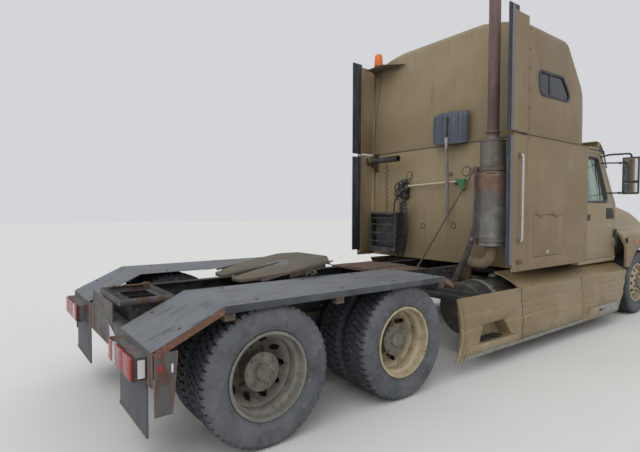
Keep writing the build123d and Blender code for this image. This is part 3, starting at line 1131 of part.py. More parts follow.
# Grab handles on the extenders
HANDLE_X = -450
HANDLE_Z = (1280, 2200)
HANDLE_Y = BODY_HALF_W + 42
with BuildPart() as grab_handles:
    tube([
        (HANDLE_X, BODY_HALF_W + SEAT_GAP, HANDLE_Z[0]), (HANDLE_X, HANDLE_Y, HANDLE_Z[0]),
        (HANDLE_X, HANDLE_Y, HANDLE_Z[1]), (HANDLE_X, BODY_HALF_W + SEAT_GAP, HANDLE_Z[1]),
    ], 13, 24)
    mirror(about=Plane.XZ)
grab_handles.part.label = "grab_handles"
export_step(grab_handles.part, "parts/grab_handles.step")

# Exhaust: muffler, stack and elbow on the right, with the support leg and its brace
MUFFLER_X = -520
MUFFLER_Y = -940
MUFFLER_R = 168
MUFFLER_Z = (1210, 2390)
STACK_R = 72
STACK_TOP_Z = 3920
PIPE_R = 62
PIPE_Y = -512
PIPE_Z = 745
LEG_X = -630
with BuildPart() as muffler:
    with BuildSketch(Plane(origin=(MUFFLER_X, MUFFLER_Y, 0), x_dir=(1, 0, 0), z_dir=(0, -1, 0))):
        outline([
            (0, MUFFLER_Z[0]), (MUFFLER_R - 30, MUFFLER_Z[0]), (MUFFLER_R, MUFFLER_Z[0] + 24),
            (MUFFLER_R, MUFFLER_Z[1] - 24), (MUFFLER_R - 30, MUFFLER_Z[1]), (STACK_R + 8, MUFFLER_Z[1]),
            (STACK_R + 8, MUFFLER_Z[1] + 60), (0, MUFFLER_Z[1] + 60),
        ])
    revolve(axis=Axis((MUFFLER_X, MUFFLER_Y, 0), (0, 0, 1)))
muffler.part.label = "muffler"
export_step(muffler.part, "parts/muffler.step")

with BuildPart() as exhaust_pipes:
    with BuildSketch(Plane.XY.offset(MUFFLER_Z[1] + 60 + SEAT_GAP)):
        with Locations((MUFFLER_X, MUFFLER_Y)):
            Circle(STACK_R)
            Circle(STACK_R - 4, mode=Mode.SUBTRACT)
    extrude(amount=STACK_TOP_Z - MUFFLER_Z[1] - 60)
    tube([
        (MUFFLER_X, MUFFLER_Y, MUFFLER_Z[0] - SEAT_GAP), (MUFFLER_X, MUFFLER_Y, 1010), (MUFFLER_X, -610, 1010),
        (-370, PIPE_Y, PIPE_Z), (1500, PIPE_Y, PIPE_Z),
    ], PIPE_R, [140, 140, 140])
    tube([(LEG_X, -720, 2091), (LEG_X, -712, 1199), (LEG_X, -520, 760)], 33, 400)
    block((LEG_X - 60, LEG_X + 60), (-560, -RAIL_OUT_Y - SEAT_GAP), (720, 800))
    for band_z in (1290, 2060):
        with Locations((MUFFLER_X, MUFFLER_Y, band_z)):
            Cylinder(MUFFLER_R + 7, 46)
            Cylinder(MUFFLER_R + SEAT_GAP, 46, mode=Mode.SUBTRACT)
        with BuildSketch(Plane.XY.offset(band_z - 20)):
            outline([(LEG_X - 20, -735), (LEG_X + 20, -690), (MUFFLER_X - 70, -775), (MUFFLER_X - 100, -800)])
        extrude(amount=40)
    tube([(LEG_X + 8, -716, 2040), (-1120, -392, DECK_Z + DECK_BOARDS[0][2] + 5)], 9, 0)
exhaust_pipes.part.label = "exhaust_pipes"
export_step(exhaust_pipes.part, "parts/exhaust_pipes.step")

# Beacon on its shelf at the left of the rear wall
SHELF_PLATE_Z = ROOF_SHOULDER_Z
BEACON_XY = (-415, BODY_HALF_W - 244)
with BuildPart() as beacon:
    with BuildSketch(Plane(origin=(BEACON_XY[0], BEACON_XY[1], 0), x_dir=(1, 0, 0), z_dir=(0, -1, 0))):
        outline([
            (0, SHELF_PLATE_Z + 6 + SEAT_GAP), (62, SHELF_PLATE_Z + 6 + SEAT_GAP), (62, SHELF_PLATE_Z + 40),
            (54, SHELF_PLATE_Z + 44), (44, SHELF_PLATE_Z + 205), (0, SHELF_PLATE_Z + 215),
        ])
    revolve(axis=Axis((BEACON_XY[0], BEACON_XY[1], 0), (0, 0, 1)))
beacon.part.label = "beacon"
export_step(beacon.part, "parts/beacon.step")

# Fittings on the rear wall: beacon shelf, hose tube on its post, hose box, coupling holder, rod
WALL_X = SLEEPER_REAR_X - SEAT_GAP
with BuildPart() as wall_fittings:
    with BuildSketch(Plane.XY.offset(SHELF_PLATE_Z)):
        outline([
            (WALL_X, BODY_HALF_W - 649), (WALL_X, BODY_HALF_W - 69),
            (-520, BODY_HALF_W - 99), (-520, BODY_HALF_W - 419),
        ])
    extrude(amount=6)
    hanger_y = BODY_HALF_W - 89
    with BuildSketch(side_plane(hanger_y)):
        outline([(WALL_X, 2180), (WALL_X, 2440), (-420, 2380), (-500, 2380), (-500, 2260), (-420, 2260)])
    extrude(amount=30)
    with BuildSketch(side_plane(hanger_y - 29)):
        with Locations((-460, 2320)):
            Circle(42)
    extrude(amount=570)
    block((-480, WALL_X), (550, 1050), (1020, 1580))
    block((-400, WALL_X), (430, 520), (1740, 2040))
    block((-330, WALL_X), (-400, -370), (1950, 1980))
    tube([(-345, 440, 1942), (-345, -540, 1969)], 12, 0)
wall_fittings.part.label = "wall_fittings"
export_step(wall_fittings.part, "parts/wall_fittings.step")

# Shovel hung on the wall, its blade up
with BuildPart() as shovel:
    with BuildSketch(Plane.XY.offset(2436)):
        with BuildLine():
            ThreePointArc((WALL_X - 70, -531), (WALL_X - 135, -288), (WALL_X - 70, -45))
            Line((WALL_X - 70, -45), (WALL_X - 64, -45))
            ThreePointArc((WALL_X - 64, -45), (WALL_X - 128, -288), (WALL_X - 64, -531))
            Line((WALL_X - 64, -531), (WALL_X - 70, -531))
        make_face()
    extrude(amount=384)
    tube([(WALL_X - 118, -235, 2526), (WALL_X - 60, -210, 1563)], 17, 0)
    block((WALL_X - 85, WALL_X), (-235, -210), (2050, 2080))
shovel.part.label = "shovel"
export_step(shovel.part, "parts/shovel.step")

# Curly hose and cable: each is one plain tube of its outer size
HOSE_R = 62
HOSE_ROUTE = ((-410, 470, 1739.7), (-410, 470, 1600), (-430, 420, 1200), (-560, 400, 985))
with BuildPart() as hose_coil:
    tube(HOSE_ROUTE, HOSE_R, [450, 350])
hose_coil.part.label = "hose_coil"
export_step(hose_coil.part, "parts/hose_coil.step")

with BuildPart() as curly_cable:
    tube([(-455, 745, 2277), (-450, 742, 1581)], 17, 0)
curly_cable.part.label = "curly_cable"
export_step(curly_cable.part, "parts/curly_cable.step")

# Hood: one piece with its fenders, tilted forwards about its front lower edge
HOOD_TOP_Z = 1860
HOOD_CREST_Z = 1290
NOSE_CURVE_X = HOOD_NOSE_X - 640
NOSE_SIDE_X = HOOD_NOSE_X - 140
LAMP_BOX_X = (3960, 4330)
LAMP_BOX_Z = (930, 1150)
LAMP_BOX_IN_Y = 700
GRILLE_HALF_W = 420
GRILLE_Z = (850, 1400)
GRILLE_BARS = 7
GRILLE_BAR_H = 26
GRILLE_SET_BACK = 8
GRILLE_BAR_DEPTH = 40


def hood_form(wall):
    """Hood body inset by the wall all round, open downwards when it is inset."""
    low = HOOD_BOTTOM_Z - (10 if wall else 0)
    rear = HOOD_REAR_X - (10 if wall else 0)
    nose_side_y = HOOD_HALF_W - 205
    nose_half_w = HOOD_BODY_HALF_W - 280
    top_y = HOOD_BODY_HALF_W - 240
    with BuildPart() as form:
        with BuildSketch(side_plane(HOOD_HALF_W - wall)):
            outline([
                (rear, low), (rear, HOOD_TOP_Z - wall), (HOOD_NOSE_X - 1190, HOOD_TOP_Z - 60 - wall),
                (HOOD_NOSE_X - 440, HOOD_TOP_Z - 260 - wall), (HOOD_NOSE_X - 100 - wall, HOOD_TOP_Z - 460 - wall),
                (HOOD_NOSE_X - wall, 1050), (HOOD_NOSE_X - wall, low),
            ], [0, 0, 900, 700, 160, 200, 0])
        extrude(amount=2 * (HOOD_HALF_W - wall))
        with BuildSketch(cross_plane(rear)):
            outline([
                (HOOD_HALF_W - wall, low), (HOOD_HALF_W - wall, 1080), (HOOD_HALF_W - 80 - wall, HOOD_CREST_Z - wall),
                (HOOD_BODY_HALF_W + 90 - wall, HOOD_CREST_Z + 40 - wall), (HOOD_BODY_HALF_W - wall, 1560),
                (top_y, HOOD_TOP_Z - 30 - wall), (0, HOOD_TOP_Z + 30 - wall), (-top_y, HOOD_TOP_Z - 30 - wall),
                (-HOOD_BODY_HALF_W + wall, 1560), (-HOOD_BODY_HALF_W - 90 + wall, HOOD_CREST_Z + 40 - wall),
                (-HOOD_HALF_W + 80 + wall, HOOD_CREST_Z - wall),
                (-HOOD_HALF_W + wall, 1080), (-HOOD_HALF_W + wall, low),
            ], [0, 120, 110, 90, 260, 260, 900, 260, 260, 90, 110, 120, 0])
        extrude(amount=HOOD_NOSE_X - rear + 10, mode=Mode.INTERSECT)
        with BuildSketch(Plane.XY.offset(low)):
            outline([
                (rear, HOOD_HALF_W - wall), (NOSE_CURVE_X, HOOD_HALF_W - wall),
                (NOSE_SIDE_X - wall, nose_side_y - wall),
                (HOOD_NOSE_X - wall, nose_half_w), (HOOD_NOSE_X - wall, -nose_half_w),
                (NOSE_SIDE_X - wall, -nose_side_y + wall), (NOSE_CURVE_X, -HOOD_HALF_W + wall),
                (rear, -HOOD_HALF_W + wall),
            ], [0, 500, 220, 300, 300, 220, 500, 0])
        extrude(amount=HOOD_TOP_Z, mode=Mode.INTERSECT)
    return form.part


hood_outer = hood_form(0)
hood_inner = hood_form(HOOD_WALL)


def lamp_region(grow):
    """Blocks at the two front corners that the headlamps fill."""
    low_x, low_z, high_z = LAMP_BOX_X[0] - grow, LAMP_BOX_Z[0] - grow, LAMP_BOX_Z[1] + grow
    with BuildPart() as region:
        with BuildSketch(side_plane(HOOD_HALF_W)):
            outline([(low_x, low_z), (LAMP_BOX_X[1] + 50, low_z), (LAMP_BOX_X[1] + 50, high_z), (low_x, high_z)])
        extrude(amount=HOOD_HALF_W - LAMP_BOX_IN_Y + grow)
        mirror(about=Plane.XZ)
    return region.part


# Grille bars follow the nose from a little behind its face
with BuildPart() as grille:
    bar_pitch = (GRILLE_Z[1] - GRILLE_Z[0] - 2 * GRILLE_BAR_H) / (GRILLE_BARS - 1)
    with BuildSketch(cross_plane(HOOD_NOSE_X - 250)):
        for bar in range(GRILLE_BARS):
            with Locations((0, GRILLE_Z[0] + GRILLE_BAR_H + bar * bar_pitch)):
                Rectangle(2 * GRILLE_HALF_W + 40, GRILLE_BAR_H)
        for upright_y in (-GRILLE_HALF_W / 2, 0, GRILLE_HALF_W / 2):
            with Locations((upright_y, sum(GRILLE_Z) / 2)):
                Rectangle(16, GRILLE_Z[1] - GRILLE_Z[0] - GRILLE_BAR_H)
    extrude(amount=300)
    add(hood_form(GRILLE_SET_BACK), mode=Mode.INTERSECT)
    add(hood_form(GRILLE_SET_BACK + GRILLE_BAR_DEPTH), mode=Mode.SUBTRACT)

with BuildPart() as hood:
    add(hood_outer)
    add(hood_inner, mode=Mode.SUBTRACT)
    with BuildSketch(side_plane(HOOD_HALF_W + 10)):
        with Locations((STEER_X, AXLE_Z)):
            Circle(ARCH_R)
    extrude(amount=2 * HOOD_HALF_W + 20, mode=Mode.SUBTRACT)
    with BuildSketch(cross_plane(HOOD_NOSE_X - 200)):
        outline([
            (-GRILLE_HALF_W, GRILLE_Z[0]), (GRILLE_HALF_W, GRILLE_Z[0]), (GRILLE_HALF_W - 60, GRILLE_Z[1]),
            (-GRILLE_HALF_W + 60, GRILLE_Z[1]),
        ], 50)
    extrude(amount=300, mode=Mode.SUBTRACT)
    with BuildSketch(Plane.XY.offset(COWL_TOP_Z - 60)):
        outline([
            (HOOD_REAR_X - 20, -HOOD_BODY_HALF_W - 100), (PANE_FOOT_X + 34, -HOOD_BODY_HALF_W - 100),
            (PANE_FOOT_X + PANE_VEE + 40, 0), (PANE_FOOT_X + 34, HOOD_BODY_HALF_W + 100),
            (HOOD_REAR_X - 20, HOOD_BODY_HALF_W + 100),
        ])
    extrude(amount=300, mode=Mode.SUBTRACT)
    add(lamp_region(SEAT_GAP), mode=Mode.SUBTRACT)
    add(grille.part)
    for side_name, side in SIDES:
        with BuildSketch(side_plane(side * BUMPER_BRACKET_Y + HOOD_ARM_HALF)):
            outline([
                (HOOD_HINGE_X - 25, HOOD_HINGE_Z - 22), (HOOD_HINGE_X + 25, HOOD_HINGE_Z - 22),
                (HOOD_NOSE_X - 6, HOOD_BOTTOM_Z + 30), (HOOD_NOSE_X - HOOD_WALL - 20, HOOD_BOTTOM_Z + 40),
            ], [20, 20, 0, 0])
            with Locations((HOOD_HINGE_X, HOOD_HINGE_Z)):
                Circle(HOOD_PIN_R + SEAT_GAP, mode=Mode.SUBTRACT)
        extrude(amount=2 * HOOD_ARM_HALF)
hood.part.label = "hood"
export_step(hood.part, "parts/hood.step")

# Headlamps: lenses that carry on the hood's outer face
with BuildPart() as headlamps:
    add(hood_outer)
    add(hood_form(HOOD_WALL + 20), mode=Mode.SUBTRACT)
    add(lamp_region(0), mode=Mode.INTERSECT)
headlamps.part.label = "headlamps"
export_step(headlamps.part, "parts/headlamps.step")

# Doors with their windows cut, the panes, and the mirrors on their arms
WINDOW = ((1560, 1735), (2300, 1735), (2065, 2365), (1560, 2365))
WINDOW_ROUND = (40, 60, 60, 40)
for side_name, side in SIDES:
    with BuildPart() as door:
        with BuildSketch(cross_plane(DOOR_REAR_X - 10)):
            side_wall(CAB_HALF_W, CAB_HALF_W - DOOR_THICK, DOOR_BOTTOM_Z - 10, CAB_TOP_Z)
        extrude(amount=DOOR_FRONT_X - DOOR_REAR_X + 20)
        with BuildSketch(side_plane(CAB_HALF_W + 20)):
            door_outline(0, 25)
        extrude(amount=300, mode=Mode.INTERSECT)
        with BuildSketch(side_plane(CAB_HALF_W + 20)):
            outline(WINDOW, WINDOW_ROUND)
        extrude(amount=300, mode=Mode.SUBTRACT)
        hinge_halves(-1, SEAT_GAP / 2)
    door_part = door.part
    if side < 0:
        door_part = mirror(door_part, about=Plane.XZ)
    door_part.label = f"door_{side_name}"
    export_step(door_part, f"parts/door_{side_name}.step")

    with BuildPart() as door_glass:
        with BuildSketch(cross_plane(DOOR_REAR_X)):
            side_wall(CAB_HALF_W - 22, CAB_HALF_W - 28, BELT_Z - 50, CAB_TOP_Z)
        extrude(amount=DOOR_FRONT_X - DOOR_REAR_X)
        with BuildSketch(side_plane(CAB_HALF_W + 20)):
            outline(WINDOW, WINDOW_ROUND)
            offset(amount=-SEAT_GAP)
        extrude(amount=300, mode=Mode.INTERSECT)
    glass_part = door_glass.part
    if side < 0:
        glass_part = mirror(glass_part, about=Plane.XZ)
    glass_part.label = f"door_glass_{side_name}"
    export_step(glass_part, f"parts/door_glass_{side_name}.step")

    with BuildPart() as door_mirror:
        for arm_x, arm_z in ((2290, 1870), (2150, 2300)):
            foot_y = CAB_HALF_W + 1.3 - TUMBLEHOME * (arm_z - BELT_Z) / (CAB_TOP_Z - BELT_Z)
            arm = [(arm_x, foot_y, arm_z), (arm_x, foot_y + 30, arm_z), (2325, 1240, arm_z), (2325, 1330, arm_z)]
            tube(arm, 10, 20)
        with BuildSketch(Plane.XY.offset(1850)):
            outline([(2285, 1230), (2285, 1430), (2320, 1440), (2360, 1400), (2360, 1260), (2320, 1225)], 20)
        extrude(amount=520)
    mirror_part = door_mirror.part
    if side < 0:
        mirror_part = mirror(mirror_part, about=Plane.XZ)
    mirror_part.label = f"mirror_{side_name}"
    export_step(mirror_part, f"parts/mirror_{side_name}.step")
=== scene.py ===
"""Road tractor unit with a high-roof sleeper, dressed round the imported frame.

Sizes in the classes are millimetres in the vehicle's frame: +X forward, +Y to the driver's left,
+Z up. Form.piece turns them to metres once, when a piece is made.
"""

import logging
import math
from collections.abc import Callable
from dataclasses import dataclass
from enum import Enum

import bmesh
import bpy
from mathutils import Matrix, Vector


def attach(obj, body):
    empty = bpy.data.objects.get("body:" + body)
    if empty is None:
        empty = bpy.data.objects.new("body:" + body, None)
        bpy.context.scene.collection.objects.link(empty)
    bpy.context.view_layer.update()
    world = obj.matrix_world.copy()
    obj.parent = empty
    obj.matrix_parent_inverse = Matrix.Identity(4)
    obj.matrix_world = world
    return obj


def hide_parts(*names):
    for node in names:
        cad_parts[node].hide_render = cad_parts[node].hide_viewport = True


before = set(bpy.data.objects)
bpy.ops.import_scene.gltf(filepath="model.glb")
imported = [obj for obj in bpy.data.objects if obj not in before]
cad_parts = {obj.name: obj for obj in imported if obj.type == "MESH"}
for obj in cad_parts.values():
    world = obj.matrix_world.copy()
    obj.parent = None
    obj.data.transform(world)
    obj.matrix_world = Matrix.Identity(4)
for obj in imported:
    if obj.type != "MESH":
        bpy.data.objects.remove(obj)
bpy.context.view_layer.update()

log = logging.getLogger("tractor_unit")
MM = 0.001
Point = tuple[float, float, float]
Pair = tuple[float, float]
SIDES = (("left", 1.0), ("right", -1.0))
# Directions in the vehicle's frame.
FORWARD: Point = (1, 0, 0)
BACKWARD: Point = (-1, 0, 0)
LEFTWARD: Point = (0, 1, 0)
RIGHTWARD: Point = (0, -1, 0)
UPWARD: Point = (0, 0, 1)
DOWNWARD: Point = (0, 0, -1)


def linear(code: str) -> tuple[float, float, float, float]:
    """Turns an sRGB hex colour to linear light.

    Args:
        code: Six hex digits, with or without a leading hash.

    Returns:
        Red, green, blue and an alpha of 1.
    """
    parts = [int(code.lstrip("#")[i : i + 2], 16) / 255 for i in (0, 2, 4)]
    red, green, blue = (c / 12.92 if c <= 0.04045 else ((c + 0.055) / 1.055) ** 2.4 for c in parts)
    return red, green, blue, 1.0


def add_node(
    tree: bpy.types.NodeTree, kind: str, inputs: dict | None = None, **settings: object
) -> bpy.types.Node:
    """Adds one node with its settings, its input values and the links into it.

    Args:
        tree: The node tree that gets the node.
        kind: Blender's name of the node type.
        inputs: Input name or number to a value, or to the output socket that feeds it.
        settings: Properties of the node itself.

    Returns:
        The new node.
    """
    made = tree.nodes.new(kind)
    for name, value in settings.items():
        setattr(made, name, value)
    for key, value in (inputs or {}).items():
        if isinstance(value, bpy.types.NodeSocket):
            tree.links.new(value, made.inputs[key])
        else:
            made.inputs[key].default_value = value
    return made


class Axis(Enum):
    """Axis of the vehicle that a zone of dirt or rust fades along."""

    ALONG = 0
    ACROSS = 1
    UP = 2


@dataclass(frozen=True)
class Zone:
    """Part of the vehicle that a layer keeps to, fading from full to none along one axis, in metres."""

    axis: Axis
    full: float
    none: float
    both_sides: bool = False


@dataclass(frozen=True)
class Layer:
    """A second colour on or through a finish, in patches of a real size.

    share is the part of the surface covered, stretch lengthens the patches along X, Y and Z, and
    raised is how far the patch stands out of the surface, in millimetres.
    """

    colour: str
    size: float
    share: float
    softness: float = 0.06
    roughness: float = 0.85
    metallic: float = 0.0
    stretch: Point = (1.0, 1.0, 1.0)
    raised: float = 0.0
    zone: Zone | None = None
    strength: float = 1.0


@dataclass(frozen=True)
class Finish:
    """An opaque surface: its substance, its layers of wear and dirt, and its relief.

    mottle is the second colour of the substance itself, grain and relief give the fine texture, and
    waves the slow unevenness of a sheet, each with its size and its depth in millimetres.
    """

    name: str
    colour: str
    mottle: str
    roughness: float
    metallic: float = 0.0
    ior: float = 1.5
    mottle_size: float = 180.0
    grain: float = 3.0
    grain_stretch: Point = (1.0, 1.0, 1.0)
    relief: float = 0.15
    waves: float = 0.0
    wave_size: float = 420.0
    coat: float = 0.0
    layers: tuple[Layer, ...] = ()

    def patches(
        self, tree: bpy.types.NodeTree, place: bpy.types.NodeSocket, layer: Layer
    ) -> bpy.types.NodeSocket:
        """Adds the mask of one layer.

        Args:
            tree: The material's node tree.
            place: Socket with the point in the vehicle's frame.
            layer: The layer that the mask is for.

        Returns:
            Socket that is 1 inside the patches and 0 outside them.
        """
        stretched = add_node(
            tree, "ShaderNodeMapping", {
                0: place, 3: tuple(1.0 / s for s in layer.stretch)
            }, vector_type="POINT"
        )
        noise = add_node(
            tree, "ShaderNodeTexNoise", {
                0: stretched.outputs[0], "Scale": 1000.0 / layer.size, "Detail": 5.0, "Roughness": 0.6
            }
        ).outputs[0]
        if layer.zone:
            parts = add_node(tree, "ShaderNodeSeparateXYZ", {0: place})
            along = parts.outputs[layer.zone.axis.value]
            if layer.zone.both_sides:
                along = add_node(tree, "ShaderNodeMath", {0: along}, operation="ABSOLUTE").outputs[0]
            inside = add_node(
                tree, "ShaderNodeMapRange", {
                    0: along, 1: layer.zone.none, 2: layer.zone.full, 3: -0.45, 4: 0.0
                }
            ).outputs[0]
            noise = add_node(tree, "ShaderNodeMath", {0: noise, 1: inside}, operation="ADD").outputs[0]
        edge = 0.5 + 0.4 * (0.5 - layer.share)
        return add_node(
            tree,
            "ShaderNodeMapRange",
            {0: noise, 1: edge - layer.softness, 2: edge + layer.softness, 4: layer.strength},
            interpolation_type="SMOOTHSTEP",
        ).outputs[0]

    def material(self) -> bpy.types.Material:
        """Makes the material on its first call, and gives the same one back after that."""
        found = bpy.data.materials.get(self.name)
        if found:
            return found
        material = bpy.data.materials.new(self.name)
        material.use_nodes = True
        tree = material.node_tree
        tree.nodes.clear()
        place = add_node(tree, "ShaderNodeTexCoord").outputs["Object"]
        broad = add_node(
            tree, "ShaderNodeTexNoise", {0: place, "Scale": 1000.0 / self.mottle_size, "Detail": 6.0}
        )
        colour = add_node(
            tree, "ShaderNodeMix", {
                0: broad.outputs[0], 6: linear(self.colour), 7: linear(self.mottle)
            }, data_type="RGBA"
        ).outputs[2]
        drawn = add_node(
            tree, "ShaderNodeMapping", {
                0: place, 3: tuple(1.0 / s for s in self.grain_stretch)
            }, vector_type="POINT"
        )
        fine = add_node(
            tree, "ShaderNodeTexNoise", {0: drawn.outputs[0], "Scale": 1000.0 / self.grain, "Detail": 4.0}
        ).outputs[0]
        roughness = add_node(
            tree, "ShaderNodeMapRange", {
                0: fine, 1: 0.3, 2: 0.7, 3: max(0.03, self.roughness - 0.07), 4: self.roughness + 0.07
            }
        ).outputs[0]
        height = add_node(tree, "ShaderNodeMath", {0: fine, 1: self.relief}, operation="MULTIPLY").outputs[0]
        if self.waves:
            slow = add_node(
                tree, "ShaderNodeTexNoise", {0: place, "Scale": 1000.0 / self.wave_size, "Detail": 1.0}
            )
            height = add_node(
                tree, "ShaderNodeMath", {
                    0: slow.outputs[0], 1: self.waves, 2: height
                }, operation="MULTIPLY_ADD"
            ).outputs[0]
        metallic = None
        for layer in self.layers:
            mask = self.patches(tree, place, layer)
            colour = add_node(
                tree, "ShaderNodeMix", {0: mask, 6: colour, 7: linear(layer.colour)}, data_type="RGBA"
            ).outputs[2]
            roughness = add_node(
                tree, "ShaderNodeMix", {0: mask, 2: roughness, 3: layer.roughness}
            ).outputs[0]
            if layer.metallic != self.metallic or metallic:
                metallic = add_node(
                    tree, "ShaderNodeMix", {0: mask, 2: metallic or self.metallic, 3: layer.metallic}
                ).outputs[0]
            if layer.raised:
                height = add_node(
                    tree, "ShaderNodeMath", {0: mask, 1: layer.raised, 2: height}, operation="MULTIPLY_ADD"
                ).outputs[0]
        bump = add_node(tree, "ShaderNodeBump", {"Height": height, "Strength": 1.0, "Distance": MM})
        surface = {
            "Base Color": colour,
            "Roughness": roughness,
            "Metallic": self.metallic if metallic is None else metallic,
            "Normal": bump.outputs[0],
            "IOR": self.ior,
        }
        if self.coat:
            surface |= {"Coat Weight": self.coat, "Coat Roughness": 0.25}
        shader = add_node(tree, "ShaderNodeBsdfPrincipled", surface)
        add_node(tree, "ShaderNodeOutputMaterial", {0: shader.outputs[0]})
        return material


@dataclass(frozen=True)
class Clear:
    """Glass or a moulded lens: tint, how much light goes through, and how fine the surface is."""

    name: str
    colour: str
    roughness: float = 0.03
    transmission: float = 1.0
    ior: float = 1.5
    ribs: float = 0.0

    def material(self) -> bpy.types.Material:
        """Makes the material on its first call, and gives the same one back after that."""
        found = bpy.data.materials.get(self.name)
        if found:
            return found
        material = bpy.data.materials.new(self.name)
        material.use_nodes = True
        tree = material.node_tree
        tree.nodes.clear()
        place = add_node(tree, "ShaderNodeTexCoord").outputs["Object"]
        film = add_node(tree, "ShaderNodeTexNoise", {0: place, "Scale": 14.0, "Detail": 6.0}).outputs[0]
        roughness = add_node(
            tree, "ShaderNodeMapRange", {
                0: film, 1: 0.4, 2: 0.75, 3: self.roughness, 4: self.roughness + 0.12
            }
        )
        surface = {
            "Base Color": linear(self.colour),
            "Roughness": roughness.outputs[0],
            "Transmission Weight": self.transmission,
            "IOR": self.ior,
        }
        if self.ribs:
            moulded = add_node(
                tree, "ShaderNodeTexWave", {0: place, "Scale": 1000.0 / self.ribs / 6.28, "Distortion": 0.0},
                bands_direction="Y",
            )
            surface["Normal"] = add_node(
                tree, "ShaderNodeBump", {"Height": moulded.outputs[1], "Strength": 0.5, "Distance": MM}
            ).outputs[0]
        shader = add_node(tree, "ShaderNodeBsdfPrincipled", surface)
        add_node(tree, "ShaderNodeOutputMaterial", {0: shader.outputs[0]})
        return material


# Road dust gathers low down; patches of it reach the height given, in metres.
ROAD_DUST = Layer("#A39A86", 260.0, 0.42, 0.16, 0.95, zone=Zone(Axis.UP, 0.25, 1.25), strength=0.5)
# Runs of dirty water down upright panels.
RUNS = Layer("#5F5645", 60.0, 0.16, 0.1, 0.7, stretch=(1.0, 1.0, 14.0), strength=0.35)
# Rust of thin sheet: dull orange-brown, rougher and a little swollen.
SHEET_RUST = Layer("#7A4A2C", 26.0, 0.1, 0.05, 0.95, raised=0.25)

# Sprayed acrylic enamel, faded: an even tan with chalky blotches, a weak gloss and slow sheet waves; its
# sides are painted darker and browner, as painted shade.
TAN_ENAMEL = Finish(
    "sprayed_enamel_tan", "#8F7E60", "#827254", 0.46,
    mottle_size=700.0, grain=5.0, relief=0.04, waves=1.6, coat=0.15,
    layers=(
        Layer("#9C8C6C", 900.0, 0.4, 0.2, 0.55, strength=0.5),
        # Darker brown over the sides, fading out towards the middle: painted shade that makes the sides
        # darker than the rear wall.
        Layer("#6B5334", 800.0, 0.85, 0.4, 0.75, zone=Zone(Axis.ACROSS, 1.195, 1.12, True), strength=0.65),
        RUNS,
        ROAD_DUST,
        Layer("#4A4134", 7.0, 0.02, 0.03, 0.8),
    ),
)
# The same enamel on the plastic skirts: scuffed, dustier, with dark scratches along the panel.
SKIRT_ENAMEL = Finish(
    "sprayed_enamel_on_skirt", "#8A7757", "#7D6A4B", 0.52,
    mottle_size=420.0, grain=4.0, relief=0.06, waves=2.5,
    wave_size=300.0, coat=0.15,
    layers=(
        Layer("#A59A80", 320.0, 0.5, 0.2, 0.9, zone=Zone(Axis.UP, 0.2, 1.1), strength=0.6),
        Layer("#63594A", 34.0, 0.18, 0.06, 0.8, stretch=(9.0, 1.0, 0.8), strength=0.55),
        Layer("#3F3A33", 9.0, 0.06, 0.03, 0.85, zone=Zone(Axis.UP, 0.17, 0.5)),
    ),
)
# Brushed chassis enamel on bent plate: dusty blue-grey, scraped, with rust out of the edges.
FENDER_ENAMEL = Finish(
    "brushed_enamel_blue_grey", "#5F656B", "#6B6E72", 0.62,
    mottle_size=240.0, grain=2.0, grain_stretch=(12.0, 1.0, 1.0),
    relief=0.12, waves=2.5, wave_size=260.0,
    layers=(
        Layer("#7A7A78", 420.0, 0.45, 0.2, 0.9, strength=0.55),
        Layer("#3F4145", 60.0, 0.24, 0.06, 0.6, stretch=(6.0, 1.0, 1.0), strength=0.65),
        Layer("#2E3136", 300.0, 0.9, 0.3, 0.7, zone=Zone(Axis.ACROSS, 1.2355, 1.2335, True), strength=0.9),
        Layer("#6E4229", 30.0, 0.07, 0.04, 0.95, raised=0.25),
    ),
)
# The same enamel on the rear beam and the lamp boxes: darker, half gone to rust under slush.
BEAM_ENAMEL = Finish(
    "brushed_enamel_on_beam", "#4B4D50", "#565352", 0.66, mottle_size=200.0, grain=3.0, relief=0.2, waves=1.5,
    layers=(
        Layer("#6F6C67", 240.0, 0.35, 0.14, 0.9, strength=0.6),
        Layer("#5A3B29", 90.0, 0.32, 0.08, 0.95, raised=0.3, stretch=(1.0, 1.0, 2.0), strength=0.85),
    ),
)
# Dipped chassis paint: black gone grey with grease and road dirt.
CHASSIS_PAINT = Finish(
    "dipped_chassis_paint", "#24262A", "#302F2F", 0.7, mottle_size=120.0, grain=6.0, relief=0.4,
    layers=(
        Layer("#57534D", 160.0, 0.34, 0.14, 0.95, strength=0.6),
        Layer("#53382A", 48.0, 0.14, 0.05, 0.95, raised=0.3),
    ),
)
# Cast and forged steel of the axles: coarse skin under oily dust.
CAST_STEEL = Finish(
    "sand_cast_steel", "#3A3733", "#4A433A", 0.72, mottle_size=90.0, grain=5.0, relief=0.6,
    layers=(
        Layer("#6A5F50", 120.0, 0.45, 0.14, 0.95, strength=0.7), Layer("#5B3722", 36.0, 0.22, 0.05, 0.95)
    ),
)
# Rolled steel gone brown all over: the plate of the coupling, brackets and the box frame.
RUSTED_PLATE = Finish(
    "rolled_plate_rusted", "#54402F", "#6A4C36", 0.78, mottle_size=70.0, grain=4.0, relief=0.5,
    layers=(
        Layer("#3B3A39", 130.0, 0.42, 0.1, 0.5, strength=0.85),
        Layer("#8A5634", 42.0, 0.2, 0.06, 0.95, raised=0.2),
    ),
)
# Mild steel tube tarnished by exhaust heat: matt red-brown, darker towards the top.
HEATED_TUBE = Finish(
    "heat_tarnished_tube", "#715B56", "#7B655F", 0.68,
    metallic=0.25, mottle_size=140.0, grain=5.0, relief=0.3,
    layers=(
        Layer("#4A3B38", 220.0, 0.45, 0.15, 0.8, stretch=(1.0, 1.0, 3.0), strength=0.8),
        Layer("#82604C", 30.0, 0.08, 0.05, 0.95, raised=0.15, strength=0.7),
    ),
)
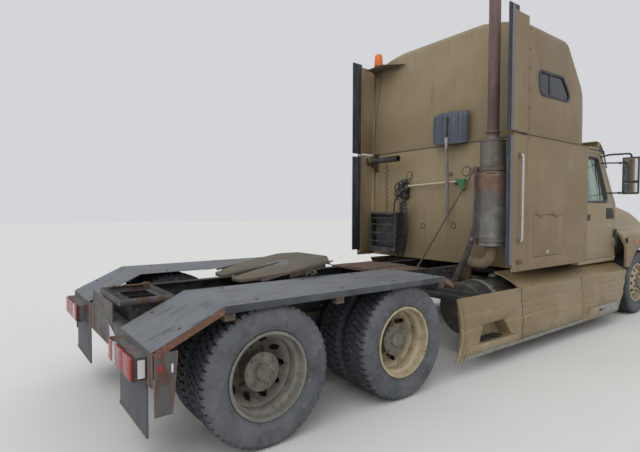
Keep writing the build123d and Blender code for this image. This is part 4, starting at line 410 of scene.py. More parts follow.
# Aluminised steel sheet of the silencer: dull warm grey with brown water marks.
SILENCER_SHEET = Finish(
    "aluminised_sheet", "#77726A", "#6A655E", 0.5, metallic=0.55, mottle_size=110.0, grain=3.0, relief=0.12,
    waves=0.8, wave_size=120.0,
    layers=(
        Layer("#5C4C3D", 90.0, 0.34, 0.1, 0.8, stretch=(1.0, 1.0, 5.0), strength=0.8),
        Layer("#8C8984", 160.0, 0.25, 0.15, 0.7, strength=0.6),
    ),
)
# Stainless tube, drawn and polished: bright with soft handling marks.
POLISHED_TUBE = Finish(
    "drawn_stainless_tube", "#CDCDCA", "#BDBCB8", 0.34,
    metallic=0.6, mottle_size=60.0, grain=1.5, relief=0.02,
    layers=(Layer("#8B8577", 50.0, 0.2, 0.1, 0.7, 0.3, strength=0.6),),
)
# Anodised clamp strip, gone dull lilac-grey.
DULL_STRIP = Finish(
    "anodised_strip_dull", "#77757A", "#69676C", 0.55,
    metallic=0.35, mottle_size=200.0, grain=2.0, relief=0.03,
    layers=(Layer("#8E8A84", 120.0, 0.3, 0.14, 0.8, stretch=(1.0, 1.0, 6.0), strength=0.5),),
)
# Mill-finish aluminium: tanks, the skirt's edge strip and tread plates.
MILL_ALUMINIUM = Finish(
    "mill_finish_aluminium", "#A8A9A8", "#96968F", 0.42, metallic=0.85, mottle_size=90.0, grain=1.2,
    grain_stretch=(14.0, 1.0, 1.0), relief=0.04,
    layers=(Layer("#7D776B", 110.0, 0.4, 0.15, 0.9, 0.1, strength=0.7),),
)
# Zinc-plated fasteners: pale dull grey with a start of white and brown rust.
ZINC_FASTENER = Finish(
    "zinc_plated_steel", "#85837D", "#6D675F", 0.5, metallic=0.7, mottle_size=20.0, grain=1.0, relief=0.05,
    layers=(Layer("#6B452D", 9.0, 0.35, 0.06, 0.95, 0.0),),
)
# Tyre rubber: charcoal carcass with pale road dust on the walls and in the grooves; the outer walls are made
# paler still, as painted light.
TYRE_RUBBER = Finish(
    "vulcanised_tyre_rubber", "#34363A", "#3D4044", 0.82, ior=1.52, mottle_size=70.0, grain=1.6, relief=0.12,
    layers=(
        Layer("#4C5157", 190.0, 0.5, 0.2, 0.95, strength=0.7),
        # Paler grey over the outer walls: road dust, and painted light that brightens the walls facing out.
        Layer("#6E7074", 260.0, 0.62, 0.3, 0.97, zone=Zone(Axis.ACROSS, 1.2, 1.12, True), strength=0.72),
        Layer("#7E7C74", 46.0, 0.2, 0.1, 0.98, strength=0.4),
        Layer("#303236", 90.0, 0.22, 0.14, 0.8, strength=0.5),
    ),
)
# Extruded rubber strip: blue-black, slightly shiny, scuffed grey.
STRIP_RUBBER = Finish(
    "extruded_rubber", "#272B32", "#30353F", 0.6, ior=1.52, mottle_size=120.0, grain=2.0, relief=0.08,
    layers=(Layer("#5A606B", 90.0, 0.3, 0.14, 0.9, stretch=(1.0, 1.0, 5.0), strength=0.6),),
)
# Moulded rubber of the mud flaps: grey with dried slush, browner towards the foot.
FLAP_RUBBER = Finish(
    "moulded_flap_rubber", "#4B4F55", "#575A5E", 0.75, ior=1.52, mottle_size=170.0, grain=2.0, relief=0.1,
    layers=(
        Layer("#6F6A62", 150.0, 0.5, 0.2, 0.95, zone=Zone(Axis.UP, 0.28, 0.62), strength=0.7),
        Layer("#3A3D42", 60.0, 0.2, 0.08, 0.7, stretch=(1.0, 1.0, 5.0), strength=0.7),
    ),
)
# Black moulded plastic: even grain, sun-bleached where it faces up.
MOULDED_BLACK = Finish(
    "moulded_black_plastic", "#1E1F21", "#292A2C", 0.5, ior=1.46, mottle_size=150.0, grain=1.4, relief=0.06,
    layers=(Layer("#6A665E", 150.0, 0.32, 0.16, 0.95, strength=0.5),),
)
# Cream disc-wheel enamel: chalky, with rust round the studs, the holes and the flange.
CREAM_WHEEL = Finish(
    "sprayed_wheel_enamel_cream", "#B8AB8C", "#A89B7C", 0.55, mottle_size=60.0, grain=2.5, relief=0.15,
    layers=(
        Layer("#8F836B", 90.0, 0.5, 0.14, 0.9, strength=0.6),
        Layer("#7A5138", 34.0, 0.17, 0.05, 0.95, raised=0.2),
        Layer("#4D3222", 14.0, 0.07, 0.04, 0.95),
    ),
)
# Grey disc-wheel enamel, dirtier: olive grey with more rust.
GREY_WHEEL = Finish(
    "sprayed_wheel_enamel_grey", "#76736C", "#66635B", 0.62, mottle_size=60.0, grain=2.5, relief=0.2,
    layers=(
        Layer("#8E897E", 100.0, 0.4, 0.14, 0.95, strength=0.6),
        Layer("#69503F", 36.0, 0.2, 0.06, 0.95, raised=0.2, strength=0.8),
    ),
)
# Cast hub and nuts under thick pale dust, oil-dark in the corners.
DUSTY_HUB = Finish(
    "sand_cast_hub_dusty", "#716C62", "#635E54", 0.85, mottle_size=70.0, grain=4.0, relief=0.4,
    layers=(
        Layer("#8B8678", 90.0, 0.4, 0.14, 0.95, strength=0.6),
        Layer("#37332E", 46.0, 0.22, 0.08, 0.6, strength=0.8)
    ),
)
# Weathered sawn softwood: grey-brown with open grain along the boards.
SAWN_BOARD = Finish(
    "sawn_softwood_weathered", "#6E5A44", "#8A745A", 0.85,
    mottle_size=300.0, grain=5.0, grain_stretch=(18.0, 1.0, 1.0),
    relief=0.9, layers=(Layer("#3D3024", 30.0, 0.3, 0.08, 0.9, stretch=(14.0, 1.0, 1.0)),),
)
# Black hose sheath: nylon, smooth, with dust on it.
HOSE_NYLON = Finish(
    "extruded_nylon_hose", "#13151A", "#1A1D24", 0.38, ior=1.53, mottle_size=40.0, grain=1.0, relief=0.02,
    layers=(Layer("#484A50", 60.0, 0.25, 0.12, 0.9, strength=0.5),),
)
# Oxide-red cable sheath, darkened by handling.
CABLE_SHEATH = Finish(
    "extruded_cable_sheath", "#2A1916", "#1F1413", 0.5, ior=1.5, mottle_size=50.0, grain=1.0, relief=0.02,
    layers=(Layer("#4B3D37", 30.0, 0.25, 0.1, 0.9, strength=0.5),),
)
# Heat shield over the silencer: the same sheet, smoother, with a scorched patch half-way up.
SHIELD_SHEET = Finish(
    "aluminised_shield_sheet", "#72706D", "#68655F", 0.46,
    metallic=0.45, mottle_size=160.0, grain=3.0, relief=0.1,
    waves=1.2, wave_size=180.0,
    layers=(
        Layer(
            "#80573B", 260.0, 0.62, 0.2, 0.8, stretch=(1.0, 1.0, 1.6),
            zone=Zone(Axis.UP, 1.85, 1.62), strength=0.85
        ),
        Layer("#5A5048", 60.0, 0.2, 0.1, 0.8, stretch=(1.0, 1.0, 8.0), strength=0.6),
        Layer("#938F88", 120.0, 0.3, 0.15, 0.75, strength=0.5),
    ),
)
# Mild steel elbow under the silencer: pale brown scale from heat and road salt.
ELBOW_TUBE = Finish(
    "scaled_mild_steel_tube", "#8F7D68", "#7C6A57", 0.75,
    metallic=0.1, mottle_size=110.0, grain=4.0, relief=0.35,
    layers=(
        Layer("#9B8A79", 80.0, 0.3, 0.12, 0.9, strength=0.7),
        Layer("#5C4231", 40.0, 0.22, 0.06, 0.95, raised=0.2)
    ),
)
# Brush-painted post: dark grey-brown over old rust.
LEG_PAINT = Finish(
    "brush_painted_post", "#37363A", "#454140", 0.6, mottle_size=120.0, grain=4.0, relief=0.25,
    layers=(Layer("#6E6557", 150.0, 0.4, 0.14, 0.9, strength=0.6), SHEET_RUST),
)
# Bent shelf of the beacon: olive-grey paint over steel sheet, dusty and rusty in spots.
SHELF_STEEL = Finish(
    "painted_sheet_olive", "#77705F", "#665F50", 0.6, mottle_size=150.0, grain=3.0, relief=0.12,
    layers=(Layer("#7A6F58", 160.0, 0.35, 0.14, 0.85, strength=0.6), SHEET_RUST),
)
# Black paint over steel sheet: the coupling box and plate, small screws and the cab's floor.
BOX_STEEL = Finish(
    "painted_sheet_black", "#26282B", "#313335", 0.55, mottle_size=120.0, grain=3.0, relief=0.12,
    layers=(Layer("#5C584F", 120.0, 0.35, 0.14, 0.9, strength=0.6), SHEET_RUST),
)
# Cast brass, dull yellow with brown in the hollows.
BRASS = Finish(
    "cast_brass", "#A68E5C", "#8E7A52", 0.42, metallic=0.9, mottle_size=30.0, grain=2.0, relief=0.15,
    layers=(Layer("#6A5A42", 24.0, 0.35, 0.1, 0.8, 0.3),),
)
# Die-cast coupling heads: dull grey alloy, grimy.
CAST_COUPLING = Finish(
    "die_cast_alloy", "#6B6A66", "#55524C", 0.55, metallic=0.6, mottle_size=30.0, grain=2.0, relief=0.2,
    layers=(Layer("#3A342D", 26.0, 0.4, 0.1, 0.85, 0.1),),
)
# Galvanised strip gone pale grey: the wall's strip, the shovel's socket, locks and dial faces.
PALE_STRIP = Finish(
    "galvanised_strip", "#B4B0A5", "#A39E92", 0.55, metallic=0.3, mottle_size=40.0, grain=2.0, relief=0.05,
    layers=(Layer("#857A68", 60.0, 0.3, 0.12, 0.9, strength=0.7),),
)
# Cream enamel on the pull rod, chipped.
ROD_PAINT = Finish(
    "enamelled_rod_cream", "#C2BB9E", "#B3AB8E", 0.45, mottle_size=60.0, grain=2.0, relief=0.04,
    layers=(Layer("#7B6A50", 14.0, 0.12, 0.05, 0.9),),
)
# Green moulded grip, faded.
GREEN_GRIP = Finish(
    "moulded_polypropylene_green", "#1F7A4A", "#18643C", 0.45,
    ior=1.49, mottle_size=60.0, grain=2.0, relief=0.05,
    layers=(Layer("#5E7B63", 40.0, 0.25, 0.12, 0.8, strength=0.5),),
)
# Polyurethane seam sealant: dark brown-grey bead.
SEAM_SEALANT = Finish(
    "gunned_seam_sealant", "#3D382F", "#4C463A", 0.7, mottle_size=80.0, grain=3.0, relief=0.1
)
# Shovel blade: injection-moulded polypropylene, blue-grey, scratched lighter.
SHOVEL_PLASTIC = Finish(
    "moulded_polypropylene_grey", "#464C58", "#505866", 0.42,
    ior=1.49, mottle_size=110.0, grain=2.0, relief=0.05,
    layers=(
        Layer("#767B84", 40.0, 0.2, 0.06, 0.7, stretch=(1.0, 1.0, 9.0), strength=0.6),
        Layer("#2F343E", 90.0, 0.95, 0.3, 0.6, zone=Zone(Axis.ACROSS, -0.484, -0.456), strength=0.85),
    ),
)
# Ash handle, turned and weathered grey, with brown streaks along the grain.
ASH_HANDLE = Finish(
    "turned_ash", "#8C8280", "#746866", 0.7, mottle_size=60.0,
    grain=2.5, grain_stretch=(1.0, 1.0, 20.0), relief=0.25,
    layers=(Layer("#4C4035", 30.0, 0.3, 0.1, 0.8, stretch=(1.0, 1.0, 10.0), strength=0.7),),
)
# Folded steel edge gone to scale: orange-brown flakes with islands of the old grey paint.
SCALED_EDGE = Finish(
    "folded_edge_scaled", "#765442", "#5F4436", 0.92, mottle_size=60.0, grain=3.0, relief=0.5,
    layers=(
        Layer("#6F706A", 70.0, 0.3, 0.06, 0.7, stretch=(3.0, 1.0, 1.0)),
        Layer("#8E674B", 18.0, 0.25, 0.06, 0.95, raised=0.3)
    ),
)
# Top plate of the coupling: cast steel under olive dust, worn darker where the trailer plate rubs.
COUPLING_TOP = Finish(
    "cast_plate_dusty", "#68604F", "#5C5445", 0.78, mottle_size=170.0, grain=3.0, relief=0.4,
    layers=(
        Layer("#4A4439", 240.0, 0.4, 0.16, 0.6, stretch=(2.0, 1.0, 1.0), strength=0.8),
        Layer("#7A5238", 40.0, 0.12, 0.05, 0.95, raised=0.2),
    ),
)
# Old lithium grease pressed out round the kingpin seat: black, wet, with grit in it.
GREASE = Finish(
    "lithium_grease_spread", "#17150F", "#241F16", 0.28, ior=1.47, mottle_size=40.0, grain=6.0, relief=0.8
)
# Sheet tank under years of oil and salt: nearly black, the metal only at the straps.
SOILED_TANK = Finish(
    "soiled_aluminium_tank", "#3B3A37", "#4C4A45", 0.7,
    metallic=0.3, mottle_size=160.0, grain=3.0, relief=0.12,
    layers=(Layer("#6B655A", 200.0, 0.3, 0.14, 0.9, strength=0.6), Layer("#1F1E1C", 130.0, 0.3, 0.12, 0.5)),
)
# Brown sawn boards of the deck: broad grain with darker streaks along it.
DECK_BOARD = Finish(
    "sawn_larch_deck_board", "#5B4739", "#6D5A4A", 0.85,
    mottle_size=260.0, grain=5.0, grain_stretch=(18.0, 1.0, 1.0),
    relief=0.9, layers=(Layer("#41332A", 30.0, 0.3, 0.08, 0.9, stretch=(14.0, 1.0, 1.0)),),
)
# White plate enamel, blank, scuffed by slush.
PLATE_ENAMEL = Finish(
    "rolled_plate_enamel_white", "#C9CBCB", "#B9BBBA", 0.4, mottle_size=80.0, grain=2.0, relief=0.03,
    layers=(Layer("#8A857A", 60.0, 0.35, 0.14, 0.9, strength=0.7),),
)
# Blue end of the blank plate, same enamel.
BLUE_ENAMEL = Finish(
    "rolled_plate_enamel_blue", "#2C3F78", "#263560", 0.42, mottle_size=60.0, grain=2.0, relief=0.03
)
# Prismatic sheet of the small reflectors: white, slightly sparkling.
PALE_REFLECTOR = Finish(
    "prismatic_sheet_white", "#D5D6D4", "#C4C6C6", 0.25, mottle_size=9.0, grain=4.0, relief=0.3
)
# Prismatic sheet of the red reflectors.
RED_REFLECTOR = Finish(
    "prismatic_sheet_red", "#93302A", "#7A2420", 0.28, mottle_size=9.0, grain=4.0, relief=0.3
)
# Brown-red marker glass set in the extender, dull with age.
BROWN_MARKER = Finish(
    "moulded_marker_brown", "#6E3B2A", "#5A3024", 0.35, ior=1.49, mottle_size=12.0, grain=4.0, relief=0.3
)
# Silvered glass of the door mirrors and bowls of the lamps.
SILVERED = Finish(
    "silvered_glass", "#DADCDD", "#D2D5D7", 0.04, metallic=1.0, mottle_size=200.0, grain=50.0, relief=0.0
)
# Woven seat cover: charcoal yarn over foam, fuzzy in the light.
SEAT_CLOTH = Finish(
    "woven_seat_cloth", "#33363B", "#3E4147", 0.95, ior=1.46, mottle_size=60.0, grain=1.4, relief=0.35,
    layers=(Layer("#55565A", 90.0, 0.35, 0.14, 0.98, strength=0.5),),
)
# Quilted ticking of the mattress: pale grey, slept on.
TICKING = Finish(
    "quilted_ticking", "#8E8C86", "#7C7A75", 0.95, ior=1.46, mottle_size=160.0, grain=1.6, relief=0.35
)
# Smoked bunk window: tinted float glass, dark blue-grey and letting little light through, so that the shade
# of the unlit berth is painted into the pane.
SMOKED_SHADED_GLASS = Clear("float_glass_smoked_shaded", "#2B3036", 0.05, 0.35)
# Door and screen glass: float glass with a green tint, and the film of dust that dries on it.
CAB_GLASS = Clear("float_glass_green", "#C6D6CC", 0.05, 0.94)
# Clear polycarbonate of the headlamps, fog lamps and white tail lamp sections, moulded with ribs.
CLEAR_LENS = Clear("moulded_polycarbonate_clear", "#E6E8E8", 0.06, 0.85, 1.58, 12.0)
# Red acrylic of the tail lamps, ribbed, letting about a third of the light through.
RED_LENS = Clear("moulded_acrylic_red", "#9C1712", 0.12, 0.35, 1.49, 10.0)
# Amber acrylic of the beacon, the roof lamps, the indicators and the side markers, ribbed.
AMBER_LENS = Clear("moulded_acrylic_amber", "#F27C26", 0.12, 0.3, 1.49, 9.0)


class Form:
    """Faces of one piece, gathered in millimetres in the vehicle's frame."""

    def __init__(self) -> None:
        """Starts with no faces."""
        self.mesh = bmesh.new()

    def skin(self, rows: list[list[Point]], round_rows: bool = False, round_points: bool = False) -> "Form":
        """Stretches quads over rows of points.

        Args:
            rows: Rows with the same number of points.
            round_rows: Whether the last row joins the first.
            round_points: Whether each row's last point joins its first.

        Returns:
            The form itself, so that calls follow one another.
        """
        grid = [[self.mesh.verts.new(p) for p in row] for row in rows]
        pairs = list(zip(grid, grid[1:])) + ([(grid[-1], grid[0])] if round_rows else [])
        for one, two in pairs:
            across = list(zip(one, two))
            steps = list(zip(across, across[1:])) + ([(across[-1], across[0])] if round_points else [])
            for (a, b), (c, d) in steps:
                self.mesh.faces.new((a, c, d, b))
        return self

    def cap(self, points: list[Point]) -> "Form":
        """Closes a loop of points with one face."""
        self.mesh.faces.new([self.mesh.verts.new(p) for p in points])
        return self

    def bar(self, low: Point, high: Point, turn: Matrix | None = None) -> "Form":
        """Adds a block between two corners, turned about its middle if a matrix is given."""
        middle = (Vector(low) + Vector(high)) / 2
        size = Vector(high) - Vector(low)
        place = Matrix.Translation(middle) @ (
            turn.to_4x4() if turn else Matrix()
        ) @ Matrix.Diagonal((*size, 1.0))
        bmesh.ops.create_cube(self.mesh, size=1.0, matrix=place)
        return self

    def turned(
        self, profile: list[Pair], origin: Point, axis: Point, steps: int = 48, closed: bool = False
    ) -> "Form":
        """Turns a profile about an axis.

        Args:
            profile: Radius and distance along the axis of each point.
            origin: Point on the axis that the distances start from.
            axis: Direction of the axis.
            steps: Number of facets round.
            closed: Whether the profile is a loop, as of a ring.

        Returns:
            The form itself.
        """
        way = Vector(axis).normalized()
        side = way.orthogonal().normalized()
        other = way.cross(side)
        rows = []
        for step in range(steps):
            angle = 2 * math.pi * step / steps
            out = side * math.cos(angle) + other * math.sin(angle)
            rows.append([tuple(Vector(origin) + out * max(r, 0.01) + way * h) for r, h in profile])
        return self.skin(rows, round_rows=True, round_points=closed)

    def tube(self, route: list[Point], radius: float | list[float], sides: int = 12) -> "Form":
        """Adds a round bar through points, with closed ends.

        Args:
            route: Points along the middle.
            radius: One radius, or one for each point.
            sides: Number of facets round.

        Returns:
            The form itself.
        """
        points = [Vector(p) for p in route]
        radii = radius if isinstance(radius, list) else [radius] * len(points)
        side = (points[1] - points[0]).orthogonal().normalized()
        rows = []
        for number, point in enumerate(points):
            ahead = points[min(number + 1, len(points) - 1)] - points[max(number - 1, 0)]
            ahead.normalize()
            side = (side - ahead * side.dot(ahead)).normalized()
            other = ahead.cross(side)
            angles = [2 * math.pi * k / sides for k in range(sides)]
            rows.append(
                [tuple(point + (side * math.cos(a) + other * math.sin(a)) * radii[number]) for a in angles]
            )
        return self.skin(rows, round_points=True).cap(rows[0]).cap(rows[-1])

    def plate(self, outlines: list[list[Pair]], place: Matrix, thick: float, edge: float = 0.0) -> "Form":
        """Adds a flat plate with holes.

        Args:
            outlines: The outer loop and then the holes, in the plate's own X and Y.
            place: Where the plate's middle plane lies.
            thick: Thickness of the plate.
            edge: Rounding of its edges, in millimetres.

        Returns:
            The form itself.
        """
        curve = bpy.data.curves.new("outline", "CURVE")
        curve.dimensions = "2D"
        curve.fill_mode = "BOTH"
        curve.extrude = max(thick / 2 - edge, 0.0)
        curve.bevel_depth = edge
        curve.bevel_resolution = 1
        curve.offset = -edge
        for loop in outlines:
            spline = curve.splines.new("POLY")
            spline.points.add(len(loop) - 1)
            for point, (x, y) in zip(spline.points, loop):
                point.co = (x, y, 0.0, 1.0)
            spline.use_cyclic_u = True
        holder = bpy.data.objects.new("outline", curve)
        bpy.context.scene.collection.objects.link(holder)
        bpy.context.view_layer.update()
        flat = bpy.data.meshes.new_from_object(holder)
        flat.transform(place)
        self.mesh.from_mesh(flat)
        bpy.data.objects.remove(holder)
        bpy.data.meshes.remove(flat)
        return self

    def cut(self, tool: "Form") -> "Form":
        """Takes the volume of another closed form out of this one."""
        holders = []
        for form in (self, tool):
            bmesh.ops.remove_doubles(form.mesh, verts=form.mesh.verts, dist=0.02)
            bmesh.ops.recalc_face_normals(form.mesh, faces=form.mesh.faces)
            data = bpy.data.meshes.new("cut")
            form.mesh.to_mesh(data)
            holders.append(bpy.data.objects.new("cut", data))
            bpy.context.scene.collection.objects.link(holders[-1])
        solid, blade = holders
        difference = solid.modifiers.new("cut", "BOOLEAN")
        difference.object = blade
        difference.solver = "EXACT"
        graph = bpy.context.evaluated_depsgraph_get()
        result = bpy.data.meshes.new_from_object(solid.evaluated_get(graph))
        self.mesh.clear()
        self.mesh.from_mesh(result)
        for holder in holders:
            bpy.data.objects.remove(holder)
        bpy.data.meshes.remove(result)
        tool.mesh.free()
        return self

    def bolts(self, places: list[Point], way: Point, radius: float, height: float, sides: int = 6) -> "Form":
        """Adds fastener heads with a domed top, standing along one direction."""
        for place in places:
            profile = [(radius, 0.0), (radius, height * 0.7), (radius * 0.7, height), (0.0, height)]
            self.turned(profile, place, way, sides)
        return self

    def shaped(self, rule: Callable[[Vector], Point]) -> "Form":
        """Moves every point to where a rule puts it."""
        for vert in self.mesh.verts:
            vert.co = rule(vert.co)
        return self

    def mirrored(self) -> "Form":
        """Adds the same faces on the vehicle's other side."""
        made = bmesh.ops.duplicate(self.mesh, geom=[*self.mesh.verts, *self.mesh.faces])["geom"]
        for vert in (v for v in made if isinstance(v, bmesh.types.BMVert)):
            vert.co.y = -vert.co.y
        bmesh.ops.reverse_faces(self.mesh, faces=[f for f in made if isinstance(f, bmesh.types.BMFace)])
        return self

    def piece(
        self, name: str, finish: Finish | Clear, body: str,
        slot: str, round_by: float = 0.0, smooth: float = 35.0,
        replaces: tuple[str, ...] = (),
    ) -> bpy.types.Object:
        """Makes the object and hands it to the frame.

        Args:
            name: Name of the piece.
            finish: What it is made of.
            body: CAD body that it rides on.
            slot: Material slot of the record that it belongs to; not used.
            round_by: Width of the bevel on its sharp edges, in millimetres.
            smooth: Angle up to which neighbouring faces shade as one, in degrees.
            replaces: CAD nodes that it stands for.

        Returns:
            The new object.
        """
        bmesh.ops.remove_doubles(self.mesh, verts=self.mesh.verts, dist=0.02)
        bmesh.ops.recalc_face_normals(self.mesh, faces=self.mesh.faces)
        bmesh.ops.scale(self.mesh, vec=(MM, MM, MM), verts=self.mesh.verts)
        data = bpy.data.meshes.new(name)
        self.mesh.to_mesh(data)
        self.mesh.free()
        data.materials.append(finish.material())
        data.shade_smooth()
        data.set_sharp_from_angle(angle=math.radians(smooth))
        made = bpy.data.objects.new(name, data)
        bpy.context.scene.collection.objects.link(made)
        if round_by:
            soften(made, round_by)
        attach(made, body)
        if replaces:
            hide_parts(*replaces)
        log.info("%s: %d faces on %s", name, len(data.polygons), body)
        return made


def soften(target: bpy.types.Object, width: float, segments: int = 2) -> None:
    """Rounds an object's sharp edges with a bevel, so that they catch the light.

    Args:
        target: The object.
        width: Width of the bevel in millimetres.
        segments: Number of facets across it.
    """
    bevel = target.modifiers.new("edges", "BEVEL")
    bevel.width = width * MM
    bevel.segments = segments
    bevel.limit_method = "ANGLE"
    bevel.angle_limit = math.radians(38)
    bevel.harden_normals = True


def circle(radius: float, middle: Pair = (0.0, 0.0), steps: int = 24) -> list[Pair]:
    """Points round a circle."""
    turns = [2 * math.pi * k / steps for k in range(steps)]
    return [(middle[0] + radius * math.cos(a), middle[1] + radius * math.sin(a)) for a in turns]


def rounded(corners: list[Pair], radius: float | list[float], steps: int = 6) -> list[Pair]:
    """Rounds the corners of a closed loop.

    Args:
        corners: The loop's corners.
        radius: One radius, or one for each corner.
        steps: Number of runs in each arc.

    Returns:
        The points of the rounded loop.
    """
    radii = radius if isinstance(radius, list) else [radius] * len(corners)
    loop = []
    for number, corner in enumerate(corners):
        here = Vector(corner)
        back = (Vector(corners[number - 1]) - here).normalized()
        ahead = (Vector(corners[(number + 1) % len(corners)]) - here).normalized()
        half = back.angle(ahead) / 2
        if radii[number] <= 0 or half > 1.55:
            loop.append(tuple(here))
            continue
        middle = here + (back + ahead).normalized() * radii[number] / math.sin(half)
        start = here + back * radii[number] / math.tan(half) - middle
        sweep = (math.pi - 2 * half) * (1 if back.cross(ahead) < 0 else -1)
        for step in range(steps + 1):
            angle = sweep * step / steps
            turned = (
                start.x * math.cos(angle) - start.y * math.sin(angle),
                start.x * math.sin(angle) + start.y * math.cos(angle),
            )
            loop.append((middle.x + turned[0], middle.y + turned[1]))
    return loop


def arc_route(corners: list[Point], radius: float, steps: int = 8) -> list[Point]:
    """Rounds the inner corners of an open line of pipe.

    Args:
        corners: The line's points.
        radius: Radius of each bend.
        steps: Number of runs in each bend.

    Returns:
        The points of the bent line.
    """
    line = [corners[0]]
    for before, here, after in zip(corners, corners[1:], corners[2:]):
        at = Vector(here)
        back = (Vector(before) - at).normalized()
        ahead = (Vector(after) - at).normalized()
        half = back.angle(ahead) / 2
        middle = at + (back + ahead).normalized() * radius / math.sin(half)
        start = at + back * radius / math.tan(half) - middle
        end = at + ahead * radius / math.tan(half) - middle
        for step in range(steps + 1):
            line.append(tuple(middle + start.slerp(end, step / steps).normalized() * radius))
    return [*line, corners[-1]]


def side_place(y: float) -> Matrix:
    """Plane of the vehicle's side: the plate's X runs forward and its Y runs up."""
    return Matrix(((1, 0, 0, 0), (0, 0, -1, y), (0, 1, 0, 0), (0, 0, 0, 1)))


def cross_place(x: float) -> Matrix:
    """Plane across the vehicle: the plate's X runs to the left and its Y runs up."""
    return Matrix(((0, 0, 1, x), (1, 0, 0, 0), (0, 1, 0, 0), (0, 0, 0, 1)))


def flat_place(z: float) -> Matrix:
    """Level plane: the plate's X runs forward and its Y to the left."""
    return Matrix.Translation((0.0, 0.0, z))


@dataclass
class Viewpoint:
    """Camera where the photograph was taken, in metres, degrees and pixels of its 640 wide frame."""

    place: Point = (-5.066, -3.771, 1.594)
    yaw: float = 37.226
    pitch: float = -1.89
    roll: float = 0.18
    focal: float = 451.0
    width: float = 640.0
    sensor: float = 36.0

    def build(self) -> None:
        """Adds the camera and makes it the scene's own."""
        yaw, pitch, roll = (math.radians(a) for a in (self.yaw, self.pitch, self.roll))
        ahead = Vector((math.sin(yaw) * math.cos(pitch), math.cos(yaw) * math.cos(pitch), math.sin(pitch)))
        level = Vector((math.cos(yaw), -math.sin(yaw), 0.0))
        up = level.cross(ahead)
        right = level * math.cos(roll) + up * math.sin(roll)
        upright = up * math.cos(roll) - level * math.sin(roll)
        lens = bpy.data.cameras.new("viewpoint")
        lens.sensor_width = self.sensor
        lens.lens = self.focal / self.width * self.sensor
        lens.clip_end = 400.0
        camera = bpy.data.objects.new("viewpoint", lens)
        columns = (right, upright, -ahead, Vector(self.place))
        camera.matrix_world = Matrix([[*(c[k] for c in columns)] for k in range(3)] + [[0, 0, 0, 1]])
        bpy.context.scene.collection.objects.link(camera)
        bpy.context.scene.camera = camera


@dataclass
class Studio:
    """Pale floor, even sky and one broad lamp from above and behind the camera."""

    floor: str = "#DAD8D4"
    backdrop: str = "#D3D5D8"
    sky_level: float = 0.9
    sun_level: float = 0.95
    sun_spread: float = 50.0

    def build(self) -> None:
        """Adds the floor, the world and the lamp."""
        scene = bpy.context.scene
        scene.view_settings.view_transform = "Standard"
        ground = Form().bar((-60000, -60000, -40), (60000, 60000, 0))
        data = bpy.data.meshes.new("floor")
        bmesh.ops.scale(ground.mesh, vec=(MM, MM, MM), verts=ground.mesh.verts)
        ground.mesh.to_mesh(data)
        ground.mesh.free()
        material = bpy.data.materials.new("studio_floor")
        material.use_nodes = True
        tree = material.node_tree
        tree.nodes.clear()
        place = add_node(tree, "ShaderNodeTexCoord").outputs["Object"]
        cloud = add_node(tree, "ShaderNodeTexNoise", {0: place, "Scale": 0.6, "Detail": 3.0}).outputs[0]
        tone = add_node(
            tree, "ShaderNodeMix", {0: cloud, 6: linear(self.floor), 7: linear("#D2D0CB")}, data_type="RGBA"
        ).outputs[2]
        shader = add_node(tree, "ShaderNodeBsdfPrincipled", {"Base Color": tone, "Roughness": 0.9})
        add_node(tree, "ShaderNodeOutputMaterial", {0: shader.outputs[0]})
        data.materials.append(material)
        floor = bpy.data.objects.new("floor", data)
        scene.collection.objects.link(floor)

        world = bpy.data.worlds.new("overcast")
        scene.world = world
        world.use_nodes = True
        tree = world.node_tree
        tree.nodes.clear()
        path = add_node(tree, "ShaderNodeLightPath")
        seen = add_node(
            tree, "ShaderNodeMath", {0: path.outputs["Is Camera Ray"], 1: path.outputs["Is Glossy Ray"]},
            operation="MAXIMUM",
        ).outputs[0]
        seen = add_node(
            tree, "ShaderNodeMath", {0: seen, 1: path.outputs["Is Transmission Ray"]}, operation="MAXIMUM"
        ).outputs[0]
        lit = add_node(tree, "ShaderNodeBackground", {0: linear("#F4F7FB"), 1: self.sky_level})
        shown = add_node(tree, "ShaderNodeBackground", {0: linear(self.backdrop), 1: 1.0})
        both = add_node(tree, "ShaderNodeMixShader", {0: seen, 1: lit.outputs[0], 2: shown.outputs[0]})
        add_node(tree, "ShaderNodeOutputWorld", {0: both.outputs[0]})

        lamp = bpy.data.lights.new("overcast_sun", "SUN")
        lamp.energy = self.sun_level
        lamp.angle = math.radians(self.sun_spread)
        sun = bpy.data.objects.new("overcast_sun", lamp)
        sun.rotation_euler = (math.radians(24), math.radians(-36), math.radians(-8))
        scene.collection.objects.link(sun)


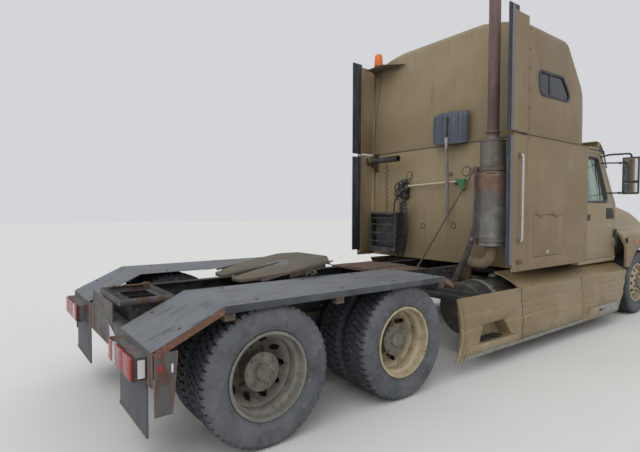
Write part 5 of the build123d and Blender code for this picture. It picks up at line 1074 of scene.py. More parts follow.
@dataclass
class AirLines:
    """Coiled air hose and curly trailer cable behind the sleeper, each one length wound on its route.

    Routes repeat the control points of the part's source, in metres.
    """

    hose_route: tuple[Point, ...] = (
        (-0.410, 0.470, 1.7397), (-0.410, 0.470, 1.600), (-0.430, 0.420, 1.200), (-0.560, 0.400, 0.985),
    )
    hose_bore: float = 6.5
    hose_coil: float = 53.0
    hose_turns: int = 27
    cable_route: tuple[Point, ...] = ((-0.455, 0.745, 2.277), (-0.453, 0.744, 1.93), (-0.450, 0.742, 1.581))
    cable_bore: float = 4.5
    cable_coil: float = 19.0
    cable_turns: int = 11
    per_turn: int = 12

    def spline(self, name: str, points: list[Point], bore: float) -> bpy.types.Object:
        """Makes a curve object with one smooth open spline.

        Args:
            name: Name of the object.
            points: Control points in metres.
            bore: Radius of the tube in millimetres, or 0 for a bare line.

        Returns:
            The curve object, linked to the scene.
        """
        curve = bpy.data.curves.new(name, "CURVE")
        curve.dimensions = "3D"
        curve.bevel_depth = bore * MM
        curve.bevel_resolution = 2
        curve.use_fill_caps = bore > 0
        line = curve.splines.new("NURBS")
        line.points.add(len(points) - 1)
        for slot, point in zip(line.points, points):
            slot.co = (*point, 1.0)
        line.order_u = 3
        line.use_endpoint_u = True
        line.resolution_u = 12 if bore == 0 else 2
        made = bpy.data.objects.new(name, curve)
        bpy.context.scene.collection.objects.link(made)
        return made

    def wound(self, route: tuple[Point, ...], coil: float, turns: int) -> tuple[list[Point], float]:
        """Winds a helix round the smooth line of a route.

        Args:
            route: Control points of the route, in metres.
            coil: Radius of the helix in millimetres.
            turns: Number of turns.

        Returns:
            Control points of the helix in metres, and its length in metres.
        """
        guide = self.spline("route", list(route), 0.0)
        bpy.context.view_layer.update()
        line = bpy.data.meshes.new_from_object(guide)
        points = [v.co.copy() for v in line.vertices]
        bpy.data.objects.remove(guide)
        bpy.data.meshes.remove(line)
        reach = [0.0]
        for one, two in zip(points, points[1:]):
            reach.append(reach[-1] + (two - one).length)
        side = (points[1] - points[0]).orthogonal().normalized()
        count = turns * self.per_turn
        spot, helix = 0, []
        for number in range(count + 1):
            want = reach[-1] * number / count
            while spot < len(reach) - 2 and reach[spot + 1] < want:
                spot += 1
            share = (want - reach[spot]) / max(reach[spot + 1] - reach[spot], 1e-9)
            ahead = (points[spot + 1] - points[spot]).normalized()
            side = (side - ahead * side.dot(ahead)).normalized()
            other = ahead.cross(side)
            angle = 2 * math.pi * number / self.per_turn
            ends = min(1.0, number / self.per_turn, (count - number) / self.per_turn)
            out = side * math.cos(angle) + other * math.sin(angle)
            helix.append(points[spot].lerp(points[spot + 1], share) + out * coil * MM * ends)
        length = sum((b - a).length for a, b in zip(helix, helix[1:]))
        return [tuple(p) for p in helix], length

    def build(self) -> None:
        """Makes both cords."""
        cords = (
            (
                "air_hose_coil", self.hose_route, self.hose_bore,
                self.hose_coil, self.hose_turns, HOSE_NYLON, "hose_coil"
            ),
            (
                "trailer_cable", self.cable_route, self.cable_bore,
                self.cable_coil, self.cable_turns, CABLE_SHEATH, "curly_cable"
            ),
        )
        for name, route, bore, coil, turns, finish, node in cords:
            helix, length = self.wound(route, coil, turns)
            cord = self.spline(name, helix, bore)
            cord.data.materials.append(finish.material())
            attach(cord, "chassis")
            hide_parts(node)
            log.info("%s: %.2f m of %.0f mm line", name, length, 2 * bore)


@dataclass
class Tyre:
    """Radial truck tyre: carcass with moulded ribs, and blocks of tread round it."""

    outer: float = 486.0
    groove: float = 17.0
    pitches: int = 54
    steps: int = 108
    section: tuple[Pair, ...] = (
        (288.3, 98), (297, 101), (304, 103), (307, 109), (312, 113), (316, 120), (321, 121.5), (324, 119.5),
        (330, 124), (345, 129), (362, 133), (380, 136), (396, 137), (404, 135.8), (409, 137), (424, 136),
        (440, 133.5), (446, 134.5), (450, 132), (457, 129),
        (464, 123), (468.5, 117), (469, 96), (469, 60), (469, 20),
    )
    rows: tuple[tuple[float, float, float], ...] = (
        (-118, -68, 0.0), (-60, -5, 0.35), (5, 60, 0.85), (68, 118, 0.5)
    )

    def carcass(self, form: Form, hub: Point) -> None:
        """Adds the closed ring of the carcass about a wheel's middle."""
        outside = [(r, w) for r, w in self.section]
        inside = [(r, -w) for r, w in reversed(self.section)]
        form.turned(outside + inside, hub, LEFTWARD, self.steps, closed=True)

    def blocks(self, form: Form, hub: Point) -> None:
        """Adds the tread blocks, skewed a little in the middle rows and open at the shoulders."""
        root = self.outer - self.groove
        for low, high, shift in self.rows:
            edge = abs(low) > 100 or abs(high) > 100
            for number in range(self.pitches):
                start = 2 * math.pi * (number + shift) / self.pitches
                span = 2 * math.pi / self.pitches * (0.74 if edge else 0.8)
                skew = 0.0 if edge else 0.16 * 2 * math.pi / self.pitches
                corners = []
                for radius, inset in ((root - 2, 0.0), (self.outer, 1.6)):
                    for w, lean in ((low, -skew), (high, skew)):
                        for angle in (start + lean, start + lean + span):
                            bow = inset / self.outer * (1 if angle == start + lean else -1)
                            outer_w = w - math.copysign(
                                inset * (4 if edge and abs(w) > 100 else 1), w - (low + high) / 2
                            )
                            drop = 5.0 if radius == self.outer and abs(w) > 100 else 0.0
                            turn = angle + bow
                            corners.append(
                                (
                                    hub[0] + (radius - drop) * math.sin(turn), hub[1] + outer_w,
                                    hub[2] + (radius - drop) * math.cos(turn),
                                )
                            )
                verts = [form.mesh.verts.new(c) for c in corners]
                for face in (
                    (4, 5, 7, 6), (0, 4, 6, 2), (1, 3, 7, 5), (0, 1, 5, 4), (2, 6, 7, 3), (0, 2, 3, 1)
                ):
                    form.mesh.faces.new([verts[k] for k in face])

    def build(self, name: str, hubs: list[Point], body: str, node: str) -> None:
        """Makes the tyres of one wheel body.

        Args:
            name: Name of the piece.
            hubs: Middle of each tyre.
            body: CAD body that they turn with.
            node: CAD node that they stand for.
        """
        form = Form()
        for hub in hubs:
            self.carcass(form, hub)
            self.blocks(form, hub)
        form.piece(name, TYRE_RUBBER, body, "tyre", smooth=28, replaces=(node,))


@dataclass
class DiscWheel:
    """Steel disc wheel: drop-centre rim, dished disc with hand holes, stud nuts, hub and drum.

    Distances across the vehicle are measured from its middle, as in the part's source.
    """

    rim: tuple[Pair, ...] = (
        (296, 117), (301, 116), (303, 112.5), (302, 108), (296, 105.5), (290, 103.5), (288, 98), (288, 66),
        (285, 60), (268, 50), (262, 44),
    )
    rim_inside: tuple[Pair, ...] = (
        (252, 38), (256, 44), (274, 52), (278, 60), (278, 99), (279, 112), (282, 116.5)
    )
    holes: int = 10
    hole_r: float = 27.0
    hole_circle: float = 197.0
    stud_circle: float = 143.0
    axle_z: float = 486.0

    def add_rim(self, form: Form, hub: Point) -> None:
        """Adds one rim round a point on the axle."""
        inside = list(self.rim_inside)
        loop = list(self.rim) + [(r, -w) for r, w in reversed(self.rim)]
        loop += [(r, -w) for r, w in reversed(inside)] + inside
        form.turned(loop, hub, LEFTWARD, 96, closed=True)

    def add_disc(self, form: Form, x: float, way: float, profile: list[Pair], reach: Pair) -> None:
        """Adds one dished disc with its hand holes.

        Args:
            form: The form that gets it.
            x: Station of the axle.
            way: 1 on the left of the vehicle and -1 on its right.
            profile: Closed loop of radius and distance from the vehicle's middle.
            reach: How far the holes run, as distances from the vehicle's middle.
        """
        disc = Form().turned(profile, (x, 0, self.axle_z), (0, way, 0), 80, closed=True)
        drills = Form()
        for number in range(self.holes):
            angle = 2 * math.pi * (number + 0.5) / self.holes
            spot = (
                x + self.hole_circle * math.sin(angle), way * reach[0],
                self.axle_z + self.hole_circle * math.cos(angle)
            )
            drills.turned(
                [(0, 0), (self.hole_r, 0), (self.hole_r, reach[1] - reach[0]), (0, reach[1] - reach[0])],
                spot, (0, way, 0), 20,
            )
        disc.cut(drills)
        loose = bpy.data.meshes.new("disc")
        disc.mesh.to_mesh(loose)
        disc.mesh.free()
        form.mesh.from_mesh(loose)
        bpy.data.meshes.remove(loose)

    def ring(self, x: float, radius: float, y: float, count: int) -> list[Point]:
        """Points evenly round the axle at one distance from the vehicle's middle."""
        turns = [2 * math.pi * k / count for k in range(count)]
        return [(x + radius * math.sin(a), y, self.axle_z + radius * math.cos(a)) for a in turns]

    def studs(self, x: float, way: float, face: float) -> Form:
        """Wheel nuts on their washers, each with the end of its stud."""
        form = Form()
        for spot in self.ring(x, self.stud_circle, way * face, 10):
            form.turned([(21, 0), (21, 4), (14, 5)], spot, (0, way, 0), 16)
            form.bolts([spot], (0, way, 0), 18.5, 24)
            form.turned([(10, 20), (10, 33), (8, 36), (0, 36)], spot, (0, way, 0), 10)
        return form

    def build_twin(
        self, name: str, x: float, way: float, body: str, node: str, finish: Finish, slot: str
    ) -> None:
        """Makes the pair of wheels, the hub and the drum of one drive body.

        Args:
            name: Start of the pieces' names.
            x: Station of the axle.
            way: 1 on the left and -1 on the right.
            body: CAD body that they turn with.
            node: CAD node that they stand for.
            finish: Enamel of the discs.
            slot: Material slot of the discs.
        """
        form = Form()
        for centre in (748.0, 1078.0):
            self.add_rim(form, (x, way * centre, self.axle_z))
        outer = [
            (257, 1047), (250, 1046), (238, 1034), (222, 1008),
            (204, 976), (188, 948), (174, 931), (160, 925), (90, 925),
            (90, 913), (157, 913), (170, 919), (184, 936), (200, 965),
            (218, 998), (232, 1022), (246, 1035), (257, 1036),
        ]
        self.add_disc(form, x, way, outer, (930, 1045))
        self.add_disc(form, x, way, [(r, 1826 - y) for r, y in outer], (781, 896))
        form.piece(f"{name}_discs", finish, body, slot, smooth=40, replaces=(node,))
        hub = Form().turned(
            [
                (56, 925), (138, 925), (137, 932), (116, 938), (109, 948),
                (104, 1000), (97, 1050), (98, 1058), (134, 1060),
                (136, 1063), (136, 1082), (133, 1085), (60, 1085),
                (58, 1087), (56, 1102), (50, 1108), (0, 1108),
            ],
            (x, 0, self.axle_z), (0, way, 0), 64,
        )
        hub.turned(
            [
                (203, 868), (203, 702), (206, 699), (213, 699),
                (216, 703), (216, 878), (213, 881), (140, 881), (140, 868)
            ],
            (x, 0, self.axle_z), (0, way, 0), 64, closed=True
        )
        hub.turned([(217, 740), (222, 742), (222, 750), (217, 752)], (x, 0, self.axle_z), (0, way, 0), 64)
        hub.bolts(self.ring(x, 117, way * 1085, 8), (0, way, 0), 10, 13)
        hub.piece(f"{name}_hub", DUSTY_HUB, body, "cast_steel", smooth=40)
        self.studs(x, way, 925.0).piece(f"{name}_nuts", DUSTY_HUB, body, "bright_steel", smooth=30)

    def build_steer(self, name: str, x: float, way: float, body: str, node: str) -> None:
        """Makes one steering wheel's disc, hub and nuts."""
        form = Form()
        self.add_rim(form, (x, way * 1040.0, self.axle_z))
        disc = [
            (257, 1087), (248, 1090), (232, 1102), (212, 1122),
            (194, 1140), (178, 1153), (160, 1160), (90, 1160),
            (90, 1148), (156, 1148), (172, 1142), (187, 1129),
            (205, 1110), (225, 1090), (243, 1077), (257, 1075),
        ]
        self.add_disc(form, x, way, disc, (1085, 1165))
        form.piece(f"{name}_disc", CREAM_WHEEL, body, "cream_rim", smooth=40, replaces=(node,))
        hub = Form().turned(
            [
                (94, 985), (100, 1040), (108, 1080), (120, 1147), (138, 1147),
                (138, 1148), (89, 1148), (89, 1160), (86, 1164),
                (84, 1184), (79, 1193), (70, 1196), (30, 1196), (28, 1192), (0, 1192),
            ],
            (x, 0, self.axle_z), (0, way, 0), 56,
        )
        hub.turned(
            [
                (203, 1074), (203, 914), (206, 912), (213, 912), (216, 916),
                (216, 1084), (213, 1087), (120, 1087), (120, 1075)
            ],
            (x, 0, self.axle_z), (0, way, 0), 56, closed=True
        )
        hub.bolts(self.ring(x, 74, way * 1187, 6), (0, way, 0), 6, 6)
        hub.piece(f"{name}_hub", DUSTY_HUB, body, "cast_steel", smooth=40)
        self.studs(x, way, 1160.0).piece(f"{name}_nuts", DUSTY_HUB, body, "bright_steel", smooth=30)


@dataclass
class SideSkirts:
    """What the three skirt panels of each side carry: arch roll, step recess, ledges and edge strip."""

    drive_x: float = -2200.0
    axle_z: float = 486.0
    arch_r: float = 736.0
    hole: tuple[Pair, ...] = ((-1176, 293), (-574, 293), (-734, 480), (-1112, 480))
    hole_round: tuple[float, ...] = (15, 15, 30, 60)

    def arch_roll(self) -> Form:
        """Rolled edge of the rear panel, a bead and a shallow second ridge along the wheel arch."""
        form = Form()
        for radius, out, thick in ((self.arch_r + 16, 2, 17), (self.arch_r + 74, -4, 12)):
            route = []
            for step in range(25):
                z = 168 + step * (768 - 168) / 24
                x = self.drive_x + math.sqrt(radius**2 - (z - self.axle_z) ** 2)
                y = self.panel_y(z) + out
                route.append((x, y, z))
            form.tube(route, [thick * min(1.0, 0.7 + k * 0.1, 0.7 + (24 - k) * 0.1) for k in range(25)], 14)
        return form

    def panel_y(self, z: float) -> float:
        """Distance of the panels' outer face from the middle at a height."""
        table = ((170, 1220), (448, 1235), (462, 1223), (588, 1223), (602, 1211), (740, 1211), (770, 1211))
        for (low, one), (high, two) in zip(table, table[1:]):
            if z <= high:
                return one + (two - one) * max(0.0, z - low) / (high - low)
        return 1211.0

    def recess(self) -> Form:
        """Tray behind the step hole, with its sloping floor."""
        form = Form()
        rows = []
        for depth, shrink in ((4, 0), (-8, 1), (-60, 8), (-128, 16), (-132, 26)):
            loop = rounded(list(self.hole), list(self.hole_round), 6)
            centre_x, centre_z = -890.0, 370.0
            row = []
            for x, z in loop:
                reach = math.hypot(x - centre_x, z - centre_z)
                share = (reach - shrink) / reach
                px, pz = centre_x + (x - centre_x) * share, centre_z + (z - centre_z) * share
                face = self.panel_y(z) if depth > 0 else 1222.0
                row.append((px, face + depth if depth < 0 else face + 1.0, pz))
            rows.append(row)
        form.skin(rows, round_points=True).cap(rows[-1])
        return form

    def ledge(self) -> Form:
        """Rounded ledge that bulges out under the recess."""
        section = [(292, 0), (291, 12), (286, 20), (276, 25), (250, 25), (228, 20), (212, 8), (206, 0)]
        rows = []
        for x, swell in (
            (-1262, 0.02), (-1250, 0.35), (-1225, 0.75), (-1190, 1.0),
            (-700, 1.0), (-560, 1.0), (-500, 0.8), (-455, 0.4), (-440, 0.02)
        ):
            rows.append([(x, self.panel_y(z) - 1 + out * swell, z) for z, out in section])
        return Form().skin(rows)

    def wing(self) -> Form:
        """Bevelled facet at the slanting front end of the recess."""
        outer = [(-574, 296), (-734, 482), (-700, 486), (-520, 300)]
        lift = (6, 3, 8, 9)
        points = [(x, self.panel_y(z) + up, z) for (x, z), up in zip(outer, lift)]
        base = [(x, self.panel_y(z) - 6, z) for x, z in outer]
        form = Form()
        form.skin([base, points], round_points=True).cap(points)
        return form

    def treads(self) -> Form:
        """Two perforated foot plates on the floor of the recess."""
        form = Form()
        for low, high in ((-1085, -905), (-885, -705)):
            slots = []
            for row in range(3):
                for column in range(5):
                    x, y = low + 24 + column * (high - low - 48) / 4, 1112 + row * 34
                    slots.append(box_loop((x - 11, y - 9), (x + 11, y + 9), 6, 3))
            plate = box_loop((low, 1094), (high, 1214), 12)
            form.plate([plate, *slots], flat_place(309.0), 5.0, 1.0)
        return form

    def strip(self) -> Form:
        """Edge strip along the foot of the rear and middle panels."""
        form = Form()
        for start, end in ((-1400, -364), (-356, 1112)):
            section = [(172, 2), (172, 6), (176, 7.5), (206, 9), (210, 8), (211, 3)]
            stations = (start, start + 2, end - 2, end)
            rows = [[(x, self.panel_y(z) + out - 1, z) for z, out in section] for x in stations]
            form.skin(rows).cap(rows[0]).cap(rows[-1])
        return form

    def fasteners(self) -> Form:
        """Rivets of the strip and the screws above the upper crease."""
        form = Form()
        spots = [(x, self.panel_y(192) + 6, 192.0) for x in range(-1360, 1100, 148)]
        spots += [(x, self.panel_y(640) - 1, 640.0) for x in (-300, 80, 520, 900, 1240, 1700, 2200)]
        spots += [(x, self.panel_y(560) - 1, 560.0) for x in (-330, 1085, 1150)]
        form.bolts(spots, LEFTWARD, 8, 5, 10)
        return form

    def rear_shelf(self) -> Form:
        """Curved rear corner of the middle panel's shelf, with its turned-up rim."""
        rows = []
        for step in range(13):
            share = step / 12
            y = 985 + (1195 - 985) * share
            x = -361 - 165 * (1 - share) ** 2.2
            z = 931 - (931 - 757) * min(1.0, share * 1.02)
            rows.append(
                [
                    (-358, y, z + 1), (x + 14, y, z + 1), (x + 4, y, z + 3),
                    (x, y, z + 1), (x, y, z - 16), (x + 3, y, z - 17), (-358, y, z - 17)
                ]
            )
        return Form().skin(rows, round_points=True).cap(rows[0]).cap(rows[-1])

    def joints(self) -> Form:
        """Dark ragged strips where the panels of one side meet, wider at the rear one: painted shade of the
        gaps between the panels.
        """
        form = Form()
        for x, wide in ((-361.0, 8.5), (1114.0, 3.4)):
            rows = []
            for step in range(41):
                z = 176 + 584 * step / 40
                shift, half = wide * 0.7 * math.sin(
                    1.7 * step + 1.1 * math.sin(step)
                ), wide * (0.8 + 0.3 * math.sin(2.3 * step))
                y = self.panel_y(z)
                rows.append(
                    [
                        (x + shift - half, y - 3, z), (x + shift - half, y + 0.8, z),
                        (x + shift + half, y + 0.8, z), (x + shift + half, y - 3, z)
                    ]
                )
            form.skin(rows)
        return form

    def front_step(self) -> Form:
        """Tread plate with its holes on the front panel's step, and the worn plate on the panel's face."""
        form = Form()
        place = flat_place(331.5)
        slots = [circle(6, (x, y), 10) for x in range(1360, 2140, 44) for y in (1222, 1240)]
        form.plate([box_loop((1312, 1207), (2192, 1252), 10), *slots], place, 4.0, 1.0)
        worn = rounded([(1470, 262), (1600, 214), (2190, 214), (2190, 327), (1560, 327)], 16, 4)
        form.plate([worn], side_place(1253.2), 2.4, 0.8)
        return form

    def front_holes(self) -> Form:
        """Black patches for the broken-out hole and the slot beside it in the face of the front step: painted
        shade of the openings.
        """
        form = Form()
        form.plate(
            [rounded([(1552, 262), (1650, 258), (1668, 292), (1610, 300), (1570, 288)], 10, 4)],
            side_place(1255.7), 0.8
        )
        form.plate(
            [rounded([(1690, 270), (1742, 268), (1746, 284), (1696, 286)], 5, 3)], side_place(1255.7), 0.8
        )
        return form

    def build(self) -> None:
        """Makes the pieces of both sides."""
        self.arch_roll().mirrored().piece(
            "skirt_arch_rolls", SKIRT_ENAMEL, "chassis", "body_paint", smooth=60
        )
        self.recess().mirrored().piece(
            "skirt_step_recesses", SKIRT_ENAMEL, "chassis", "body_paint", smooth=30
        )
        self.ledge().mirrored().piece("skirt_step_ledges", SKIRT_ENAMEL, "chassis", "body_paint", smooth=50)
        self.wing().mirrored().piece(
            "skirt_recess_wings", SKIRT_ENAMEL, "chassis", "body_paint", round_by=2.0
        )
        self.treads().mirrored().piece("skirt_step_treads", MOULDED_BLACK, "chassis", "black_plastic")
        self.strip().mirrored().piece(
            "skirt_edge_strips", MILL_ALUMINIUM, "chassis", "bright_steel", smooth=20
        )
        self.fasteners().mirrored().piece("skirt_fasteners", ZINC_FASTENER, "chassis", "bright_steel")
        self.rear_shelf().mirrored().piece(
            "skirt_shelf_corners", SKIRT_ENAMEL, "chassis", "body_paint", smooth=45
        )
        # Sealant-coloured strips standing for the shade inside the panel gaps: painted shade.
        self.joints().mirrored().piece("skirt_gap_shade_strips", SEAM_SEALANT, "chassis", "rubber")
        # Black patches standing for the shade inside the front step's hole and slot: painted shade.
        self.front_holes().mirrored().piece("skirt_front_hole_shade", MOULDED_BLACK, "chassis", "black_plastic")
        self.front_step().mirrored().piece("skirt_front_treads", MILL_ALUMINIUM, "chassis", "bright_steel")


@dataclass
class Exhaust:
    """Silencer with its shield and bands, the stack, the elbow, and the leg that carries them."""

    x: float = -520.0
    y: float = -940.0
    low: float = 1210.0
    high: float = 2390.0
    radius: float = 168.0
    stack_r: float = 62.0
    stack_top: float = 3920.0
    bands: tuple[float, ...] = (1290.0, 2060.0)
    neck_z: float = 2470.0

    def shell(self) -> Form:
        """Silencer body with rolled end seams, and the shield wrapped over its lower part."""
        r, low, high = self.radius, self.low, self.high
        form = Form().turned(
            [
                (66, low - 6), (70, low), (r - 40, low + 2),
                (r - 16, low + 12), (r - 5, low + 20), (r - 3, low + 26),
                (r - 10, low + 34), (r - 12, 2070), (r - 16, 2082),
                (r - 34, 2092), (r - 34, high - 34), (r - 28, high - 28),
                (r - 28, high - 20), (r - 40, high - 10), (r - 60, high - 1), (82, high),
                (80, high + 6), (70, high + 10), (69, high + 30), (64, high + 32),
            ],
            (self.x, self.y, 0), UPWARD, 72,
        )
        return form

    def shield(self) -> Form:
        """Sheet round the side that faces out and back, with folded edges and a slot near its top."""
        rows = []
        start, end, count = math.radians(118), math.radians(330), 44
        for step in range(count + 1):
            angle = start + (end - start) * step / count
            fold = 6.0 if step in (0, count) else 0.0
            out = (math.cos(angle), math.sin(angle))
            row = []
            for z, lift in (
                (1222, 4), (1228, 0), (1262, 0), (1268, 3), (1276, 0),
                (1980, 0), (1988, 3), (1996, 0), (2026, 0), (2032, 4)
            ):
                reach = self.radius + lift - fold
                row.append((self.x + out[0] * reach, self.y + out[1] * reach, z))
            rows.append(row)
        return Form().skin(rows)

    def straps(self) -> Form:
        """Band clamps round the silencer and at the foot of the stack, with their bolts."""
        form = Form()
        for z in self.bands:
            form.turned(
                [(170, -23), (174, -22), (175, -19), (172, -16), (172, 16), (175, 19), (174, 22), (170, 23)],
                (self.x, self.y, z), UPWARD, 64, closed=True,
            )
            form.bar(
                (self.x - 214, self.y + 96, z - 20),
                (self.x - 128, self.y + 124, z + 20), Matrix.Rotation(-0.62, 3, "Z")
            )
            form.bolts([(self.x - 205, self.y + 128, z)], LEFTWARD, 9, 12)
        z = self.neck_z
        form.turned([(60, -8), (77, -7), (77, 7), (60, 8)], (self.x, self.y, z), UPWARD, 40, closed=True)
        form.tube([(self.x + 74, self.y + 22, z), (self.x + 112, self.y + 22, z)], 9, 8)
        return form

    def stack(self) -> Form:
        """Open pipe with a slightly flared and ragged mouth."""
        r, top = self.stack_r, self.stack_top
        form = Form().turned(
            [
                (r - 4, top - 2), (r - 1, top), (r, top - 3), (r, 3000),
                (r, 2900), (r, 2398), (r - 4, 2398), (r - 4, 2900),
                (r - 4, 3000),
            ],
            (self.x, self.y, 0), UPWARD, 48, closed=True,
        )
        return form

    def build(self) -> None:
        """Makes the pieces."""
        self.shell().piece(
            "silencer_shell", SILENCER_SHEET, "chassis", "bright_steel", smooth=40, replaces=("muffler",)
        )
        self.shield().piece("silencer_shield", SHIELD_SHEET, "chassis", "bright_steel", smooth=40)
        self.straps().piece("silencer_bands", SILENCER_SHEET, "chassis", "bright_steel", round_by=1.5)
        self.stack().piece(
            "exhaust_stack", HEATED_TUBE, "chassis", "rusty_steel", smooth=40, replaces=("exhaust_pipes",)
        )
        x, y = self.x, self.y
        elbow = Form().tube(
            arc_route(
                [(x, y, self.low - 2), (x, y, 1010), (x, -610, 1010), (-370, -512, 745), (1500, -512, 745)],
                140
            ), 62, 28
        )
        for place, way in (
            ((x, y, 1185), UPWARD), ((x, -700, 1010), LEFTWARD), ((x, -790, 1010), LEFTWARD)
        ):
            elbow.turned([(62, -16), (66, -15), (66, 15), (62, 16)], place, way, 36, closed=True)
        elbow.piece("exhaust_elbow", ELBOW_TUBE, "chassis", "rusty_steel", smooth=40)
        leg = Form().tube(
            [
                (-704, -850, 2091), (-702, -846, 1650), (-698, -836, 1420), (-684, -786, 1240),
                (-656, -668, 1000), (-630, -540, 790), (-630, -520, 740)
            ],
            [15, 16, 20, 30, 37, 38, 38], 20,
        )
        leg.bar((-690, -560, 716), (-570, -432, 802))
        leg.bolts(
            [(-665, -562, 740), (-595, -562, 740), (-665, -562, 780), (-595, -562, 780)], RIGHTWARD, 10, 8
        )
        for z in self.bands:
            leg.bar((-716, -874, z - 16), (-672, -836, z + 16))
        leg.piece("silencer_leg", LEG_PAINT, "chassis", "frame_paint", round_by=3.0, smooth=40)
        brace = Form().tube([(-712, -842, 2060), (-1120, -392, 959)], 10, 10)
        brace.bolts([(-716, -846, 2058)], (-0.6, -1, 0.2), 14, 14)
        slot = []
        for step in range(9):
            angle = math.radians(190 + 32 * step / 8)
            slot.append([(x + 171.5 * math.cos(angle), y + 171.5 * math.sin(angle), z) for z in (1998, 2016)])
        brace.skin(slot)
        brace.piece("silencer_brace", RUSTED_PLATE, "chassis", "rusty_steel")


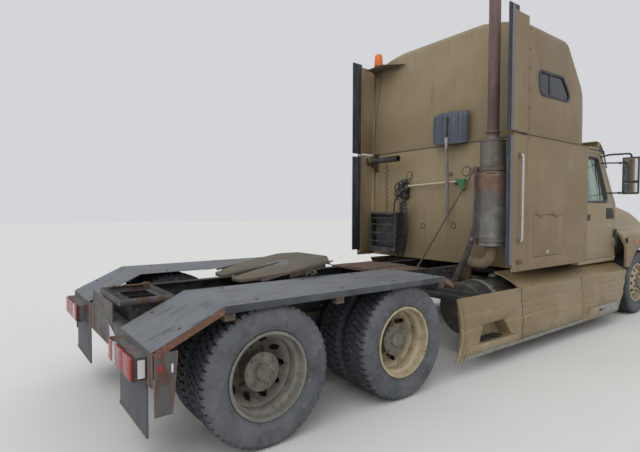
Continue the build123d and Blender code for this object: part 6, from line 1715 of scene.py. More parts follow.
@dataclass
class RearWallKit:
    """Fittings on the sleeper's rear wall: beacon, hose rest, box, couplings, rod, chain and shovel."""

    beacon: Point = (-415.0, 965.0, 3646.0)

    def lamp(self) -> None:
        """Beacon: black base with a ribbed amber dome, on its bent shelf."""
        x, y, z = self.beacon
        base = Form().turned(
            [(0, 0), (60, 0), (62, 4), (62, 30), (58, 38), (50, 41), (0, 41)], (x, y, z), UPWARD, 40
        )
        base.piece("beacon_base", MOULDED_BLACK, "chassis", "beacon_plastic", smooth=40)
        rows = []
        for step in range(72):
            angle = 2 * math.pi * step / 72
            rib = 1.2 if step % 3 == 0 else 0.0
            profile = [(60, 40), (60, 60), (58, 100), (55, 150), (51, 180), (44, 198), (28, 206), (0.02, 208)]
            cos, sin = math.cos(angle), math.sin(angle)
            rows.append([(x + (r + rib) * cos, y + (r + rib) * sin, z + h) for r, h in profile])
        dome = Form().skin(rows, round_rows=True)
        dome.piece("beacon_dome", AMBER_LENS, "chassis", "beacon_plastic", smooth=25, replaces=("beacon",))
        shelf = Form().plate(
            [rounded([(-290, 560), (-290, 1140), (-520, 1110), (-520, 790)], [2, 8, 22, 30], 4)],
            flat_place(3643), 5.0, 1.0
        )
        shelf.plate([[(-291, 3560), (-291, 3641), (-450, 3641)]], side_place(1100), 4.0)
        shelf.plate([[(-291, 3590), (-291, 3641), (-400, 3641)]], side_place(700), 4.0)
        shelf.plate([box_loop((560, 3598), (1140, 3642), 8, 3)], cross_place(-292.5), 4.0, 1.0)
        shelf.bolts([(-294, y, 3615) for y in (600, 800, 1000, 1110)], BACKWARD, 9, 7)
        shelf.piece("beacon_shelf", SHELF_STEEL, "chassis", "dark_paint", replaces=("wall_fittings",))

    def hose_rest(self) -> None:
        """Tube that the curly cable hangs from, its hanger and brass clamp, and two strips on the wall."""
        rest = Form().turned(
            [
                (36, 521), (42, 523), (42, 560), (40, 566), (40, 1046),
                (42, 1052), (42, 1089), (36, 1091), (30, 1091), (30, 521)
            ],
            (-460, 0, 2320), LEFTWARD, 32, closed=True,
        )
        rest.piece("hose_rest", MOULDED_BLACK, "chassis", "black_plastic", smooth=40)
        hanger = Form().plate(
            [
                rounded(
                    [(-291, 2180), (-291, 2440), (-420, 2380), (-508, 2372), (-508, 2268), (-420, 2260)],
                    [3, 3, 20, 12, 12, 20], 4
                )
            ],
            side_place(1105), 5.0, 1.0,
        )
        hanger.bar((-296, 1070, 2170), (-290.5, 1140, 2450))
        hanger.bolts([(-296, 1105, z) for z in (2195, 2425)], BACKWARD, 10, 8)
        hanger.tube([(-460, 1045, 2362), (-452, 1052, 2400), (-400, 1060, 2420), (-294, 1066, 2425)], 7, 8)
        hanger.piece("hose_rest_hanger", RUSTED_PLATE, "chassis", "rusty_steel")
        clamp = Form()
        for y in (1062, 1036):
            clamp.turned([(42, -9), (46, -8), (46, 8), (42, 9)], (-460, y, 2320), LEFTWARD, 32, closed=True)
        clamp.bar((-512, 1030, 2340), (-470, 1070, 2372))
        clamp.bolts([(-505, 1050, 2372)], UPWARD, 9, 14)
        clamp.piece("hose_rest_clamp", BRASS, "chassis", "bright_steel", round_by=2.0)
        post = Form().plate([box_loop((1160, 1000), (1183, 2200), 5, 2)], cross_place(-293), 5.0, 1.0)
        post.piece("wall_edge_strap", RUSTED_PLATE, "chassis", "rusty_steel")
        pale = Form().plate([box_loop((1086, 1860), (1104, 2170), 6, 3)], cross_place(-292.5), 4.0, 1.0)
        pale.piece("wall_pale_strip", PALE_STRIP, "chassis", "bright_steel")

    def box(self) -> None:
        """Open-fronted box below the couplings, with bars across its mouth."""
        outline = box_loop((550, 1020), (1050, 1580), 30, 5)
        inner = box_loop((574, 1090), (1026, 1550), 22, 5)
        form = Form().plate([outline, inner], cross_place(-474), 12.0, 2.0)
        back = [(-468, y, z) for y, z in outline]
        wall = [(-291, y, z) for y, z in outline]
        form.skin([back, wall], round_points=True).cap(wall)
        form.plate([inner], cross_place(-380), 4.0)
        for z in (1170, 1290, 1410, 1500):
            form.bar((-478, 574, z - 7), (-462, 1026, z + 7))
        form.bolts([(-481, y, z) for y in (564, 1036) for z in (1040, 1565)], BACKWARD, 9, 7)
        form.piece("coupling_box", BOX_STEEL, "chassis", "dark_paint", smooth=30)

    def couplings(self) -> None:
        """Bracket with the hose couplings, their loops of hose and the pipe down to the box."""
        plate = Form().plate(
            [box_loop((460, 1772), (600, 2010), 14), *(circle(18, (530, z), 16) for z in (1812, 1890, 1968))],
            cross_place(-300), 6.0, 1.0,
        )
        plate.bar((-300, 500, 1744), (-291, 560, 2046))
        plate.piece("coupling_plate", BOX_STEEL, "chassis", "dark_paint")
        heads = Form()
        for y, z, lean in (
            (520, 1992, 0.3), (588, 1950, -0.4), (470, 1915, 0.2),
            (540, 1880, 0.5), (610, 1850, -0.3), (490, 1812, -0.2)
        ):
            spot = (-302, y, z)
            heads.turned(
                [
                    (16, 0), (20, 6), (20, 26), (34, 32), (38, 42),
                    (38, 62), (30, 72), (14, 76), (12, 70), (0, 70)
                ],
                spot, (-1, 0, lean), 24
            )
            heads.tube(
                [(-330, y, z - 18), (-352, y + 18, z - 52), (-346, y + 34, z - 84), (-330, y + 26, z - 100)],
                9, 10
            )
            heads.turned(
                [(42, 0), (46, 3), (46, 9), (42, 12)], (-350, y, z), (-0.4, 1, lean), 22, closed=True
            )
        heads.piece("hose_couplings", CAST_COUPLING, "chassis", "cast_steel", smooth=40)
        loops = Form()
        for y, z, reach in ((600, 1940, 70), (540, 1985, 58), (590, 1860, 80), (505, 1830, 48)):
            line = []
            for step in range(25):
                angle = math.radians(-60 + 300 * step / 24)
                line.append(
                    (
                        -352 - 26 * math.sin(angle / 2 + 0.5), y + reach * math.cos(angle),
                        z - 20 + reach * 0.9 * math.sin(angle)
                    )
                )
            loops.tube(line, 8, 8)
        loops.piece("coupling_hose_loops", HOSE_NYLON, "chassis", "rubber", smooth=60)
        pipe = Form().tube(
            arc_route([(-330, 600, 1830), (-372, 640, 1790), (-380, 668, 1700), (-380, 670, 1585)], 40),
            9, 10
        )
        pipe.piece("coupling_pipe", HOSE_NYLON, "chassis", "rubber")

    def rod(self) -> None:
        """Painted pull rod across the wall, its carrier and the green handle."""
        form = Form().tube([(-345, 440, 1942), (-345, -360, 1966)], 12, 14)
        form.turned([(12, -6), (16, -5), (16, 5), (12, 6)], (-345, 430, 1942), LEFTWARD, 16, closed=True)
        form.piece("pull_rod", ROD_PAINT, "chassis", "cream_rim", smooth=40)
        carrier = Form().bar((-334, -318, 1946), (-291, -294, 1984)).bar(
            (-296, -330, 1930), (-290.5, -282, 2000)
        )
        carrier.tube([(-345, -306, 1964), (-330, -306, 1964)], 16, 12)
        carrier.piece("pull_rod_carrier", RUSTED_PLATE, "chassis", "rusty_steel", round_by=1.5)
        grip = Form().plate(
            [
                rounded(
                    [(-350, 1986), (-474, 1990), (-462, 1852), (-432, 1838), (-372, 1936)],
                    [8, 10, 12, 8, 8], 3
                )
            ],
            cross_place(-352), 30.0, 5.0,
        )
        grip.tube([(-345, -350, 1968), (-345, -470, 1980)], 17, 12)
        grip.piece("pull_rod_grip", GREEN_GRIP, "chassis", "black_plastic", smooth=45)

    def chain(self) -> None:
        """Two lengths of link chain from the shelf down to the hanger of the hose rest."""
        form = Form()
        for start, end in (((-402, 1062, 3636), (-404, 1102, 2446)), ((-402, 905, 3636), (-402, 1088, 2446))):
            count = 44
            for link in range(count):
                spot = Vector(start).lerp(Vector(end), (link + 0.5) / count)
                turn = math.pi / 2 * (link % 2) + 0.4
                loop = []
                for step in range(9):
                    angle = 2 * math.pi * step / 8
                    flat = 8 * math.cos(angle)
                    loop.append(
                        (
                            spot.x + flat * math.sin(turn),
                            spot.y + flat * math.cos(turn), spot.z + 17 * math.sin(angle)
                        )
                    )
                form.tube(loop, 2.6, 6)
        form.piece("wall_chain", CAST_COUPLING, "chassis", "rusty_steel", smooth=60)

    def ports(self) -> None:
        """Round cover plates, small screws and the sealed seam of the wall."""
        form = Form()
        for y, z, r in ((468, 2088, 52), (-442, 2088, 56), (214, 1402, 26), (-264, 1415, 26)):
            form.turned(
                [(0, 3), (r - 9, 3), (r - 7, 1.5), (r - 5, 3), (r - 1, 3), (r, 0)],
                (-290.5, y, z), BACKWARD, 36
            )
        rings = Form()
        for y, z, r in ((468, 2088, 52), (-442, 2088, 56), (214, 1402, 30), (-264, 1415, 30)):
            rings.turned([(r - 3, 0), (r - 1, 6), (r + 5, 6), (r + 7, 0)], (-290.5, y, z), BACKWARD, 36)
        rings.piece("wall_port_seals", SEAM_SEALANT, "chassis", "rubber", smooth=40)
        form.bolts(
            [(-290.5, y, z) for y, z in ((-40, 1780), (-38, 1740), (-720, 2380), (-1100, 2380), (900, 1700))],
            BACKWARD, 8, 6, 10
        )
        form.piece("wall_ports", TAN_ENAMEL, "chassis", "body_paint", smooth=30)
        seam = Form()
        seam.bar((-293, -1180, 2427), (-289, 1180, 2440))
        seam.piece("wall_seam_cover", SEAM_SEALANT, "chassis", "rubber", round_by=1.0)

    def shovel(self) -> None:
        """Snow shovel hung blade up: ribbed blade, dark lines of painted shade beside the ribs, a black tube
        of painted shade in the slot, pale socket, ash handle, hooks.
        """
        rows = []
        for column in range(81):
            share = column / 80
            y = -505 + 520 * share
            bow = 62 * math.sin(math.pi * share)
            rib = 11.0 * max(math.exp(-(((share - r) / 0.022) ** 2)) for r in (0.18, 0.36, 0.66, 0.84))
            row = []
            edge = min(1.0, min(share, 1 - share) / 0.12)
            round_off = 46 * (1 - math.sqrt(1 - (1 - edge) ** 2))
            for z, lean in ((2436, 0), (2460, 2), (2560, 6), (2700, 6), (2790, 2), (2812, -6), (2820, -22)):
                dip = 10 * (0.5 - abs(share - 0.5)) if z >= 2812 else 0.0
                lift = round_off if z < 2500 else -round_off * 0.5 if z > 2750 else 0.0
                row.append((-352 - bow - lean - rib, y, z + dip + lift + 12 * (share - 0.5)))
            rows.append(row)
        back = [[(x + 4, y, z) for x, y, z in row] for row in rows]
        blade = Form().skin(rows)
        blade.skin(back)
        rim = [rows[0], back[0]]
        blade.skin(rim).skin([rows[-1], back[-1]])
        for k in (0, -1):
            blade.skin([[row[k] for row in rows], [row[k] for row in back]])
        # Black tubes beside the ribs stand for the shade that the ribs cast: painted shade.
        rib_shade_lines = Form()
        for column in (9, 17, 51):
            rib_shade_lines.tube([(x - 1, y, z) for x, y, z in rows[column][1:-1]], 3.2, 8)
        rib_shade_lines.piece("shovel_rib_shade_lines", MOULDED_BLACK, "chassis", "black_plastic", smooth=45)
        blade.piece(
            "shovel_blade", SHOVEL_PLASTIC, "chassis", "black_plastic", smooth=50, replaces=("shovel",)
        )
        # Black tube standing for the open slot in the blade: painted shade of the opening.
        slot = Form().tube([(-421, -256, 2770), (-424, -254, 2750), (-427, -245, 2500)], [3, 13, 13], 12)
        slot.piece("shovel_slot_shade", MOULDED_BLACK, "chassis", "black_plastic", smooth=45)
        socket = Form().tube([(-428, -245, 2510), (-422, -240, 2420), (-414, -237, 2370)], [19, 20, 18], 16)
        socket.piece("shovel_socket", PALE_STRIP, "chassis", "bright_steel", smooth=45)
        handle = Form().tube(
            [(-416, -238, 2400), (-385, -226, 2150), (-366, -217, 1850), (-350, -208, 1445)], 20, 16
        )
        handle.piece("shovel_handle", ASH_HANDLE, "chassis", "trim_fabric", smooth=45)
        hook = Form().tube(arc_route([(-291, -214, 2066), (-372, -214, 2062), (-400, -196, 2080)], 20), 5, 8)
        hook.bar((-295, -240, 2040), (-290.5, -190, 2092))
        hook.tube(arc_route([(-291, -212, 1600), (-362, -226, 1596), (-376, -206, 1612)], 16), 5, 8)
        hook.piece("shovel_hooks", ZINC_FASTENER, "chassis", "bright_steel", round_by=1.0)

    def build(self) -> None:
        """Makes every fitting."""
        self.lamp()
        self.hose_rest()
        self.box()
        self.couplings()
        self.rod()
        self.chain()
        self.ports()
        self.shovel()


def touch(node: str, start: Point, way: Point) -> tuple[Point, Point]:
    """Finds where a straight line first meets a CAD node.

    Args:
        node: Name of the node.
        start: Point that the line starts from, in millimetres.
        way: Direction of the line.

    Returns:
        The point that it meets, in millimetres, and the surface's own direction there.
    """
    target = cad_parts[node]
    inward = target.matrix_world.inverted()
    hit, spot, normal, _ = target.ray_cast(
        inward @ (Vector(start) * MM), (inward.to_3x3() @ Vector(way)).normalized()
    )
    if not hit:
        raise ValueError(f"nothing of {node} lies from {start} towards {way}")
    return tuple(target.matrix_world @ spot / MM), tuple((target.matrix_world.to_3x3() @ normal).normalized())


def grown(loop: list[Pair], by: float) -> list[Pair]:
    """Moves a loop out by a distance all round, or in when it is negative.

    Args:
        loop: The loop's points, counter-clockwise.
        by: The distance.

    Returns:
        The points of the moved loop.
    """
    moved = []
    for number, here in enumerate(loop):
        along = Vector(loop[(number + 1) % len(loop)]) - Vector(loop[number - 1])
        out = Vector((along.y, -along.x)).normalized()
        moved.append((here[0] + out.x * by, here[1] + out.y * by))
    return moved


def box_loop(low: Pair, high: Pair, radius: float = 0.0, steps: int = 4) -> list[Pair]:
    """Rectangle between two corners, with rounded corners where a radius is given."""
    corners = [low, (high[0], low[1]), high, (low[0], high[1])]
    return rounded(corners, radius, steps) if radius else corners


@dataclass
class RearEnd:
    """Quarter fenders, rear beam, tail lamps, corner plates and mud flaps."""

    lens_x: float = -4388.4
    lens_z: Pair = (629.0, 763.0)
    fender_y: float = 1236.0
    lens_sections: tuple[tuple[float, float, Clear], ...] = (
        (607.0, 700.0, RED_LENS), (703.0, 786.0, CLEAR_LENS),
        (789.0, 960.0, RED_LENS), (963.0, 1143.0, RED_LENS),
    )

    def fenders(self) -> None:
        """Scaled lip on the rear slant, bolts and bend brackets, and the worn fold at the front end."""
        slant = [(-4289.0, 765.0), (-3872.0, 957.0), (-3866.0, 1006.0), (-4289.0, 812.0)]
        lip = Form().plate([slant], side_place(self.fender_y + 0.4), 1.6)
        lip.plate(
            [[(-1735, 962), (-1604, 893), (-1601, 936), (-1733, 1005)]],
            side_place(self.fender_y + 0.4), 1.6
        )
        lip.mirrored().piece("fender_scaled_lips", SCALED_EDGE, "chassis", "fender_paint", round_by=0.5)
        form = Form()
        for x in (-4120.0, -3600.0, -2860.0, -2300.0, -1790.0):
            for y in (620.0, 1150.0):
                spot, out = touch("fenders", (x, y, 1300.0), DOWNWARD)
                form.bolts([spot], out, 11, 7, 6)
        for x in (-3868.0, -2980.0, -1800.0):
            form.bar((x, 1176, 912), (x + 74, 1229, 966))
            form.bolts([(x + 20, 1236, 944), (x + 54, 1236, 944)], LEFTWARD, 9, 7)
        form.mirrored().piece("fender_fixings", CAST_STEEL, "chassis", "frame_paint", round_by=1.5)

    def lamps(self) -> None:
        """Lens sections with ribs, their bezel and screws, and the reflector on each lamp's outer end."""
        low, high = self.lens_z
        for number, (start, end, finish) in enumerate(self.lens_sections):
            lens = Form().plate([box_loop((start, low), (end, high), 9)], cross_place(self.lens_x), 21.5, 4.5)
            names = ("tail_lamp_lenses",) if number == 0 else ()
            slot = "clear_lens" if finish is CLEAR_LENS else "red_lens"
            lens.mirrored().piece(
                f"tail_lens_{number + 1}", finish, "chassis", slot, smooth=40, replaces=names
            )
        back = Form().plate([box_loop((606, 628), (1144, 764), 8)], cross_place(-4376.6), 1.0)
        back.mirrored().piece("tail_lamp_backs", SILVERED, "chassis", "bright_steel")
        rim = Form().plate(
            [box_loop((598, 621), (1152, 771), 14), box_loop((604.5, 626.5), (1145.5, 765.5), 10)],
            cross_place(-4380.0), 9.0, 1.5
        )
        rim.plate(
            [box_loop((-4371, 634), (-4316, 758), 6), box_loop((-4364, 642), (-4323, 750), 4)],
            side_place(1152), 3.5, 0.8
        )
        rim.bolts(
            [(-4386, y, z) for y in (701.5, 787.5, 961.5) for z in (636.0, 756.0)], BACKWARD, 4.5, 4, 10
        )
        rim.mirrored().piece("tail_lamp_bezels", MOULDED_BLACK, "chassis", "black_plastic")
        end = Form().plate([box_loop((-4365, 641), (-4322, 751), 3)], side_place(1151.4), 1.6)
        end.mirrored().piece("lamp_end_reflectors", PALE_REFLECTOR, "chassis", "clear_lens")

    def plates(self) -> None:
        """Faces, edges and reflectors of the corner plates, beam stiffeners, blank plate, frame bracket."""
        outer = [(-4298.0, 431.0), (-4190.0, 431.0), (-4161.0, 791.0), (-4298.0, 791.0)]
        form = Form().plate([outer, grown(outer, -8)], side_place(1236.2), 1.4)
        for y, high in ((318.0, 926.0), (452.0, 790.0), (1180.0, 790.0)):
            form.plate([box_loop((y - 16, 606), (y + 16, high), 4)], cross_place(-4311.4), 2.6, 0.6)
        form.mirrored().piece("corner_plate_edges", SCALED_EDGE, "chassis", "rusty_steel")
        face = Form().plate([grown(outer, -7)], side_place(1235.9), 0.9)
        face.mirrored().piece("corner_plate_faces", BEAM_ENAMEL, "chassis", "rusty_steel")
        for name, finish, low, high in (
            ("corner_reflectors_red", RED_REFLECTOR, (-4279, 684), (-4247, 724)),
            ("corner_reflectors_white", PALE_REFLECTOR, (-4201, 672), (-4189, 722)),
        ):
            patch = Form().plate([box_loop(low, high, 2)], side_place(1236.8), 2.4, 0.5)
            patch.mirrored().piece(
                name, finish, "chassis", "red_lens" if finish is RED_REFLECTOR else "clear_lens"
            )
        blank = Form().plate(
            [[(-188, 699), (-170, 782), (-545, 690), (-563, 607)]], cross_place(-4313.2), 2.0, 0.5
        )
        blank.piece("plate_blank", PLATE_ENAMEL, "chassis", "clear_lens")
        blue = Form().plate([[(-187, 703), (-172, 778), (-235, 763), (-250, 688)]], cross_place(-4314.8), 1.2)
        blue.piece("plate_blank_end", BLUE_ENAMEL, "chassis", "clear_lens")
        bracket = Form().bar((-3972, 96, 938), (-3916, 146, 990)).bar((-4240, 104, 976), (-3940, 138, 983))
        bracket.bolts([(-3952, 120, 990), (-4120, 120, 983), (-4200, 120, 983)], UPWARD, 11, 8)
        bracket.tube(arc_route([(-4140, -160, 915), (-4140, -160, 800), (-4060, -60, 760)], 40), 8, 8)
        bracket.piece("box_frame_bracket", RUSTED_PLATE, "chassis", "rusty_steel", round_by=2.0)

    def flaps(self) -> None:
        """Raised facing, hem and clamp bar of the mud flaps."""
        form = Form()
        form.plate([grown(box_loop((504, 274), (1116, 604)), -14)], cross_place(-4304.4), 1.6, 0.6)
        form.bar((-4308.5, 500, 271), (-4297.5, 1120, 292))
        form.mirrored().piece("mud_flap_facings", FLAP_RUBBER, "chassis", "rubber", round_by=1.5)
        clamp = Form().bar((-4318.0, 560, 604), (-4311.0, 1130, 616))
        clamp.bolts([(-4318, y, 610) for y in range(590, 1130, 102)], BACKWARD, 7, 6)
        clamp.mirrored().piece("mud_flap_clamps", ZINC_FASTENER, "chassis", "bright_steel", round_by=1.0)

    def build(self) -> None:
        """Makes every piece of the rear end."""
        self.fenders()
        self.lamps()
        self.plates()
        self.flaps()


@dataclass
class Coupling:
    """Fifth wheel: grease round the kingpin seat, jaw, release handle, worn edges and bolts."""

    pivot: Point = (-2720.0, 0.0, 1022.0)
    top_z: float = 1084.0
    tilt: float = -8.8

    def tipped(self, form: Form) -> Form:
        """Turns a form with the plate about its pivot pins."""
        turn = Matrix.Rotation(math.radians(self.tilt), 3, "Y")
        bmesh.ops.rotate(form.mesh, cent=self.pivot, matrix=turn, verts=form.mesh.verts)
        return form

    def build(self) -> None:
        """Makes the pieces of the plate and of its base."""
        rows = []
        for step in range(49):
            angle = math.radians(-152 + 304 * step / 48)
            reach = 128 + 22 * math.sin(3.1 * angle) + 14 * math.sin(7.3 * angle + 1)
            rows.append([
                (self.pivot[0] + r * math.cos(angle), r * math.sin(angle), self.top_z + h)
                for r, h in ((27, 0.3), (31, 1.6), (reach * 0.7, 1.2), (reach, 0.2))
            ])
        self.tipped(Form().skin(rows)).piece(
            "coupling_grease", GREASE, "fifth_wheel_plate", "cast_steel", smooth=60
        )
        jaw = Form().turned(
            [(27, -64), (58, -64), (58, -28), (27, -28)],
            (self.pivot[0], 0, self.top_z), UPWARD, 40, closed=True
        )
        jaw.tube(
            arc_route(
                [(-2640, -260, 1040), (-2640, -500, 1040), (-2660, -560, 1034), (-2720, -560, 1030)], 24
            ),
            9, 10
        )
        jaw.turned([(20, -6), (32, -6), (32, 6), (20, 6)], (-2744, -560, 1030), LEFTWARD, 24, closed=True)
        jaw.bar((-2690, -448, 1020), (-2590, -432, 1058))
        self.tipped(jaw).piece(
            "coupling_release", CAST_STEEL, "fifth_wheel_plate", "cast_steel", round_by=1.5
        )
        rim = Form()
        for y in (-450.6, 450.6):
            rim.bar((-3160, y - 0.8, 1064), (-2380, y + 0.8, 1080))
        self.tipped(rim).piece("coupling_edge_wear", ZINC_FASTENER, "fifth_wheel_plate", "bright_steel")
        base = Form().bolts(
            [(x, y, 940.5) for x in (-2950, -2870, -2570, -2490) for y in (370, 408)], UPWARD, 14, 13
        )
        base.mirrored().piece("coupling_base_bolts", ZINC_FASTENER, "chassis", "bright_steel")


@dataclass
class SleeperTrim:
    """What the sleeper carries outside: seams, foot bead, corner strips, windows, latches and lamps."""

    seam_z: float = 2435.0
    window: tuple[Pair, ...] = ((-30, 2910), (737, 2925), (500, 3185), (-75, 3165))

    def seams(self) -> None:
        """Seam between body and roof, and the bead with its screws along the foot."""
        plan = [
            (-588, 1218), (-500, 1218.5), (-330, 1210),
            (1215, 1209.5), (1262, 1196), (1318, 1138), (1350, 1096)
        ]
        seam = Form().tube([(x, y, self.seam_z) for x, y in plan], 4.5, 8)
        seam.mirrored().piece("sleeper_seams", SEAM_SEALANT, "chassis", "rubber", smooth=60)
        bead = Form()
        for y, low, high in ((1212.4, 951, 962), (1211.4, 962, 1000)):
            bead.bar((-586, 1204, low), (1236, y, high))
        bead.tube([(-586, 1213, 958), (1236, 1213, 958)], 6.5, 12)
        bead.mirrored().piece("sleeper_foot_beads", TAN_ENAMEL, "chassis", "body_paint", round_by=1.5)
        screws = Form().bolts([(x, 1211.2, 982) for x in range(-440, 1240, 410)], LEFTWARD, 8, 4, 10)
        screws.bolts([(-262, 1209, z) for z in range(2500, 3640, 215)], LEFTWARD, 9, 5, 10)
        screws.bolts([(-262, 1209, z) for z in (1240, 1560, 1880, 2240, 2380)], LEFTWARD, 5, 3, 10)
        screws.bolts([(x, 1213, self.seam_z - 30) for x in (-230, 60, 420, 780, 1140)], LEFTWARD, 5, 3, 10)
        screws.mirrored().piece("sleeper_screws", BOX_STEEL, "chassis", "dark_paint")

    def extenders(self) -> None:
        """Clamp strips that hold the rubbers, cover panels, the handle feet and the brown marker."""
        strip = Form()
        for low, high in ((1032.0, 2392.0), (2443.0, 3745.0)):
            strip.plate([box_loop((-642, low), (-588, high), 3)], side_place(1218.5), 3.0, 0.7)
        strip.mirrored().piece("rubber_clamp_strips", DULL_STRIP, "chassis", "bright_steel")
        cover = Form()
        for low, high in ((1002.0, 2422.0), (2448.0, 3698.0)):
            cover.bar((-587, 1211, low), (-504, 1219.6, high))
            cover.bar((-504.5, 1204, low), (-292, 1210.4, high))
        cover.mirrored().piece("extender_covers", TAN_ENAMEL, "chassis", "body_paint", round_by=3.0)
        feet = Form()
        for z in (1280.0, 2200.0):
            feet.turned([(30, 0), (31, 3), (26, 8), (15, 11), (13.4, 26)], (-450, 1210, z), LEFTWARD, 24)
        feet.mirrored().piece("grab_handle_feet", ZINC_FASTENER, "chassis", "bright_steel", smooth=40)
        marker = Form().plate([box_loop((-488, 1024), (-352, 1078), 6)], side_place(1213), 5.0, 1.4)
        marker.mirrored().piece("sleeper_markers", BROWN_MARKER, "chassis", "red_lens", smooth=40)

    def windows(self) -> None:
        """Bunk windows: smoked pane with the berth's shade painted into it, rubber surround and the bar of
        the sliding part.
        """
        loop = rounded(list(self.window), 60, 8)
        # Smoked panes that carry the unlit berth's shade as painted shade.
        pane = Form().plate([grown(loop, -4)], side_place(1199), 3.0)
        pane.mirrored().piece("bunk_window_panes", SMOKED_SHADED_GLASS, "chassis", "glass")
        rubber = Form().plate([grown(loop, 15), grown(loop, -15)], side_place(1209), 14.0, 4.0)
        rubber.bar((178, 1199, 2912), (200, 1210, 3174)).bar((206, 1199, 2912), (216, 1206, 3174))
        rubber.mirrored().piece("bunk_window_rubbers", STRIP_RUBBER, "chassis", "rubber", smooth=45)

    def build(self) -> None:
        """Makes the outer trim, the luggage doors' locks and the roof's marker lamps."""
        self.seams()
        self.extenders()
        self.windows()
        for side, way in SIDES:
            lock = Form().plate([box_loop((168, 1112), (232, 1150), 12)], side_place(1210), 4.0, 1.2)
            lock.turned([(13, 0), (14, 2), (11, 7), (4, 8), (0, 7)], (200, 1211, 1131), LEFTWARD, 20)
            if way < 0:
                lock.shaped(lambda spot: (spot.x, -spot.y, spot.z))
            lock.piece(f"luggage_lock_{side}", PALE_STRIP, f"luggage_door_{side}", "bright_steel", smooth=40)
        lamps, bases = Form(), Form()
        for y in (-760.0, -260.0, 0.0, 260.0, 760.0):
            spot, out = touch("sleeper_roof", (2400.0, y, 3200.0), BACKWARD)
            bases.turned([(58, -3), (58, 5), (52, 9), (0, 9)], spot, out, 28)
            lamps.turned([(50, 8), (46, 22), (30, 32), (0, 35)], spot, out, 28)
        bases.piece("roof_lamp_bases", MOULDED_BLACK, "chassis", "black_plastic", smooth=40)
        lamps.piece("roof_lamp_lenses", AMBER_LENS, "chassis", "beacon_plastic", smooth=50)


